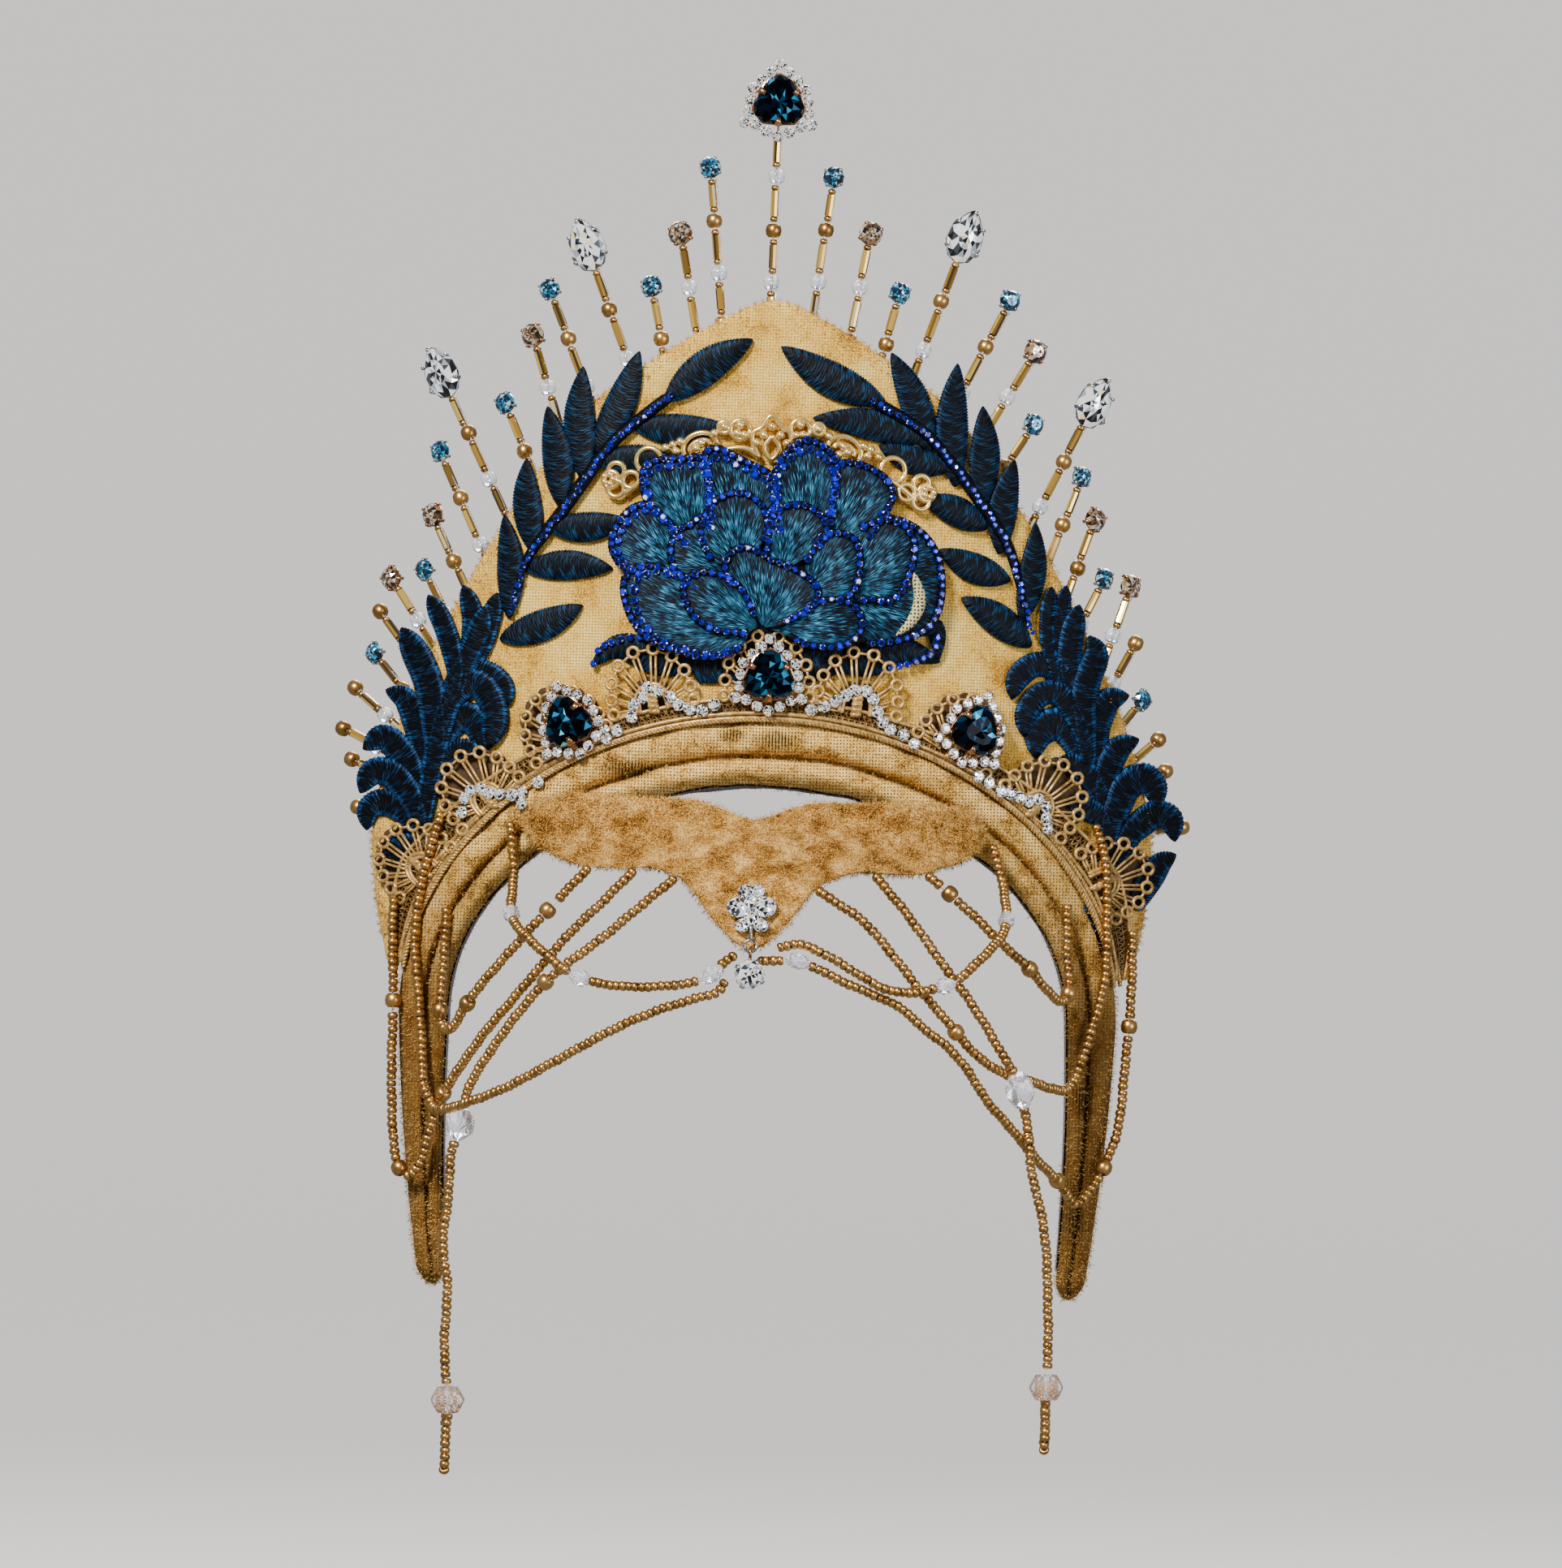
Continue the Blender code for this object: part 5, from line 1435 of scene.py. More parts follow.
@dataclass
class Blade:
    """A satin-stitched leaf, lobe or stem: threads laid side by side across a spine."""

    spine: Sequence[tuple[float, float]]
    width: float
    low: float = 0.35
    high: float = 1.9
    blunt: float = 0.0
    pitch: float = 0.75
    slant: float = 1.6
    groove: float = 0.1
    fullest: float = 0.9
    frond: bool = False

    def surface(self, u: Array, v: Array) -> Mapped:
        """Gives the blade's points.

        Args:
            u: Places round its section, from 0 to 1.
            v: Places from its base to its tip.

        Returns:
            The points and the values kept on them.
        """
        line = smooth_line(self.spine, 10)
        total = distances(line)[-1]
        middle = at_distance(line, v * total)
        step = total * 0.01
        ahead = at_distance(line, np.minimum(total, v * total + step))
        ahead -= at_distance(line, np.maximum(0, v * total - step))
        ahead /= np.linalg.norm(ahead, axis=1, keepdims=True)
        side = np.stack([-ahead[:, 1], ahead[:, 0]], axis=-1)
        outline = np.sin(np.pi * v**self.fullest) ** 0.72
        base = np.clip(v / 0.04, 0, 1) ** 0.5
        outline = np.where(v < 0.5, np.maximum(outline, self.blunt * base), outline)
        if self.frond:
            end = min(0.5, 1.25 * self.width / total)
            late = np.clip((v - 1 + end) / end, 0, 1)
            widening = 0.5 + 0.5 * np.sin(np.pi / 2 * np.clip(v / 0.55, 0, 1))
            outline = widening * (1 - late**2.2) ** 0.75 * base
        turn = 2 * np.pi * u
        across = np.cos(turn)
        thread = (v * total - self.slant * np.abs(across)) / self.pitch
        rib = np.abs(np.cos(np.pi * thread))
        swell = np.clip(outline * 2.4, 0, 1)
        flat = middle + side * (across * outline * self.width / 2 * (0.95 + 0.09 * rib))[:, None]
        crown = (self.high - self.low) * 0.8
        dome = np.sin(turn)
        bulge = 0.32 if self.frond else 0.6
        rise = np.where(dome > 0, crown * np.abs(dome) ** bulge, 0.25 * crown * dome)
        if self.frond:
            rise += np.where(dome > 0, 0.3 * np.exp(-(((np.abs(across) - 0.72) / 0.14) ** 2)), 0)
        rise -= np.where(dome > 0, self.groove * np.exp(-((across / 0.14) ** 2)), 0)
        rise += np.where(dome > 0, 0.2 * (rib - 0.5), 0)
        lift = self.low + 0.25 * crown + rise * swell
        along = across * outline * self.width / 2
        return on_crown(flat, lift), {"thread": thread * self.pitch, "edge": np.abs(across), "along": along}

    def build(self, name: str, finish: Finish) -> Piece:
        """Builds the blade with that name and finish, and gives its object."""
        rows = max(16, round(distances(smooth_line(self.spine, 10))[-1] / self.pitch * 3))
        return mapped_grid(name, 14, rows, self.surface, finish)


LeafTable = tuple[tuple[float, float, float, float, float], ...]


@dataclass
class LeafSpray:
    """One side's embroidered spray: leaves on both sides of a stem that is set with small stones."""

    kit: Kit
    side: str
    stem: Line
    leaves: LeafTable

    def build(self) -> None:
        """Builds the leaves, the stem and its stones as one piece."""
        name = f"leaf_spray_{self.side}_satin"
        pieces = []
        for number, (base_x, base_z, tip_x, tip_z, width) in enumerate(self.leaves):
            base, tip = np.array([base_x, base_z]), np.array([tip_x, tip_z])
            along = tip - base
            bow = np.array([-along[1], along[0]]) * 0.04 * (1 if number % 2 else -1)
            spine = [tuple(base - along * 0.06), tuple((base + tip) / 2 + bow), tuple(tip)]
            raised = 1.9 + 0.22 * (number % 3)
            blade = Blade(spine, width * 1.05, high=raised, blunt=0.3)
            pieces.append(blade.build(f"{name}_{number}", self.kit.finishes.navy))
        stalk = Blade(self.stem, 3.4, high=2.7, blunt=0.9, pitch=0.7, slant=0.4, groove=0.0)
        pieces.append(stalk.build(f"{name}_stem", self.kit.finishes.cord))
        heap = Heap(f"{name}_stones")
        line = smooth_line(self.stem, 12)
        where = np.arange(0.8, distances(line)[-1] - 0.5, 1.75)
        for k, (x, z) in enumerate(at_distance(line, where)):
            size = 0.78 + 0.12 * math.sin(k * 2.4)
            sway = 0.35 * math.sin(k * 1.7)
            frame = crown_frame(x + sway, z, 2.75, k * 40, size)
            heap.place(self.kit.shapes.flat_back, frame, self.kit.finishes.sapphire)
        pieces.append(heap.build())
        deliver(joined(name, pieces), "navy_thread", f"leaf_spray_{self.side}")


LEFT_STEM = (
    (-24.5, 96.2), (-32.4, 89.8), (-40.2, 82.6), (-49.8, 68.7), (-56, 60.2), (-60.4, 53.1), (-64, 40),
)
RIGHT_STEM = (
    (24, 95.8), (35.9, 89.2), (42.6, 83), (52.4, 70.8), (59, 60.6), (62.4, 50.2), (65.6, 39),
)
LEFT_LEAVES: LeafTable = (
    (-43.2, 82.5, -33.2, 106.4, 7.4), (-46.2, 75.6, -47.1, 102.4, 7.6), (-52.1, 68.9, -55.7, 92.4, 7.4),
    (-58, 56.9, -60.5, 79.5, 7), (-64, 41.1, -65.7, 65.5, 6.6), (-25.5, 95, -5.3, 109.9, 8.4),
    (-33.2, 87.7, -11.3, 88.4, 7.4), (-42.1, 78.6, -23.1, 79.5, 6.8), (-53.7, 62.3, -35.1, 64.7, 7.2),
    (-59.4, 52.1, -38.4, 52.6, 7.2), (-65, 34.9, -45.6, 43.4, 7.6),
)
RIGHT_LEAVES: LeafTable = (
    (38.5, 84.5, 28.8, 107.6, 7.4), (45.5, 76.6, 45.3, 105.5, 7.8), (51.5, 70.9, 51.8, 95.2, 7.4),
    (57, 59.9, 60.1, 82.2, 7), (63, 43.1, 65.8, 66.8, 6.6), (26.3, 95.6, 1.6, 108.2, 8.4),
    (37.1, 86.4, 9.8, 90.9, 7.4), (43.1, 79.4, 26.2, 84.6, 6.8), (52.7, 65.2, 37.4, 72, 7.2),
    (58.8, 52.6, 41.9, 59.4, 7.2), (64.4, 36.7, 47.6, 47.7, 7.6),
)


FrondTable = tuple[tuple[float, Line], ...]


@dataclass
class Scroll:
    """One side's acanthus scroll: blunt curling fronds that are stitched over each other."""

    kit: Kit
    side: str
    fronds: FrondTable

    def build(self) -> None:
        """Builds the fronds, the later ones over the earlier ones."""
        name = f"scroll_{self.side}_satin"
        pieces = []
        for number, (width, path) in enumerate(self.fronds):
            high = 1.5 + 0.4 * (number % 3)
            blade = Blade(path, width * 1.3, high=high, slant=0.7, groove=0.0, pitch=0.62, frond=True)
            pieces.append(blade.build(f"{name}_{number}", self.kit.finishes.border))
        deliver(joined(name, pieces), "navy_thread", f"scroll_{self.side}")


LEFT_FRONDS: FrondTable = (
    (3.4, ((-86, -30), (-88.4, -38), (-87.8, -46))),
    (5.4, ((-84.8, -16), (-90, -18), (-93, -22.5))),
    (4.2, ((-78.6, 18.4), (-76.8, 24.8), (-78.3, 32.4), (-81, 39.4), (-84.4, 45.2))),
    (4.2, ((-77.4, 20), (-73.8, 30), (-73, 37.1), (-73.5, 42.1), (-75.6, 47.8))),
    (4, ((-75.6, 24), (-70.8, 32), (-68.6, 39.1), (-67, 46.1))),
    (5.8, ((-83, -2), (-81.5, 8.1), (-82.3, 15.8), (-83.8, 23.4), (-86.9, 30.3), (-91, 37))),
    (5, ((-84, -8), (-83.5, -0.9), (-84.6, 6.8), (-86.7, 13.1), (-89.4, 19.1), (-94.6, 21.4))),
    (5.6, ((-84.6, -12), (-85.3, -4.7), (-87.7, 1.6), (-90.7, 6.6), (-95.2, 9.4), (-100, 6.4))),
    (5.6, ((-84.8, -15), (-85.8, -8.6), (-88.9, -2.9), (-93.1, 0.8), (-97.6, 0.4), (-100.4, -4.6))),
    (5.2, ((-84.6, -18), (-86.4, -12.4), (-89.3, -8.7), (-94.2, -6.6), (-98, -8.6), (-98.4, -13.8))),
    (5, ((-80, 16), (-76.8, 22.9), (-73, 26.2), (-68.6, 25.7), (-65, 22.6), (-63.8, 17.6))),
    (5.6, ((-81, 9), (-79.5, 15.8), (-76.7, 21), (-72.3, 23.7), (-68.4, 20.6), (-66.9, 14.9), (-68.3, 7.2))),
    (6, ((-82, 2), (-80.9, 8.1), (-78.4, 12.7), (-74.7, 15.3), (-71.1, 12.9), (-69.5, 6.6))),
    (3.8, ((-83, -5), (-81.3, 1.1), (-78.2, 5.7), (-73.8, 7.4), (-69.6, 6))),
    (4.8, ((-85.4, -20), (-83.1, -3.4), (-81.2, 7.5), (-78.9, 17.1), (-75.6, 26.1), (-71.7, 35.8),
     (-69.6, 42.9))),
)
RIGHT_FRONDS: FrondTable = (
    (3.4, ((80.8, -27), (84.6, -36), (86.2, -45))),
    (5.4, ((93, -28.5), (96.7, -20.7), (99.5, -16.8), (103.4, -14.4))),
    (3, ((71.8, 27), (70.8, 32.5), (69.4, 37.6), (69.2, 44), (70.2, 51.2))),
    (3.3, ((74, 26), (72.8, 33.2), (72.2, 38.9), (72.7, 44.7), (73.8, 51.6))),
    (4.9, ((79.4, 14), (78.1, 21.9), (75.7, 28.2), (75, 34.6), (75.7, 40.3), (77.2, 47))),
    (5.4, ((80.6, 7), (79.5, 15.5), (78.8, 22.5), (79.9, 28.9), (81.7, 34.7), (79.8, 39.4))),
    (5.7, ((83.4, -1), (82.3, 6.7), (81.8, 13.7), (82.9, 19.4), (85.4, 23.4), (90.4, 24.8))),
    (5.2, ((84.8, -9), (84.6, -2.2), (85, 2.9), (86.1, 8), (88.6, 11.9), (93.2, 14))),
    (6, ((86, -13), (86.5, -6.6), (88.3, -2.7), (90.1, 1.8), (93.9, 4.3), (97.2, 2.3), (98.4, -3.4))),
    (5.5, ((88, -17), (91.4, -10), (94.2, -7.1), (97.9, -4.7), (101.7, -5.9), (103, -11.4))),
    (4.8, ((76.6, 20), (74.8, 26.9), (71.5, 31), (66.3, 31.6), (62.3, 28.2), (60.8, 22.8))),
    (4.6, ((80.4, 8), (78.9, 14.2), (75.9, 20.5), (72.3, 24.8), (67.8, 24), (64.6, 19.6), (64.3, 13.6))),
    (6.4, ((83, 1), (81.4, 6), (78.4, 11.7), (75, 16.1), (71.2, 17.1), (67.8, 14), (67.2, 8.4))),
    (5.2, ((85, -4), (83.1, 1), (79.8, 5.3), (75.9, 7.3), (71.8, 6.4))),
    (4.8, ((85.4, -8), (83.9, -5.7), (80, -3.3), (75, -2))),
    (4.6, ((86.4, -20), (86.6, -7.9), (83.7, 1), (79.6, 11.7), (74.8, 23.7), (68.8, 36.3))),
)


@dataclass
class Petal:
    """A fan of satin stitch from a base to a scalloped rim, with a cord and stones along it."""

    base: tuple[float, float]
    rim: Line
    rank: int
    big: bool = False
    skirt: float = 1.5
    pitch: float = 0.62

    @property
    def lift(self) -> float:
        """How far its rim stands in front of the velvet: petals further forward lie higher."""
        return 3.5 + 0.17 * self.rank

    def line(self) -> Array:
        """Gives the smooth flat line of its rim."""
        return smooth_line(self.rim, 8)

    def surface(self, u: Array, v: Array) -> Mapped:
        """Gives the petal's points.

        Args:
            u: Places along its rim, from 0 to 1.
            v: Places from its base over the rim.

        Returns:
            The points and the values kept on them.
        """
        line = self.line()
        total = distances(line)[-1]
        rim = at_distance(line, u * total)
        base = np.array(self.base)
        reach = 0.03 + 0.97 * np.minimum(1.0, v / 0.95)
        sway = 0.5 * np.sin(u * 9 + self.rank)
        flat = base + (rim - base) * reach[:, None]
        length = np.linalg.norm(rim - base, axis=1)
        flat += (rim - base)[:, ::-1] * [1, -1] * (0.05 * sway * np.sin(np.pi * reach))[:, None]
        thread = u * total
        rib = np.abs(np.cos(np.pi * thread / self.pitch))
        dome = np.sin(np.pi * np.clip(reach, 0, 1) ** 1.6) * np.sin(np.pi * np.clip(u, 0.02, 0.98)) ** 0.5
        lift = self.lift - 0.9 * (1 - reach) ** 2 + 0.75 * dome + 0.16 * (rib - 0.5) * reach
        lift = np.where(v > 0.96, self.skirt, lift)
        marks = {"thread": thread, "along": reach * length, "edge": reach**2}
        return on_crown(flat, lift), marks

    def build(self, name: str, finish: Finish) -> Piece:
        """Builds the petal with that name and finish, and gives its object."""
        return mapped_grid(name, round(distances(self.line())[-1] / 0.3), 20, self.surface, finish)


@dataclass
class Peony:
    """The large flower: petals over each other, sepals and a patch of bare net."""

    kit: Kit
    petals: tuple[Petal, ...] = (
        Petal((-18.4, 60), (
            (-27.5, 66), (-29.9, 68.3), (-31.5, 72.9), (-31.2, 77.6), (-27.6, 79.6), (-22.3, 80),
            (-16.9, 80.1), (-15.5, 75.4), (-15, 69.4), (-14.6, 62),
        ), 1, True),
        Petal((-6.4, 57.7), (
            (-14.6, 62), (-15, 69.4), (-15.8, 75.3), (-16.2, 81.6), (-13, 82.6), (-9, 80.8), (-4.3, 78.6),
            (-0.3, 76.4), (1.2, 71.2), (1, 62),
        ), 2, True),
        Petal((8.2, 58), (
            (2.4, 62), (1.6, 69.8), (1.1, 77.1), (2.9, 81.2), (5.5, 83.9), (8.5, 85.4), (11.8, 84.4),
            (14.9, 81.8), (16.3, 76.9), (15, 66.2),
        ), 3, True),
        Petal((14.2, 58.2), (
            (15, 64), (15.5, 71.5), (16.3, 78.8), (20.2, 80.1), (24.9, 78.5), (28.6, 75.9), (30.1, 71.9),
            (27.2, 65.9), (24, 61),
        ), 2),
        Petal((-20.8, 51.3), (
            (-31, 51), (-35.8, 52.9), (-38.6, 56.8), (-38.7, 60.5), (-37.1, 64.2), (-33.9, 67.6),
            (-29.9, 68.3), (-25.8, 65.1), (-23.1, 62.2), (-20, 58),
        ), 3, True),
        Petal((12, 50), (
            (26, 68.4), (29.9, 66.7), (33.5, 65.7), (37.3, 63.5), (40.1, 60.4), (42, 56.3), (42.8, 51.7),
            (42.7, 47), (41.6, 43), (38.9, 39.3), (32, 36.5), (24, 35.5),
        ), 0),
        Petal((19.7, 49.1), (
            (22, 64), (27.6, 66.2), (32.2, 65.5), (35.3, 62.1), (35.8, 57.5), (34.6, 52.8), (33, 48.8),
            (29.7, 46), (25.8, 46.6), (22, 46),
        ), 3),
        Petal((-10.3, 52.3), (
            (-21, 51), (-23.5, 53.2), (-24.2, 57.9), (-23.1, 61.9), (-19.8, 63.6), (-16.6, 66), (-12, 66),
        ), 4),
        Petal((-6.9, 52.4), (
            (-14, 55), (-16.1, 58.8), (-16.8, 63.4), (-14.7, 68.7), (-12.1, 70.7), (-8.4, 72), (-4.4, 70.9),
            (-1.4, 67.8), (-0.6, 63.8), (-1.7, 59.8),
        ), 5),
        Petal((3, 52.6), (
            (-0.8, 57), (-0.2, 60.5), (0, 65.2), (2.3, 67.9), (5.2, 69.3), (8.6, 69.1), (11.9, 67.3),
            (14, 64.2), (13.1, 60.2), (10.5, 57.5),
        ), 6),
        Petal((9.1, 47.5), (
            (9, 55), (10.5, 57.5), (12.4, 61.4), (16, 62.6), (20, 61.8), (22.1, 59.1), (22.4, 54.4),
            (22, 50.5), (20.1, 47.4), (16.1, 46.2),
        ), 7),
        Petal((-3.9, 37.8), (
            (-6, 34), (-11.7, 31.6), (-17, 31.5), (-22.3, 32.7), (-27, 34.2), (-31.1, 37.1), (-33.5, 40.4),
            (-35.1, 44.3), (-35.7, 48.3), (-34.5, 51.6), (-29.5, 53.4), (-24.9, 52.4), (-21.2, 50.7),
            (-18, 48),
        ), 6, True),
        Petal((0.4, 38.7), (
            (5, 41), (7.3, 42.1), (11.5, 44.9), (15.5, 46.3), (19.8, 45.6), (22.5, 43.2), (23.4, 40.2),
            (21.7, 36.8), (18.1, 34.8), (13.5, 34.5), (8.8, 35.4), (5.4, 37.1),
        ), 8),
        Petal((-0.9, 38.9), (
            (-8.5, 48.5), (-10.4, 51.6), (-10.7, 54.9), (-8.7, 57.6), (-5.8, 58.5), (-2.8, 57.6),
            (0.6, 55.5), (4.3, 54.3), (7.7, 52.6), (10.7, 50.7), (12.3, 48.2), (11.5, 44.9), (8.6, 42.5),
            (5.3, 40.9), (2.4, 39.3),
        ), 9),
        Petal((-2.3, 38.9), (
            (-4.6, 37.6), (-6.5, 37.4), (-11.9, 37.9), (-15.9, 39.5), (-18.9, 42.4), (-20.7, 46),
            (-20.5, 50), (-16.9, 52), (-13.2, 51.9), (-9.5, 50.6), (-6.8, 48.4), (-4.8, 45.1), (-3, 41.5),
        ), 10),
    )
    middle: Line = ((-34, 52), (0, 54), (40, 52))
    bare: Line = ((35.6, 53.8), (37.4, 47), (35.6, 41.6), (31.6, 37.6))
    sepals: tuple[Line, ...] = (
        ((-4, 33), (-24, 30.4), (-36, 33.4), (-43.4, 28.4)),
        ((-18, 28), (0, 28.6), (20, 29.4)),
        ((6, 33), (24, 31.6), (33, 34.2), (43.0, 31.6)),
        ((30, 37), (40.6, 40.4), (42.6, 32.0)),
    )
    sepal_stones: Line = (
        (-42.6, 29), (-41.6, 32.2), (-40, 33.6), (-38.3, 34.3), (-36, 35.2), (-33.7, 35.6), (-31.3, 35.8),
        (-29, 35.5), (31, 29.8), (32.8, 30.3), (34.8, 30.9), (36.8, 31.5), (38.6, 32.4), (40.4, 33.4),
        (41.6, 35.4), (42, 37.6),
    )

    def build(self) -> None:
        """Builds the petals, their cords and stones, the sepals and the bare net."""
        made = self.kit.finishes
        pieces = []
        core = Blade(self.middle, 46, low=0.5, high=3.2, blunt=0.6, groove=0.0, pitch=1.4)
        pieces.append(core.build("peony_core", made.cord))
        for number, spine in enumerate(self.sepals):
            width = 5.0 if number == 3 else 8.4
            blade = Blade(spine, width, high=1.8 + 0.1 * number, blunt=0.8, fullest=1.1)
            pieces.append(blade.build(f"peony_sepal_{number}", made.navy))
        net = Blade(self.bare, 3.2, low=3.2, high=5.1, groove=0.0, slant=0.0)
        pieces.append(net.build("peony_net", made.net))
        cords = Threads("peony_cords", made.cord, 0.95, 2)
        heap = Heap("peony_stones")
        for number, petal in enumerate(self.petals):
            pieces.append(petal.build(f"peony_petal_{number}", made.teal))
            lifted = on_crown(petal.line(), petal.lift - 0.1)
            cord = at_distance(lifted, np.arange(0, distances(lifted)[-1], 0.42))
            cords.lay(cord, 0.92 + 0.16 * (np.arange(len(cord)) % 2))
            self.trim(heap, petal, number)
        for k, (x, z) in enumerate(self.sepal_stones):
            heap.place(self.kit.shapes.flat_back, crown_frame(x, z, 2.3, k * 47, 0.95), made.sapphire)
        pieces += [cords.build(), heap.build()]
        deliver(joined("peony_satin", pieces), "navy_thread", "peony")

    def trim(self, heap: Heap, petal: Petal, number: int) -> None:
        """Sets sapphire stones along a petal's rim, in two rows where the rim is a wide one.

        Args:
            heap: The mesh that they go into.
            petal: The petal.
            number: The petal's number, which varies the stones.
        """
        line = petal.line()
        total = distances(line)[-1]
        rows = [(0.0, 2.15, 0.92)] + ([(0.085, 2.9, 1.08)] if petal.big else [])
        for inward, pitch, scale in rows:
            where = np.arange(1.2 + 6 * inward, total - 0.8, pitch)
            spots = at_distance(line, where)
            spots += (np.array(petal.base) - spots) * inward
            for k, (x, z) in enumerate(spots):
                size = (0.98, 0.84, 1.14, 0.9)[(k * 3 + number) % 4] * scale
                frame = crown_frame(x, z, petal.lift + 0.75 - 1.5 * inward, k * 47, size)
                heap.place(self.kit.shapes.flat_back, frame, self.kit.finishes.sapphire)


# Gold lace, filigree and stones on the front


@dataclass
class LaceTrim:
    """Gold guipure: fans of small rings on paired threads above a net heading and a twisted cord."""

    kit: Kit
    fans: tuple[tuple[float, float, float, float], ...] = (
        (0.3, 21.6, 0, 1.04), (-27.4, 18.2, 12, 1), (22.4, 18.6, -6, 1), (-47.4, 8.6, 30, 0.98),
        (46.2, 9, -30, 0.98), (-67, -6.4, 44, 0.96), (66.6, -5, -42, 0.96), (-83, -24, 46, 0.9),
        (83.4, -23, -60, 0.92),
    )
    strip: Line = (
        (9, 2.5), (16, 6.5), (26, 10), (36, 8), (50, 6.4), (70, 5), (90, 5),
    )
    rings: int = 10
    span: float = 176.0
    near: float = 10.0
    far: float = 14.9
    ring: float = 1.32
    lift: float = 2.9
    start: float = 9.0
    end: float = 171.0

    def width(self, angle: Array) -> Array:
        """Gives the net heading's width at some angles round the arch."""
        folded = np.minimum(angle, 180 - angle)
        return np.interp(folded, [row[0] for row in self.strip], [row[1] for row in self.strip])

    def reach(self, degrees: Array) -> Array:
        """Gives how far a fan reaches at some degrees from its middle."""
        return self.near + (self.far - self.near) * np.cos(np.radians(degrees)) ** 2

    def fan(self, threads: Threads, fine: Threads, hub: Array, turn: float, scale: float) -> None:
        """Lays one fan.

        Args:
            threads: The thick threads: rings and arcs.
            fine: The thin threads: paired spokes.
            hub: Where it spreads from.
            turn: Degrees that it leans.
            scale: Its size.
        """
        steps = np.linspace(-self.span / 2, self.span / 2, self.rings)

        def at(share: Array | float, angle: Array | float) -> Array:
            """Gives the points at shares of the fan's reach, at degrees from its middle."""
            reach = np.asarray(share) * self.reach(np.asarray(angle, float)) * scale
            return hub + on_circle(90 + turn + np.asarray(angle, float)) * reach[..., None]

        for angle in steps:
            centre = at(1.0, angle)
            threads.lay(on_crown(centre + on_circle(np.linspace(0, 360, 15)) * self.ring, self.lift))
            for off in (-3.6, 3.6):
                bends = ((0.36, 1.5), (0.62, 1), (0.9, 0.75))
                spoke = [at(share, angle + off * lean) for share, lean in bends]
                fine.lay(on_crown(np.array(spoke), self.lift - 0.1))
        for share, reach in ((0.34, 100), (0.42, 96)):
            arc = np.linspace(-reach, reach, 26)
            threads.lay(on_crown(at(np.full(26, share), arc), self.lift + 0.15))
        for start, end in zip(at(1.0, steps), at(1.0, steps[1:])):
            middle = (start + end) / 2
            gap = (end - start) * (0.5 - self.ring / max(2 * self.ring, float(np.linalg.norm(end - start))))
            fine.lay(on_crown(np.array([middle - gap, middle, middle + gap]), self.lift))
        post = np.array([at(-0.08, 0), at(0.16, 0), at(0.4, 0)])
        for sway in (-0.8, -0.27, 0.27, 0.8):
            threads.lay(on_crown(post + np.array([sway, 0]) * scale, self.lift + 0.25))
        for rung in np.linspace(-0.04, 0.3, 5):
            ends = at(rung, 0) + np.array([[-1.3, 0], [1.3, 0]]) * scale
            threads.lay(on_crown(ends, self.lift + 0.4))

    def heading(self, threads: Threads, fine: Threads) -> None:
        """Lays the net between the fans and the band, and the cords along its edge.

        Args:
            threads: The thick threads: three cords along it.
            fine: The thin threads: the net's lines, level and crossed.
        """
        angles = np.linspace(self.start, self.end, 170)
        width = self.width(angles)
        rows = ((0.5, 0.5), (0.5, 0.98), (0.98, 0.5), (0.05, 0.5), (0.5, 0.05), (0.75, 0.75), (0.28, 0.28))
        for near, far in rows:
            for i in range(len(angles) - 1):
                ends = band_edge(angles[[i, i + 1]], np.array([width[i] * near, width[i + 1] * far]) + 0.4)
                fine.lay(on_crown(np.array([ends[0], ends.mean(axis=0), ends[1]]), self.lift - 0.55))
        for share in (0.05, 0.28, 1.0):
            threads.lay(on_crown(band_edge(angles, width * share + 0.4), self.lift - 0.3))

    def build(self) -> None:
        """Builds the fans, the heading and the twisted cord along the band."""
        made = self.kit.finishes
        threads = Threads("lace_rings", made.lace, 0.5)
        fine = Threads("lace_spokes", made.lace, 0.34)
        dark = Threads("lace_net", made.lace_dark, 0.24, 0)
        for x, z, turn, scale in self.fans:
            self.fan(threads, fine, np.array([x, z]), turn, scale)
        self.heading(threads, dark)
        cord = Threads("lace_cord", made.lace, 0.36)
        edge = np.linspace(8, 172, 400)
        cord.twist(on_crown(band_edge(edge, np.full(400, 0.2)), 2.4), 0.34, 1.9)
        cord.twist(on_crown(band_edge(edge, np.full(400, 1.8)), 2.2), 0.3, 1.7)
        pieces = [part.build() for part in (threads, fine, dark, cord)]
        pieces.append(mapped_grid("lace_heading_net", 2, 160, self.shade, made.dark_shade_sheet))
        # Dark sheets under the fans paint the shade inside them; the first three cover only the inner half of
        # their fan
        for number, (x, z, turn, scale) in enumerate(self.fans):
            share = 0.5 if number < 3 else 1.0
            pieces.append(self.shade_under_fan(f"lace_net_{number}", np.array([x, z]), turn, scale, share))
        deliver(joined("lace_trim_threads", pieces), "gold_lace", "lace_trim")

    def shade(self, u: Array, v: Array) -> Mapped:
        """Gives the points of the dark sheet that lies behind the heading, painted shade between its threads.
        """
        angle = self.start + (self.end - self.start) * v
        return on_crown(band_edge(angle, 0.4 + (self.width(angle) - 0.2) * u), 0.7), {}

    def shade_under_fan(self, name: str, hub: Array, turn: float, scale: float, share: float) -> Piece:
        """Builds a dark sheet under a fan, close to the velvet: painted shade inside its rings and between
        its spokes.

        Args:
            name: The sheet's name.
            hub: Where the fan spreads from.
            turn: Degrees that it leans.
            scale: Its size.
            share: How much of the fan's reach the sheet covers.

        Returns:
            The mesh object.
        """

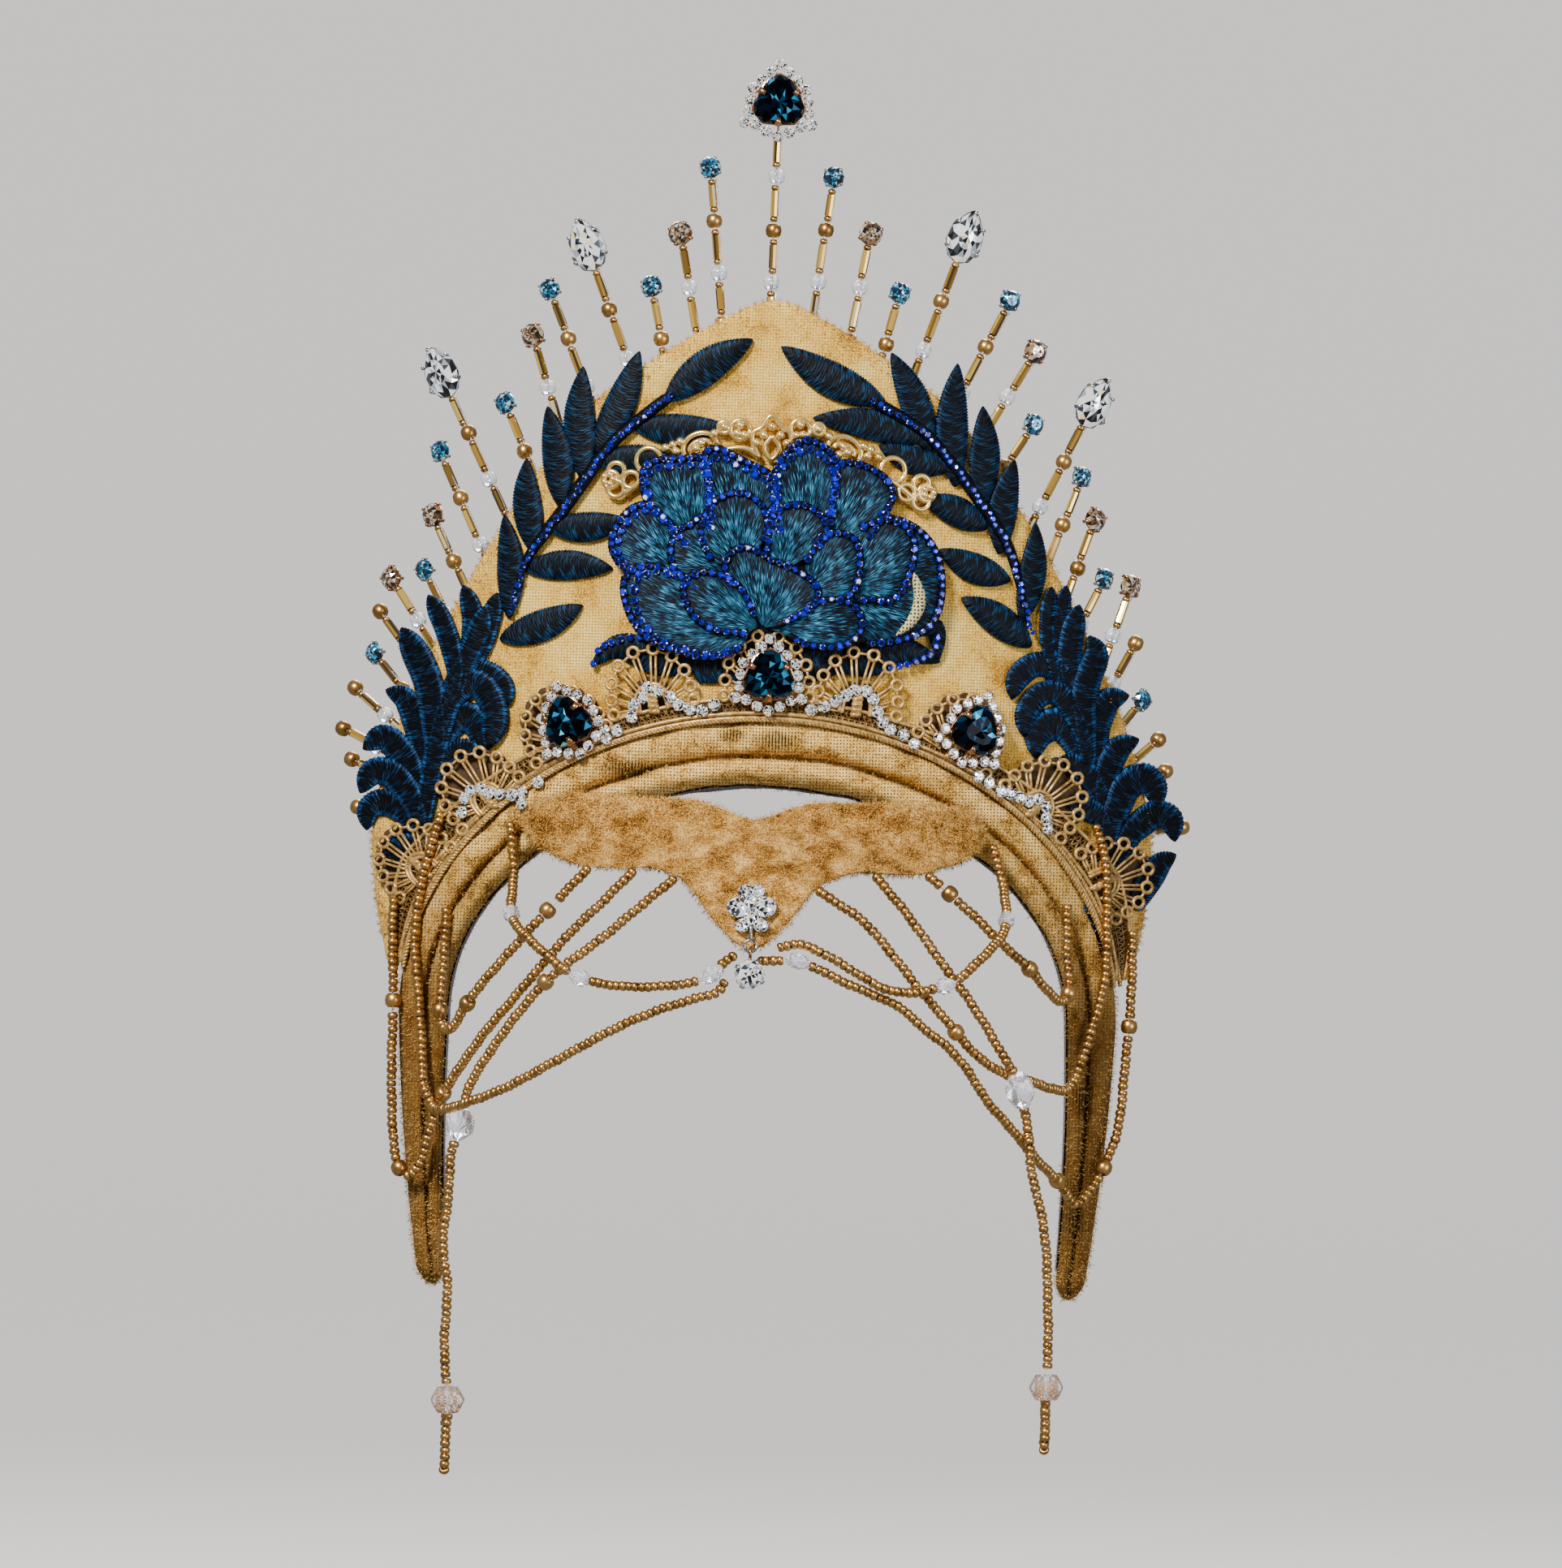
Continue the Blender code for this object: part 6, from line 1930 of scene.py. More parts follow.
        def surface(u: Array, v: Array) -> Mapped:
            """Gives the sheet's points.

            Args:
                u: Places round the fan, from 0 to 1.
                v: Places out from its hub.

            Returns:
                The points and the values kept on them.
            """
            degrees = (u - 0.5) * (self.span + 8)
            scallop = 1.5 * np.abs(np.cos(np.pi * u * self.rings))
            reach = (self.reach(degrees) + scallop) * v * scale * share
            return on_crown(hub + on_circle(90 + turn + degrees) * reach[:, None], 0.3), {}

        return mapped_grid(name, 80, 6, surface, self.kit.finishes.dark_shade_sheet)


CLEAR_STONES = (
    (-32.8, 16), (-32.5, 19), (-30.4, 20.8), (-29.2, 23.3), (-26.6, 22.5), (-23.4, 21.2), (-21.3, 19.3),
    (-18.5, 18.3), (-15.5, 18), (-12.5, 19.5), (11.3, 18.9), (14.5, 19.8), (17.3, 21.3), (19.8, 22.7),
    (22, 24), (24.8, 23.9), (26.6, 21.9), (27.7, 18.9), (29, 16.4), (31, 14.6), (-74.4, -8.6),
    (-73.9, -5.1), (-72.4, -3.1), (-69.8, -2.6), (-67.8, -3.6), (-65.1, -3.7), (-62.1, -4), (-59.6, -3.2),
    (-59.5, -6), (53.1, 3.6), (55.8, 2.1), (58.8, 0.1), (61, -0.4), (63.4, -1.2), (65.8, -2.2),
    (68.2, -1.6), (70.1, -3.4), (70.2, -6.2), (70.6, -8.8), (-36.4, 12.6), (-39, 10.6), (-55.6, -0.6),
    (34.2, 13.4), (37, 11.2),
)


@dataclass
class LaceStones:
    """The clear rhinestones that follow the waves of the lace, each in a small silver cup."""

    kit: Kit
    radius: float = 1.5
    lift: float = 3.5

    def build(self) -> None:
        """Builds the stones as one piece."""
        heap = Heap("lace_rhinestones")
        for k, (x, z) in enumerate(CLEAR_STONES):
            place = crown_frame(x, z, self.lift, k * 33)
            set_stone(heap, self.kit, place, self.radius, self.kit.finishes.crystal, self.kit.finishes.silver)
        deliver(heap.build(), "clear_glass")


@dataclass
class Filigree:
    """The stamped brass comb behind the flower: rings, scrolls and grains on an arched bar."""

    kit: Kit
    rings: tuple[tuple[float, float, float], ...] = (
        (-7.9, 87.5, 2.4), (6.9, 87.9, 2.4), (-11.9, 88, 1.4), (11.4, 88, 1.4), (-30.2, 79.4, 3.1),
        (29.9, 78.5, 3.1),
    )
    arches: tuple[tuple[float, float, float], ...] = ((-17.7, 83.6, 22.0), (17.8, 83.6, -22.0))
    clusters: Line = (
        (-0.1, 88.4), (-2.1, 86.3), (2, 86.4), (-8.6, 86.6), (-6.9, 86.2), (6, 86.4), (7.6, 86.6),
        (-8, 88.6), (6.9, 89), (-3.9, 84.4), (3.6, 84.4), (-11.9, 88.1), (11.4, 88.1), (-14.3, 86.4),
        (14, 86.4), (-22.6, 84.2), (-24.4, 83.4), (-23.6, 81.8), (22.6, 84.2), (24.4, 83.4), (23.6, 81.8),
        (-26.2, 82.6), (26.4, 81.6), (-18.6, 82.6), (-16.6, 82), (-17.4, 84), (18.6, 82.6), (16.6, 82),
        (17.6, 84),
    )
    rosettes: tuple[tuple[float, float, float], ...] = ((-37.0, 74.5, 180.0), (35.9, 73.2, 0.0))
    crest: Line = (
        (-3, 80.6), (-4.8, 84.4), (-4.5, 87), (-2.6, 88.2), (-0.2, 91.2), (2.4, 88.2), (4.3, 87), (4.6, 84.4),
        (2.8, 80.6),
    )
    drop: Line = ((0, 86.2), (-1.9, 83.2), (0, 80.4), (1.9, 83.2), (0, 86.2))
    bar: Line = ((-36, 71), (-30, 75.6), (-20, 80.2), (-8, 83), (-3, 81))
    lift: float = 2.1

    def grains(self, heap: Heap, places: Sequence[tuple[float, float]], size: float) -> None:
        """Adds round grains to the mesh at some places (x, z), of that size."""
        frames = [crown_frame(x, z, self.lift + 0.3, 0, size) for x, z in places]
        heap.place(self.kit.shapes.granule, frames, self.kit.finishes.brass)

    def circle(self, x: float, z: float, radius: float) -> Array:
        """Gives a round line on the crown about (x, z)."""
        return on_crown(radius * on_circle(np.linspace(0, 360, 22)) + (x, z), self.lift)

    def build(self) -> None:
        """Builds the comb."""
        brass = self.kit.finishes.brass
        wire = Threads("filigree_wire", brass, 0.66, 2)
        heap = Heap("filigree_grains")
        for x, z, radius in self.rings:
            wire.lay(self.circle(x, z, radius))
        for x, z, lean in self.arches:
            for wide, tall in ((4.3, 3.4), (2.6, 1.5)):
                turn = np.radians(np.linspace(-15, 195, 22))
                tilt = math.radians(lean)
                over = np.stack([wide * np.cos(turn), tall * np.sin(turn)], axis=-1)
                spun = over @ np.array([[math.cos(tilt), math.sin(tilt)], [-math.sin(tilt), math.cos(tilt)]])
                wire.lay(on_crown(spun + (x, z - 0.6), self.lift))
        self.grains(heap, self.clusters, 2.3)
        for x, z, heading in self.rosettes:
            for off in (-62.0, 0.0, 62.0, 180.0):
                turn = math.radians(heading + off)
                wire.lay(self.circle(x + 2.5 * math.cos(turn), z + 2.5 * math.sin(turn), 2.0))
            out = math.copysign(3.1, math.cos(math.radians(heading)))
            turns = [k * 1.257 for k in range(5)]
            petals = [(x + out + 1.2 * math.cos(turn), z + 0.1 + 1.2 * math.sin(turn)) for turn in turns]
            self.grains(heap, petals, 1.9)
        for line in (self.crest, self.drop):
            wire.lay(on_crown(smooth_line(line, 6), self.lift))
        bar = smooth_line(self.bar, 8)
        for sign in (1, -1):
            wire.lay(on_crown(bar * (sign, 1), self.lift - 0.1), np.full(len(bar), 1.2))
        deliver(joined("filigree_brass", [wire.build(), heap.build()]), "gold_metal", "filigree_arc")


@dataclass
class HaloStone:
    """A pointed dark stone with three claws, ringed by small clear stones in rose gold cups."""

    kit: Kit
    stone_radius: float = 6.1
    small_radius: float = 1.36
    bulge: float = 0.12
    halo: Line = (
        (0, 9.4), (2.1, 7.4), (4.3, 5.4), (6.5, 3.3), (7, 0.4), (7.3, -2.5), (8.2, -5.3), (5.5, -5.8),
        (2.8, -7.3), (0, -8.4),
    )

    def pointed(self, points: Array) -> Array:
        """Draws round points out to the rounded triangle."""
        points[:, :2] *= self.reach(np.arctan2(points[:, 1], points[:, 0]))[:, None]
        return points

    def reach(self, angle: Array | float) -> Array:
        """Gives the radius of a rounded triangle that points towards +Y, about 1."""
        return 1 + self.bulge * np.cos(3 * (angle - math.pi / 2))

    def add(self, heap: Heap, place: Matrix) -> None:
        """Adds the whole stone to a mesh.

        Args:
            heap: The mesh.
            place: The matrix of the plate's back.
        """
        made = self.kit.finishes
        seat = place @ Matrix.Translation((0, 0, 2.5)) @ Matrix.Scale(self.stone_radius, 4)
        heap.place(ShapeBox.cut_stone(15, 0.56, 0.42, 0.3).warped(self.pointed), seat, made.navy_stone)
        rim = self.kit.shapes.cup.warped(self.pointed)
        heap.place(rim, seat @ Matrix.Diagonal((1.03, 1.03, 0.62, 1)), made.rose)
        for k in range(3):
            turn = math.pi / 2 + 2 * math.pi * (k + 0.5) / 3
            reach = float(self.reach(turn)) - 1
            claw = seat @ Matrix.Rotation(turn, 4, "Z") @ Matrix.Translation((reach - 0.02, 0, 0.28))
            heap.place(self.kit.shapes.prong, claw @ Matrix.Diagonal((1, 1, 0.8, 1)), made.rose)
        for x, y in {(sign * x, y) for x, y in self.halo for sign in (1, -1)}:
            small = place @ Matrix.Translation((x, y, 1.5)) @ Matrix.Rotation(x * 3.1 + y, 4, "Z")
            set_stone(heap, self.kit, small, self.small_radius, made.crystal, made.rose, 3)


@dataclass
class BandStones:
    """The three haloed stones that lie on the lace."""

    kit: Kit
    rows: tuple[tuple[str, float, float, float], ...] = (
        ("centre", 0.8, 26.8, 0.0), ("left", -47.8, 14.4, 22.0), ("right", 51.2, 14.8, -22.0),
    )
    back: float = 2.9

    def build(self) -> None:
        """Builds each stone as its own piece."""
        stone = HaloStone(self.kit)
        for name, x, z, turn in self.rows:
            heap = Heap(f"band_stone_{name}_set")
            stone.add(heap, crown_frame(x, z, self.back, turn))
            deliver(heap.build(), "blue_glass", f"band_stone_{name}")


# Spikes


class Tip(Enum):
    """What ends a spike: how far it reaches from its middle along the wire."""

    CHATON = 2.8
    TOPAZ = 2.81
    BEAD = 2.1
    PEAR = 6.75
    HALO = 7.4


class Order(Enum):
    """Which beads come first below the stone, each with its length along the wire."""

    GOLD = (("bugle", 8.4), ("gold", 4.0), ("bugle", 9.0), ("clear", 4.0))
    CLEAR = (("bugle", 8.8), ("clear", 4.0), ("bugle", 9.4), ("gold", 4.0))
    BUGLE = (("bugle", 8.4), ("clear", 4.0))


@dataclass(frozen=True)
class SpikeRow:
    """A spike by the place of its stone and its lean from upright."""

    node: str
    x: float
    z: float
    lean: float
    tip: Tip
    order: Order


def numbered(side: str, rows: Sequence[tuple[float, float, float, Tip, Order]]) -> list[SpikeRow]:
    """Names one side's spikes from the ear to the top."""
    return [SpikeRow(f"spike_{side}_{k:02d}", *row) for k, row in enumerate(rows, 1)]


LEFT_SPIKES = numbered("left", (
    (-102.8, 3.9, -68, Tip.BEAD, Order.BUGLE), (-105.2, 11.5, -64, Tip.BEAD, Order.BUGLE),
    (-102.4, 21.7, -50, Tip.BEAD, Order.BUGLE), (-97.7, 30.5, -40, Tip.CHATON, Order.GOLD),
    (-96.5, 40.9, -38, Tip.BEAD, Order.BUGLE), (-93.9, 49.2, -34, Tip.TOPAZ, Order.CLEAR),
    (-85.6, 51.4, -28, Tip.CHATON, Order.BUGLE), (-83.8, 65.1, -26, Tip.TOPAZ, Order.GOLD),
    (-82.4, 80.9, -25, Tip.CHATON, Order.GOLD), (-82.7, 100.5, -26, Tip.PEAR, Order.GOLD),
    (-66.4, 93.1, -24, Tip.CHATON, Order.GOLD), (-59.9, 109.9, -18, Tip.TOPAZ, Order.CLEAR),
    (-56.0, 121.4, -22, Tip.CHATON, Order.GOLD), (-47.1, 132.5, -21, Tip.PEAR, Order.GOLD),
    (-30.8, 122.5, -12, Tip.CHATON, Order.GOLD), (-24.0, 135.7, -11, Tip.TOPAZ, Order.CLEAR),
    (-17.0, 152.1, -6, Tip.CHATON, Order.GOLD),
))
RIGHT_SPIKES = numbered("right", (
    (100.1, 6.2, 60, Tip.BEAD, Order.BUGLE), (98.1, 14.0, 48, Tip.BEAD, Order.BUGLE),
    (93.8, 23.7, 38, Tip.CHATON, Order.GOLD), (91.7, 37.8, 28, Tip.BEAD, Order.BUGLE),
    (90.0, 52.0, 18, Tip.TOPAZ, Order.CLEAR), (83.3, 53.6, 26, Tip.CHATON, Order.BUGLE),
    (80.7, 68.2, 19, Tip.TOPAZ, Order.GOLD), (77.0, 78.7, 20, Tip.CHATON, Order.GOLD),
    (79.7, 97.2, 26, Tip.PEAR, Order.GOLD), (64.6, 91.2, 32, Tip.CHATON, Order.GOLD),
    (64.6, 109.2, 30, Tip.TOPAZ, Order.CLEAR), (57.9, 121.6, 26, Tip.CHATON, Order.GOLD),
    (46.5, 136.9, 19, Tip.PEAR, Order.GOLD), (30.6, 122.5, 14, Tip.CHATON, Order.GOLD),
    (23.0, 136.9, 10, Tip.TOPAZ, Order.CLEAR), (13.5, 150.5, 7, Tip.CHATON, Order.GOLD),
))
CENTRE_SPIKE = SpikeRow("spike_centre", -0.4, 168.5, 1, Tip.HALO, Order.CLEAR)
LOW_PINS = (
    SpikeRow("", -100.9, -8.0, -88, Tip.BEAD, Order.BUGLE),
    SpikeRow("", 104.7, -7.7, 80, Tip.BEAD, Order.BUGLE),
)


@dataclass
class Spikes:
    """Wired stems of beads that stand up behind the crown's edge, each with a stone on its end."""

    kit: Kit
    thickness: float = 3.0
    clearance: float = 1.5
    wire_radius: float = 0.32
    tail: float = 9.0
    pear_size: tuple[float, float, float] = (4.6, 6.7, 4.2)
    pear_claws: tuple[tuple[float, float, float], ...] = (
        (0, 6.6, 90), (3.6, 3, 25), (-3.6, 3, 155), (4.1, -3.6, -40), (-4.1, -3.6, 220),
    )

    def edge_reach(self, tip: Array, down: Array) -> float:
        """Gives how far the crown's edge lies from a spike's stone.

        Args:
            tip: The stone's place (x, z).
            down: The flat direction towards the crown.

        Returns:
            The distance.
        """
        edge = crown_edge(np.linspace(0, 1, 400))
        along = np.diff(edge, axis=0)
        cross = down[0] * along[:, 1] - down[1] * along[:, 0]
        to = edge[:-1] - tip
        distance = (to[:, 0] * along[:, 1] - to[:, 1] * along[:, 0]) / cross
        share = (to[:, 0] * down[1] - to[:, 1] * down[0]) / cross
        return float(distance[(distance > 0) & (share >= 0) & (share <= 1)].min())

    def frame_of(self, row: SpikeRow) -> tuple[Matrix, float]:
        """Works out where a spike stands.

        Args:
            row: The spike.

        Returns:
            The matrix at its stone, +Z along the wire, and its length to the crown's edge.
        """
        lean = math.radians(row.lean)
        down = np.array([-math.sin(lean), -math.cos(lean)])
        tip = np.array([row.x, row.z])
        reach = self.edge_reach(tip, down)
        foot = tip + down * reach
        slope = wrap_slope(float(foot[0]))
        up = Vector((-down[0], -down[0] * slope, -down[1])).normalized()
        facing = Vector((slope, -1, 0)).normalized()
        facing = (facing - up * facing.dot(up)).normalized()
        side = up.cross(facing)
        stretch = Vector((down[0], down[0] * slope, down[1])).length
        behind = self.thickness + self.clearance * math.hypot(1, slope)
        root = Vector((foot[0], float(wrap_depth(foot[0])) + behind, foot[1]))
        turn = Matrix((side, -facing, up)).transposed().to_4x4()
        return Matrix.Translation(root + up * reach * stretch) @ turn, reach * stretch

    def thread(self, heap: Heap, place: Matrix, row: SpikeRow, length: float) -> None:
        """Threads the beads below the stone.

        Args:
            heap: The mesh that they go into.
            place: The matrix at the stone.
            row: The spike.
            length: How far the crown's edge lies below the stone.
        """
        made, shapes = self.kit.finishes, self.kit.shapes
        at, index = row.tip.value, 0
        while at < length + 2:
            kind, size = row.order.value[index % len(row.order.value)]
            sway = 0.12 * math.sin(index * 2.1 + row.x)
            middle = place @ Matrix.Translation((sway, 0, -(at + size / 2)))
            if kind == "bugle":
                for end in (-1, 1):
                    seed = middle @ Matrix.Translation((0, 0, end * (size / 2 - 0.85)))
                    turned = seed @ Matrix.Scale(1.02, 4) @ Matrix.Rotation(0.3 * end, 4, "Z")
                    heap.place(shapes.fine_seed, turned, made.bead)
                heap.place(shapes.bugle, middle @ Matrix.Diagonal((1, 1, size - 3.1, 1)), made.bugle)
            else:
                finish = made.bead if kind == "gold" else made.clear
                heap.place(shapes.round, middle @ Matrix.Scale(0.98, 4), finish)
            at += size
            index += 1

    def stone(self, heap: Heap, place: Matrix, row: SpikeRow) -> None:
        """Adds what ends a spike.

        Args:
            heap: The mesh that it goes into.
            place: The matrix at the stone.
            row: The spike.
        """
        made, shapes = self.kit.finishes, self.kit.shapes
        front = place @ Matrix.Rotation(math.pi / 2, 4, "X")
        if row.tip is Tip.BEAD:
            heap.place(shapes.round, place @ Matrix.Scale(0.98, 4), made.bead)
        elif row.tip is Tip.HALO:
            HaloStone(self.kit).add(heap, front)
        elif row.tip is Tip.PEAR:
            self.pear(heap, front)
        else:
            stone = made.chaton if row.tip is Tip.CHATON else made.topaz
            tilt = front @ Matrix.Rotation(0.25 * math.sin(row.x), 4, "Z")
            size, cup = (2.65, made.silver) if row.tip is Tip.CHATON else (2.95, made.rose)
            set_stone(heap, self.kit, tilt, size, stone, cup)

    def drawn_out(self, points: Array) -> Array:
        """Draws the points of a round shape out to the pear.

        Args:
            points: Points about the shape's middle, for a radius of 1.

        Returns:
            The same rows, moved.
        """
        rise = np.clip(points[:, 1], 0, 1)
        points *= self.pear_size
        points[:, 0] *= 1 - 0.55 * rise**1.5
        return points

    def pear(self, heap: Heap, front: Matrix) -> None:
        """Adds a pear-shaped stone that points away from the wire, in a silver rim with claws.

        Args:
            heap: The mesh that it goes into.
            front: The stone's matrix.
        """
        made, shapes = self.kit.finishes, self.kit.shapes
        cut = ShapeBox.cut_stone(14, 0.5, 0.5, 0.4)
        heap.place(cut.warped(self.drawn_out), front, made.crystal)
        rim = front @ Matrix.Diagonal((1.03, 1.03, 0.8, 1))
        heap.place(shapes.cup.warped(self.drawn_out), rim, made.silver)
        for x, y, turn in self.pear_claws:
            claw = front @ Matrix.Translation((x, y, 0.8)) @ spin(turn)
            inward = Matrix.Scale(3.4, 4) @ Matrix.Translation((-1.04, 0, 0))
            heap.place(shapes.prong, claw @ inward, made.silver)

    def spike(self, name: str, row: SpikeRow) -> Piece:
        """Builds one spike with its wire, its second thread and the tail that is sewn behind.

        Args:
            name: The piece's name.
            row: The spike.

        Returns:
            The mesh object.
        """
        made = self.kit.finishes
        place, length = self.frame_of(row)
        heap = Heap(name)
        self.thread(heap, place, row, length)
        self.stone(heap, place, row)
        wire = Threads(f"{name}_wire", made.nylon, self.wire_radius)
        ends = [place @ Vector((0, 0, -row.tip.value * 0.6)), place @ Vector((0, 0, -length - self.tail))]
        wire.lay(np.array(ends))
        below = length - row.tip.value
        second = [
            place @ Vector((0.75 + 0.5 * math.sin(3.1 * s + row.z), -0.5, -row.tip.value - s * below))
            for s in np.linspace(0, 1, 9)
        ]
        wire.lay(np.array(second), np.full(9, 0.55))
        return joined(name, [heap.build(), wire.build()])

    def build(self) -> None:
        """Builds every spike as its own piece, and the two lowest pins."""
        slots = {
            Tip.CHATON: "blue_glass", Tip.TOPAZ: "topaz_glass", Tip.BEAD: "gold_bead",
            Tip.PEAR: "clear_glass", Tip.HALO: "blue_glass",
        }
        for row in (*LEFT_SPIKES, *RIGHT_SPIKES, CENTRE_SPIKE):
            deliver(self.spike(f"{row.node}_beads", row), slots[row.tip], row.node)
        for k, row in enumerate(LOW_PINS, 1):
            deliver(self.spike(f"low_pin_{k}", row), "gold_bead")


# Pendant on the brow's point


@dataclass
class Pendant:
    """The cluster of clear stones on the point, its links and the round drop."""

    kit: Kit
    cluster: tuple[tuple[float, float, float], ...] = (
        (-1.5, -25.4, 1.9), (1.3, -25.2, 1.9), (-3.2, -30.2, 2.9), (3.2, -30, 2.9), (0, -33.3, 1.85),
        (-2.2, -35.6, 1.85), (2.4, -35.4, 1.85), (0, -27.6, 1.5),
    )
    middle_z: float = -31.0
    link_radius: float = 1.5
    loop_z: float = -41.0
    drop_radius: float = 3.6

    def build(self) -> None:
        """Builds the cluster with its wires, and the drop on its ring."""
        made, middle_z = self.kit.finishes, self.middle_z
        here, below = float(drape_depth(PEAK_X, middle_z)), float(drape_depth(PEAK_X, middle_z - 1))
        lean = here - below
        normal = Vector((0, -1, lean)).normalized()
        centre = Vector((PEAK_X, here - PEAK_THICKNESS - 1.3, middle_z))
        heap = Heap("peak_cluster_stones")
        up = Vector((0, lean, 1)).normalized()
        for x, z, radius in self.cluster:
            spot = centre + Vector((x, 0, 0)) + up * (z - middle_z) + normal * 0.9
            set_stone(heap, self.kit, facing_frame(spot, normal, 20 * x), radius, made.crystal, made.silver)
        wires = Threads("peak_cluster_wires", made.silver, 0.4)
        loop_middle = centre + up * (self.loop_z - middle_z)
        for x, z, _ in self.cluster:
            foot = centre + Vector((x, 0, 0)) + up * (z - middle_z)
            wires.lay(np.array([foot, centre, loop_middle + Vector((0, 0, self.link_radius))]))
        turn = np.linspace(0, 2 * math.pi, 17)
        loop = [loop_middle + Vector((math.cos(t), 0, math.sin(t))) * self.link_radius for t in turn]
        wires.lay(np.array(loop))
        deliver(joined("peak_cluster_set", [heap.build(), wires.build()]), "clear_glass", "peak_cluster")
        heap = Heap("peak_drop_stone")
        hang = loop_middle + Vector((0, 0, -2.2 * self.link_radius - self.drop_radius))
        tilted = facing_frame(hang, (0.1, -1, -0.08), 15)
        set_stone(heap, self.kit, tilted, self.drop_radius, made.crystal, made.silver)
        ring = Threads("peak_drop_ring", made.rose, 0.4)
        middle = loop_middle + Vector((0, 0, -1.2 * self.link_radius))
        loop = [middle + Vector((0, math.cos(t), math.sin(t))) * self.link_radius for t in turn]
        stem = [middle + Vector((0, 0, -self.link_radius)), hang + Vector((0, 0.4, self.drop_radius))]
        ring.lay(np.array(loop))
        ring.lay(np.array(stem))
        deliver(joined("peak_drop_set", [heap.build(), ring.build()]), "clear_glass", "peak_drop")


# Strings of beads

RouteTable = tuple[tuple[float, float, float, str], ...]


def route(*rows: tuple[float | str, ...]) -> RouteTable:
    """Fills in a string's points (x, z, lift, bead) where a row leaves out its lift or its bead."""
    return tuple((*row, *(0, "")[len(row) - 2 :]) for row in rows)


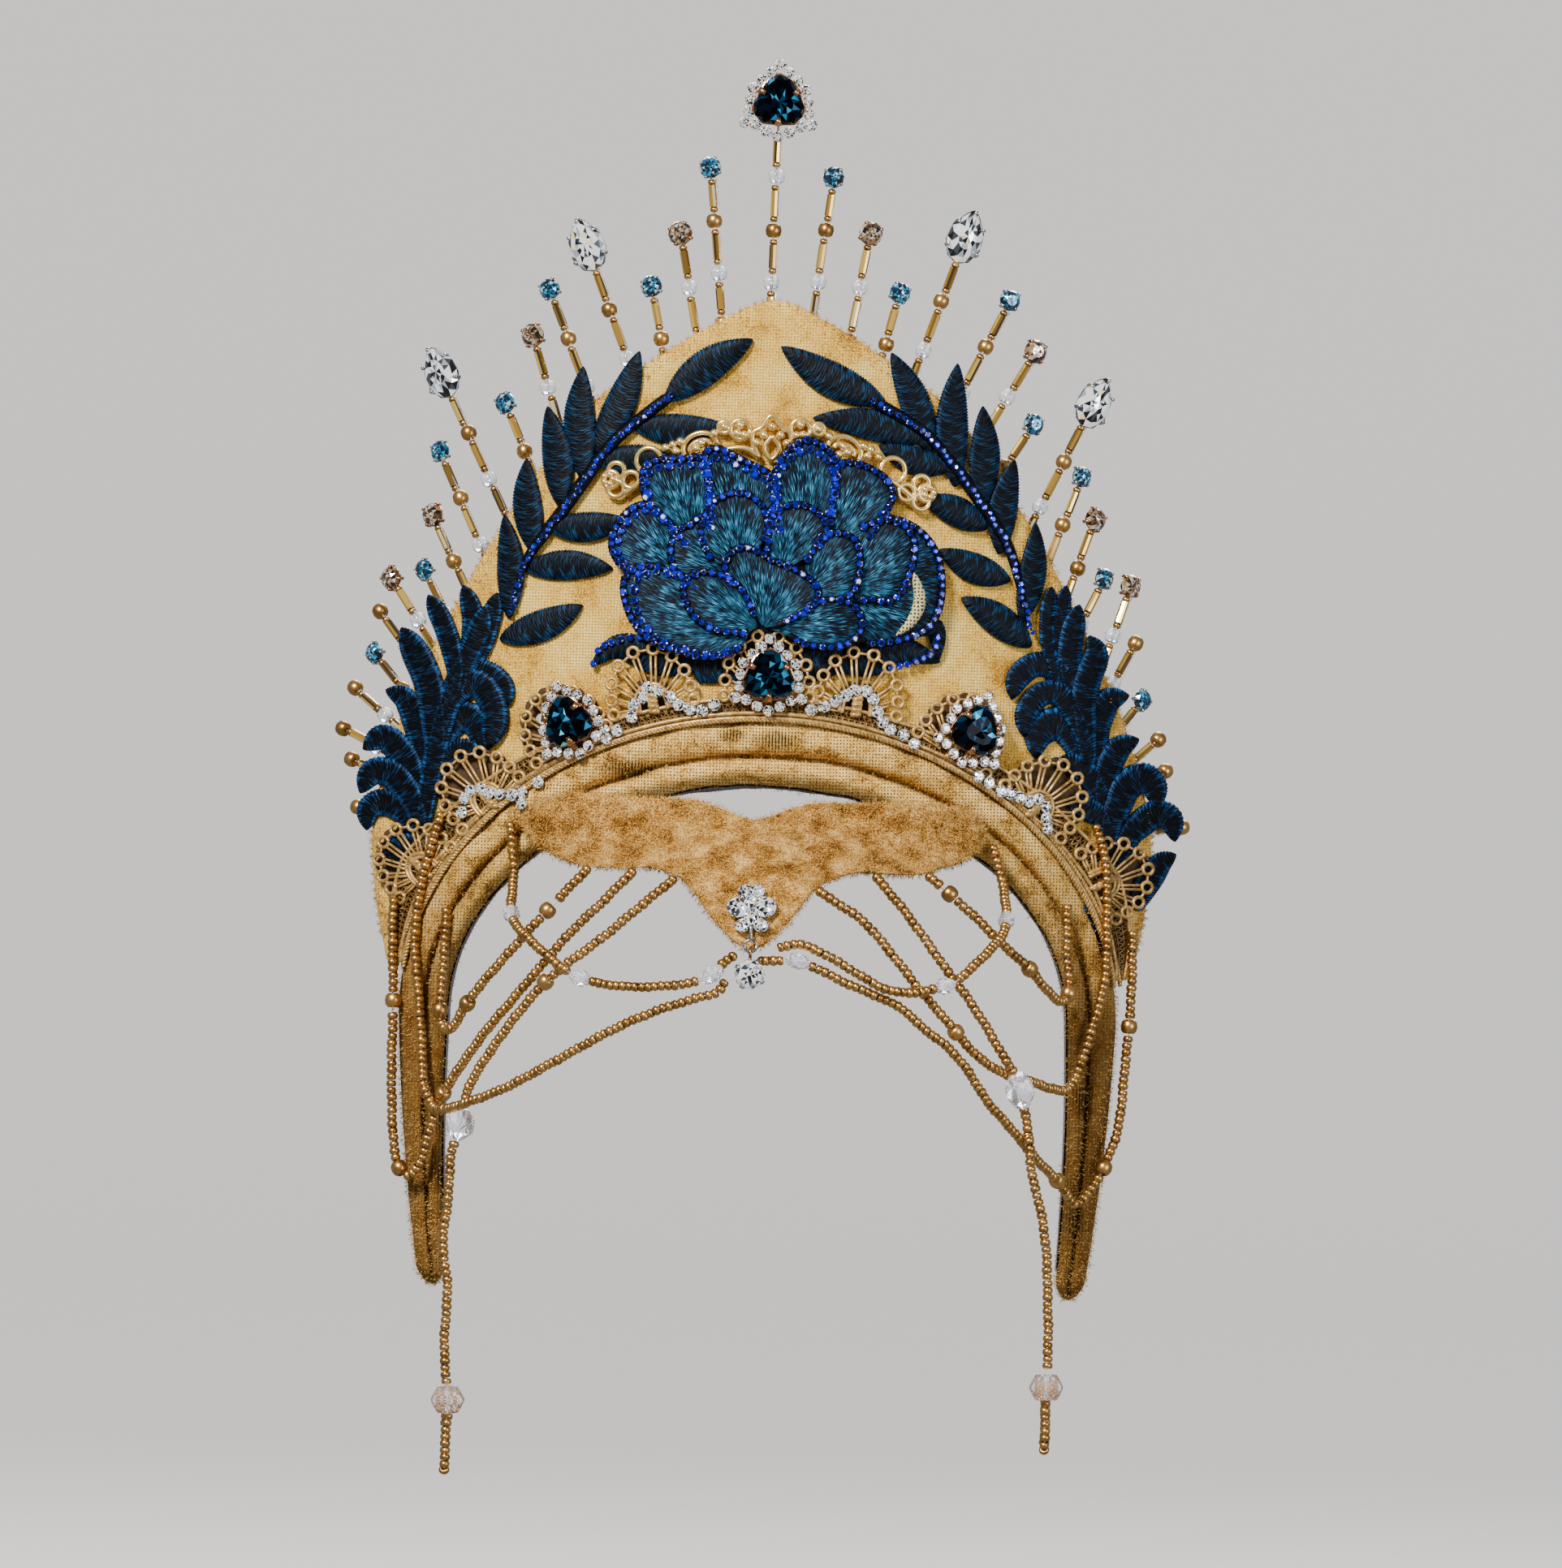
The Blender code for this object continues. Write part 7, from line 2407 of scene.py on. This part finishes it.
STRANDS: dict[str, RouteTable] = {
    "strand_left_short": route(
        (-62, -13), (-61, -23), (-61, -33.4, 1.1, "bicone"), (-57, -38.5, 1.3), (-48.4, -45.5, 1),
        (-42.8, -48.4, 1, "bicone"), (-34, -49.8, 1), (-24, -49.6, 1), (-15, -48.2, 0.8),
        (-10.6, -46, 0.9, "bicone"), (-8.2, -43.2, 0.6), (-5.4, -41.2, 0.2),
    ),
    "strand_left_brow": route(
        (-43.8, -22.9), (-52.6, -32.6, 0, "gold"), (-58.6, -39.4), (-68, -50.6), (-71.8, -56, 0, "gold"),
        (-75.4, -62), (-77.8, -61.4), (-78.6, -57, 0, "gold"), (-78, -46.5, -0.2), (-77.6, -31.5, -0.3),
    ),
    "strand_left_outer": route(
        (-32.6, -23.2), (-39, -30), (-46, -37), (-53.5, -46), (-60.8, -55), (-67.8, -63.8),
        (-77.4, -78.7, 0, "gold"), (-80.5, -88), (-82.4, -95), (-85.2, -98.9), (-88, -96.6, 0, "gold"),
        (-89.6, -88.8), (-90.4, -72), (-90.4, -55, 0, "gold"), (-91, -42), (-91, -30),
    ),
    "strand_left_drop": route(
        (-22.6, -24.6), (-30, -31), (-38, -38), (-47, -45), (-52.5, -50, 0, "gold"), (-59.2, -58.2),
        (-64.2, -65.4), (-69.2, -73.4), (-71.4, -79.1), (-72.6, -86, 0, "big"), (-74.5, -93), (-75, -104),
        (-76, -115), (-74.6, -126), (-75, -140), (-73.8, -154.2, 0, "rondelle"), (-74.1, -162),
        (-74.2, -169.4),
    ),
    "strand_left_swag": route(
        (-80.2, -11), (-84, -26), (-85.4, -40.5), (-84.1, -53.6), (-82.9, -66.8), (-82.2, -75.6, 0.8),
        (-79.6, -81.4, 1.3), (-75.4, -81.6, 1.7), (-70.6, -79.8, 1.5), (-60.9, -75.6, 0.4), (-47.8, -68),
        (-34.8, -60.4), (-24, -55.4), (-14.6, -52.2), (-9.8, -50.6), (-7.7, -47.6),
    ),
    "strand_right_short": route(
        (57.6, -15.5), (59.8, -23), (60.7, -31.8, 1.3, "bicone"), (58.4, -37, 1.4), (49, -46.3, 1),
        (45.2, -48, 1, "bicone"), (38.5, -49.6, 1), (30.5, -48.6, 1), (18.5, -42, 1), (10.5, -38.6, 0.5),
        (3.8, -39.6),
    ),
    "strand_right_brow": route(
        (42.6, -22.3), (47.1, -25.9, 0, "gold"), (54.1, -32), (59.2, -36.9), (63.5, -40.6),
        (67.2, -43.9, 0, "gold"), (71.5, -48.8), (75, -51.4), (77, -48.8, 0, "gold"), (76.2, -39.2),
        (76, -27, -0.3),
    ),
    "strand_right_swag": route(
        (15.8, -26.4), (25.4, -32.6), (32.9, -40.8), (39.5, -48.8), (44.7, -54.5), (49.2, -59.6, 0, "gold"),
        (54.6, -65.2), (61.5, -69.4), (67, -70.8), (73, -72.9), (77.4, -73), (80.2, -67.6), (83.4, -57),
        (85.9, -46), (86.1, -32), (85.4, -17), (82.7, -8),
    ),
    "strand_right_drop": route(
        (29.4, -22.9), (35.6, -30), (42.9, -39.6), (47.2, -45.4), (51.8, -51.2), (56.8, -58.6, 0.4),
        (61, -65.4, 1), (63.8, -69.4, 1.2), (65.2, -73.9, 1.2, "big"), (66.6, -79.5, 1.1), (67.6, -85, 1),
        (68.6, -94, 1), (71, -103, 1), (72.6, -113, 1), (73.2, -124, 1), (73.6, -135, 1),
        (73.4, -146.8, 1, "rondelle"), (73.4, -154, 1), (73.4, -160, 1),
    ),
    "strand_right_outer": route(
        (2.2, -42.8), (10.3, -42.8, 0, "bicone"), (21.4, -47.6), (34.6, -53.2), (40.3, -58), (47, -63),
        (52, -68.6), (57, -76), (63, -82.6), (69.4, -90), (75.4, -96, 0, "gold"), (80, -101.6), (84, -97.6),
        (87.2, -92, 0, "gold"), (90.4, -82), (91.6, -67.5), (92.4, -56.8, 0, "gold"), (92.8, -45),
        (92.6, -33.8),
    ),
}
HANGING = ("strand_left_drop", "strand_right_drop")
CRYSTAL_SIZES = {"bicone": (6.0, 2.3), "big": (9.0, 4.0), "rondelle": (6.4, 4.2), "gold": (4.0, 2.1)}


@dataclass
class Strand:
    """One string of seed beads with its crystals and larger beads."""

    kit: Kit
    name: str
    radius: float = 1.3
    pitch: float = 1.68
    hang_level: float = -85.0
    loop_half_width: float = 1.6
    steepest: float = 1.6
    tuck: float = 2.0

    def depth(self, x: float, z: float, lift: float) -> float:
        """Gives where the string's middle lies, in front of what it drapes over.

        Args:
            x: A place across the brow.
            z: A height on it.
            lift: How many beads deep lie under the string there.

        Returns:
            The depth.
        """
        if self.name in HANGING and z < self.hang_level:
            x, z, lift, _ = [row for row in STRANDS[self.name] if row[1] > self.hang_level][-1]
        clear = self.radius + 0.15 + lift * (2 * self.radius + 0.35)
        across = (drape_depth(x + 1, z) - drape_depth(x - 1, z)) / 2
        upward = (drape_depth(x, z + 1) - drape_depth(x, z - 1)) / 2
        return float(drape_depth(x, z) - clear * min(self.steepest, math.hypot(1, across, upward)))

    def line(self) -> tuple[Array, list[tuple[float, str]]]:
        """Works out how the string lies.

        Returns:
            Its dense middle line, and the distance along it and the kind of each larger bead.
        """
        rows = STRANDS[self.name]
        flat = smooth_line([row[:3] for row in rows], 12)
        first = flat[0] - flat[1]
        first *= self.tuck / np.hypot(first[0], first[1])
        line = np.array([(x, self.depth(x, z, lift), z) for x, z, lift in flat])
        along = distances(line)
        beads = [(along[i * 12] + self.tuck, row[3]) for i, row in enumerate(rows) if row[3]]
        under = line[0] + [first[0], 0.9 * self.tuck, first[1]]
        line = np.vstack([under, line])
        if self.name in HANGING:
            foot = line[-1]
            turn = np.radians(np.linspace(180 / 7, 180, 7))
            swing = np.stack([0 * turn, 1 - np.cos(turn), -np.sin(turn)], axis=-1) * self.loop_half_width
            up = beads[-1][0] + CRYSTAL_SIZES["rondelle"][0] / 2 + 0.7
            total = distances(np.vstack([line, foot + swing]))[-1]
            last = foot + np.array([0, 2 * self.loop_half_width, total - up])
            line = np.vstack([line, foot + swing, last])
        return line, beads

    def frames(self, line: Array, where: Array, loose: float) -> list[Matrix]:
        """Places beads along the string.

        Args:
            line: Its middle line.
            where: The beads' distances along it.
            loose: How unevenly they sit.

        Returns:
            A matrix for each bead, +Z along the string.
        """
        spots = at_distance(line, where)
        ahead = at_distance(line, where + 0.6) - at_distance(line, np.maximum(0, where - 0.6))
        made = []
        for k, (spot, way) in enumerate(zip(spots, ahead)):
            up = Vector(way).normalized()
            side = Vector((0, 1, 0)).cross(up).normalized()
            turn = Matrix((side, up.cross(side), up)).transposed().to_4x4()
            tilt = Matrix.Rotation(loose * math.sin(k * 2.399), 4, "X")
            tilt = tilt @ Matrix.Rotation(loose * math.cos(k * 3.7), 4, "Y")
            nudge = Vector((math.sin(k * 5.1), math.cos(k * 4.3), 0)) * loose * 0.5
            made.append(Matrix.Translation(spot) @ turn @ Matrix.Translation(nudge) @ tilt)
        return made

    def build(self) -> None:
        """Builds the string as one piece."""
        made, shapes = self.kit.finishes, self.kit.shapes
        line, beads = self.line()
        total = distances(line)[-1]
        half = self.pitch / 2
        taken = [(at - CRYSTAL_SIZES[kind][0] / 2, at + CRYSTAL_SIZES[kind][0] / 2) for at, kind in beads]
        where, at = [], half
        while at < total:
            inside = [end for start, end in taken if start - half < at < end + half - 0.01]
            if inside:
                at = inside[0] + half
                continue
            where.append(at)
            at += self.pitch
        heap = Heap(f"{self.name}_beads")
        for k, frame in enumerate(self.frames(line, np.array(where), 0.16)):
            size = (1.0, 0.95, 1.04, 0.98)[k * 7 % 4]
            heap.place(shapes.seed, frame @ Matrix.Scale(size, 4), made.bead)
        spots = np.array([at for at, _ in beads])
        for (_, kind), frame in zip(beads, self.frames(line, spots, 0.05)):
            length, radius = CRYSTAL_SIZES[kind]
            if kind == "gold":
                heap.place(shapes.round, frame @ Matrix.Scale(radius / 2.03, 4), made.bead)
                continue
            shape = shapes.rondelle if kind == "rondelle" else shapes.bicone
            heap.place(shape, frame @ Matrix.Diagonal((radius, radius, length / 2, 1)), made.frost)
        thread = Threads(f"{self.name}_thread", made.nylon, 0.3, 0)
        thread.lay(at_distance(line, np.arange(0, total, 2.5)))
        piece = joined(f"{self.name}_beads", [heap.build(), thread.build()])
        deliver(piece, "gold_bead", self.name)


# Studio


@dataclass
class Studio:
    """A pale floor that curves up all round, soft lights and the camera at the photo's angle."""

    distance: float = 4.0
    frame_height: float = 0.3864
    aim: tuple[float, float] = (0.0044, 0.0005)
    roll: float = -1.5
    floor: float = -0.30
    glow: float = 0.92
    profile: Line = (
        (0, 0), (2.5, 0), (5, 0), (6.2, 0.1), (7, 0.7), (7.3, 2), (7.4, 6),
    )

    def camera(self) -> None:
        """Adds the level camera with a long lens, rolled as the photo is."""
        data = bpy.data.cameras.new("camera")
        data.sensor_width = 36.0
        data.lens = data.sensor_width * self.distance / self.frame_height
        data.clip_end = 60.0
        made = linked("camera", data)
        roll = Matrix.Rotation(math.radians(self.roll), 4, "Y")
        level = Matrix.Rotation(math.radians(90), 4, "X")
        made.matrix_world = Matrix.Translation((self.aim[0], -self.distance, self.aim[1])) @ roll @ level
        bpy.context.scene.camera = made

    def bowl(self, u: Array, v: Array) -> Mapped:
        """Gives the floor's points.

        Args:
            u: Places round it, from 0 to 1.
            v: Places from its middle out and up the wall.

        Returns:
            The points and the values kept on them.
        """
        profile = smooth_line(self.profile, 6)
        along = distances(profile) / distances(profile)[-1]
        reach = np.interp(v, along, profile[:, 0]) / MM
        rise = (np.interp(v, along, profile[:, 1]) + self.floor) / MM
        turn = 2 * np.pi * u
        return np.stack([reach * np.cos(turn), reach * np.sin(turn), rise], axis=-1), {}

    def backdrop(self) -> None:
        """Adds the floor: a wide disc whose rim rises in a soft curve to a wall all round."""
        # Matt paper with a faint glow, so that no shadow darkens the wall
        made, _, _ = start_material("pale_studio_paper", {
            "Base Color": "#C9C6C3", "Roughness": 0.9, "Specular IOR Level": 0.1, "Emission Color": "#E4E1DE",
            "Emission Strength": self.glow,
        })
        piece = mapped_grid("floor", 96, 60, self.bowl, made)
        piece.visible_diffuse = False
        piece.visible_glossy = False

    def light(self, name: str, place: Sequence[float], size: float, power: float, tint: str) -> None:
        """Adds a soft square light that looks at the diadem.

        Args:
            name: The light's name.
            place: Where it stands, in metres.
            size: Its width.
            power: Its power in watts.
            tint: Its colour.
        """
        data = bpy.data.lights.new(name, "AREA")
        data.size = size
        data.energy = power
        data.color = colour(tint)[:3]
        made = linked(name, data)
        made.location = place
        made.rotation_euler = (-Vector(place)).to_track_quat("-Z", "Y").to_euler()

    def build(self) -> None:
        """Builds the whole studio."""
        self.camera()
        self.backdrop()
        self.light("key", (-0.75, -1.5, 1.2), 0.4, 78.0, "#FFFBF4")
        self.light("fill", (1.5, -1.5, 0.2), 1.0, 22.0, "#F1F5FF")
        self.light("back", (0.3, 1.8, 1.5), 1.2, 40.0, "#FFFFFF")
        world = bpy.data.worlds.new("studio")
        bpy.context.scene.world = world
        world.use_nodes = True
        feed(world.node_tree.nodes["Background"], {"Color": "#DCDEE2", "Strength": 0.42})


def main() -> None:
    """Builds every sub-assembly round the frame and reports it."""
    logging.basicConfig(level=logging.INFO, format="%(message)s")
    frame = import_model()
    LOG.info("%d solids loaded", len(frame["nodes"]))
    Studio().build()
    kit = Kit(Palette(), ShapeBox())
    assemblies = [
        HeadBand(kit), CrownPanel(kit), ForeheadPeak(kit),
        LeafSpray(kit, "left", LEFT_STEM, LEFT_LEAVES), LeafSpray(kit, "right", RIGHT_STEM, RIGHT_LEAVES),
        Scroll(kit, "left", LEFT_FRONDS), Scroll(kit, "right", RIGHT_FRONDS),
        Peony(kit), LaceTrim(kit), LaceStones(kit), Filigree(kit), BandStones(kit), Spikes(kit), Pendant(kit),
        *[Strand(kit, name) for name in STRANDS],
    ]
    for assembly in assemblies:
        assembly.build()


if __name__ == "__main__":
    main()
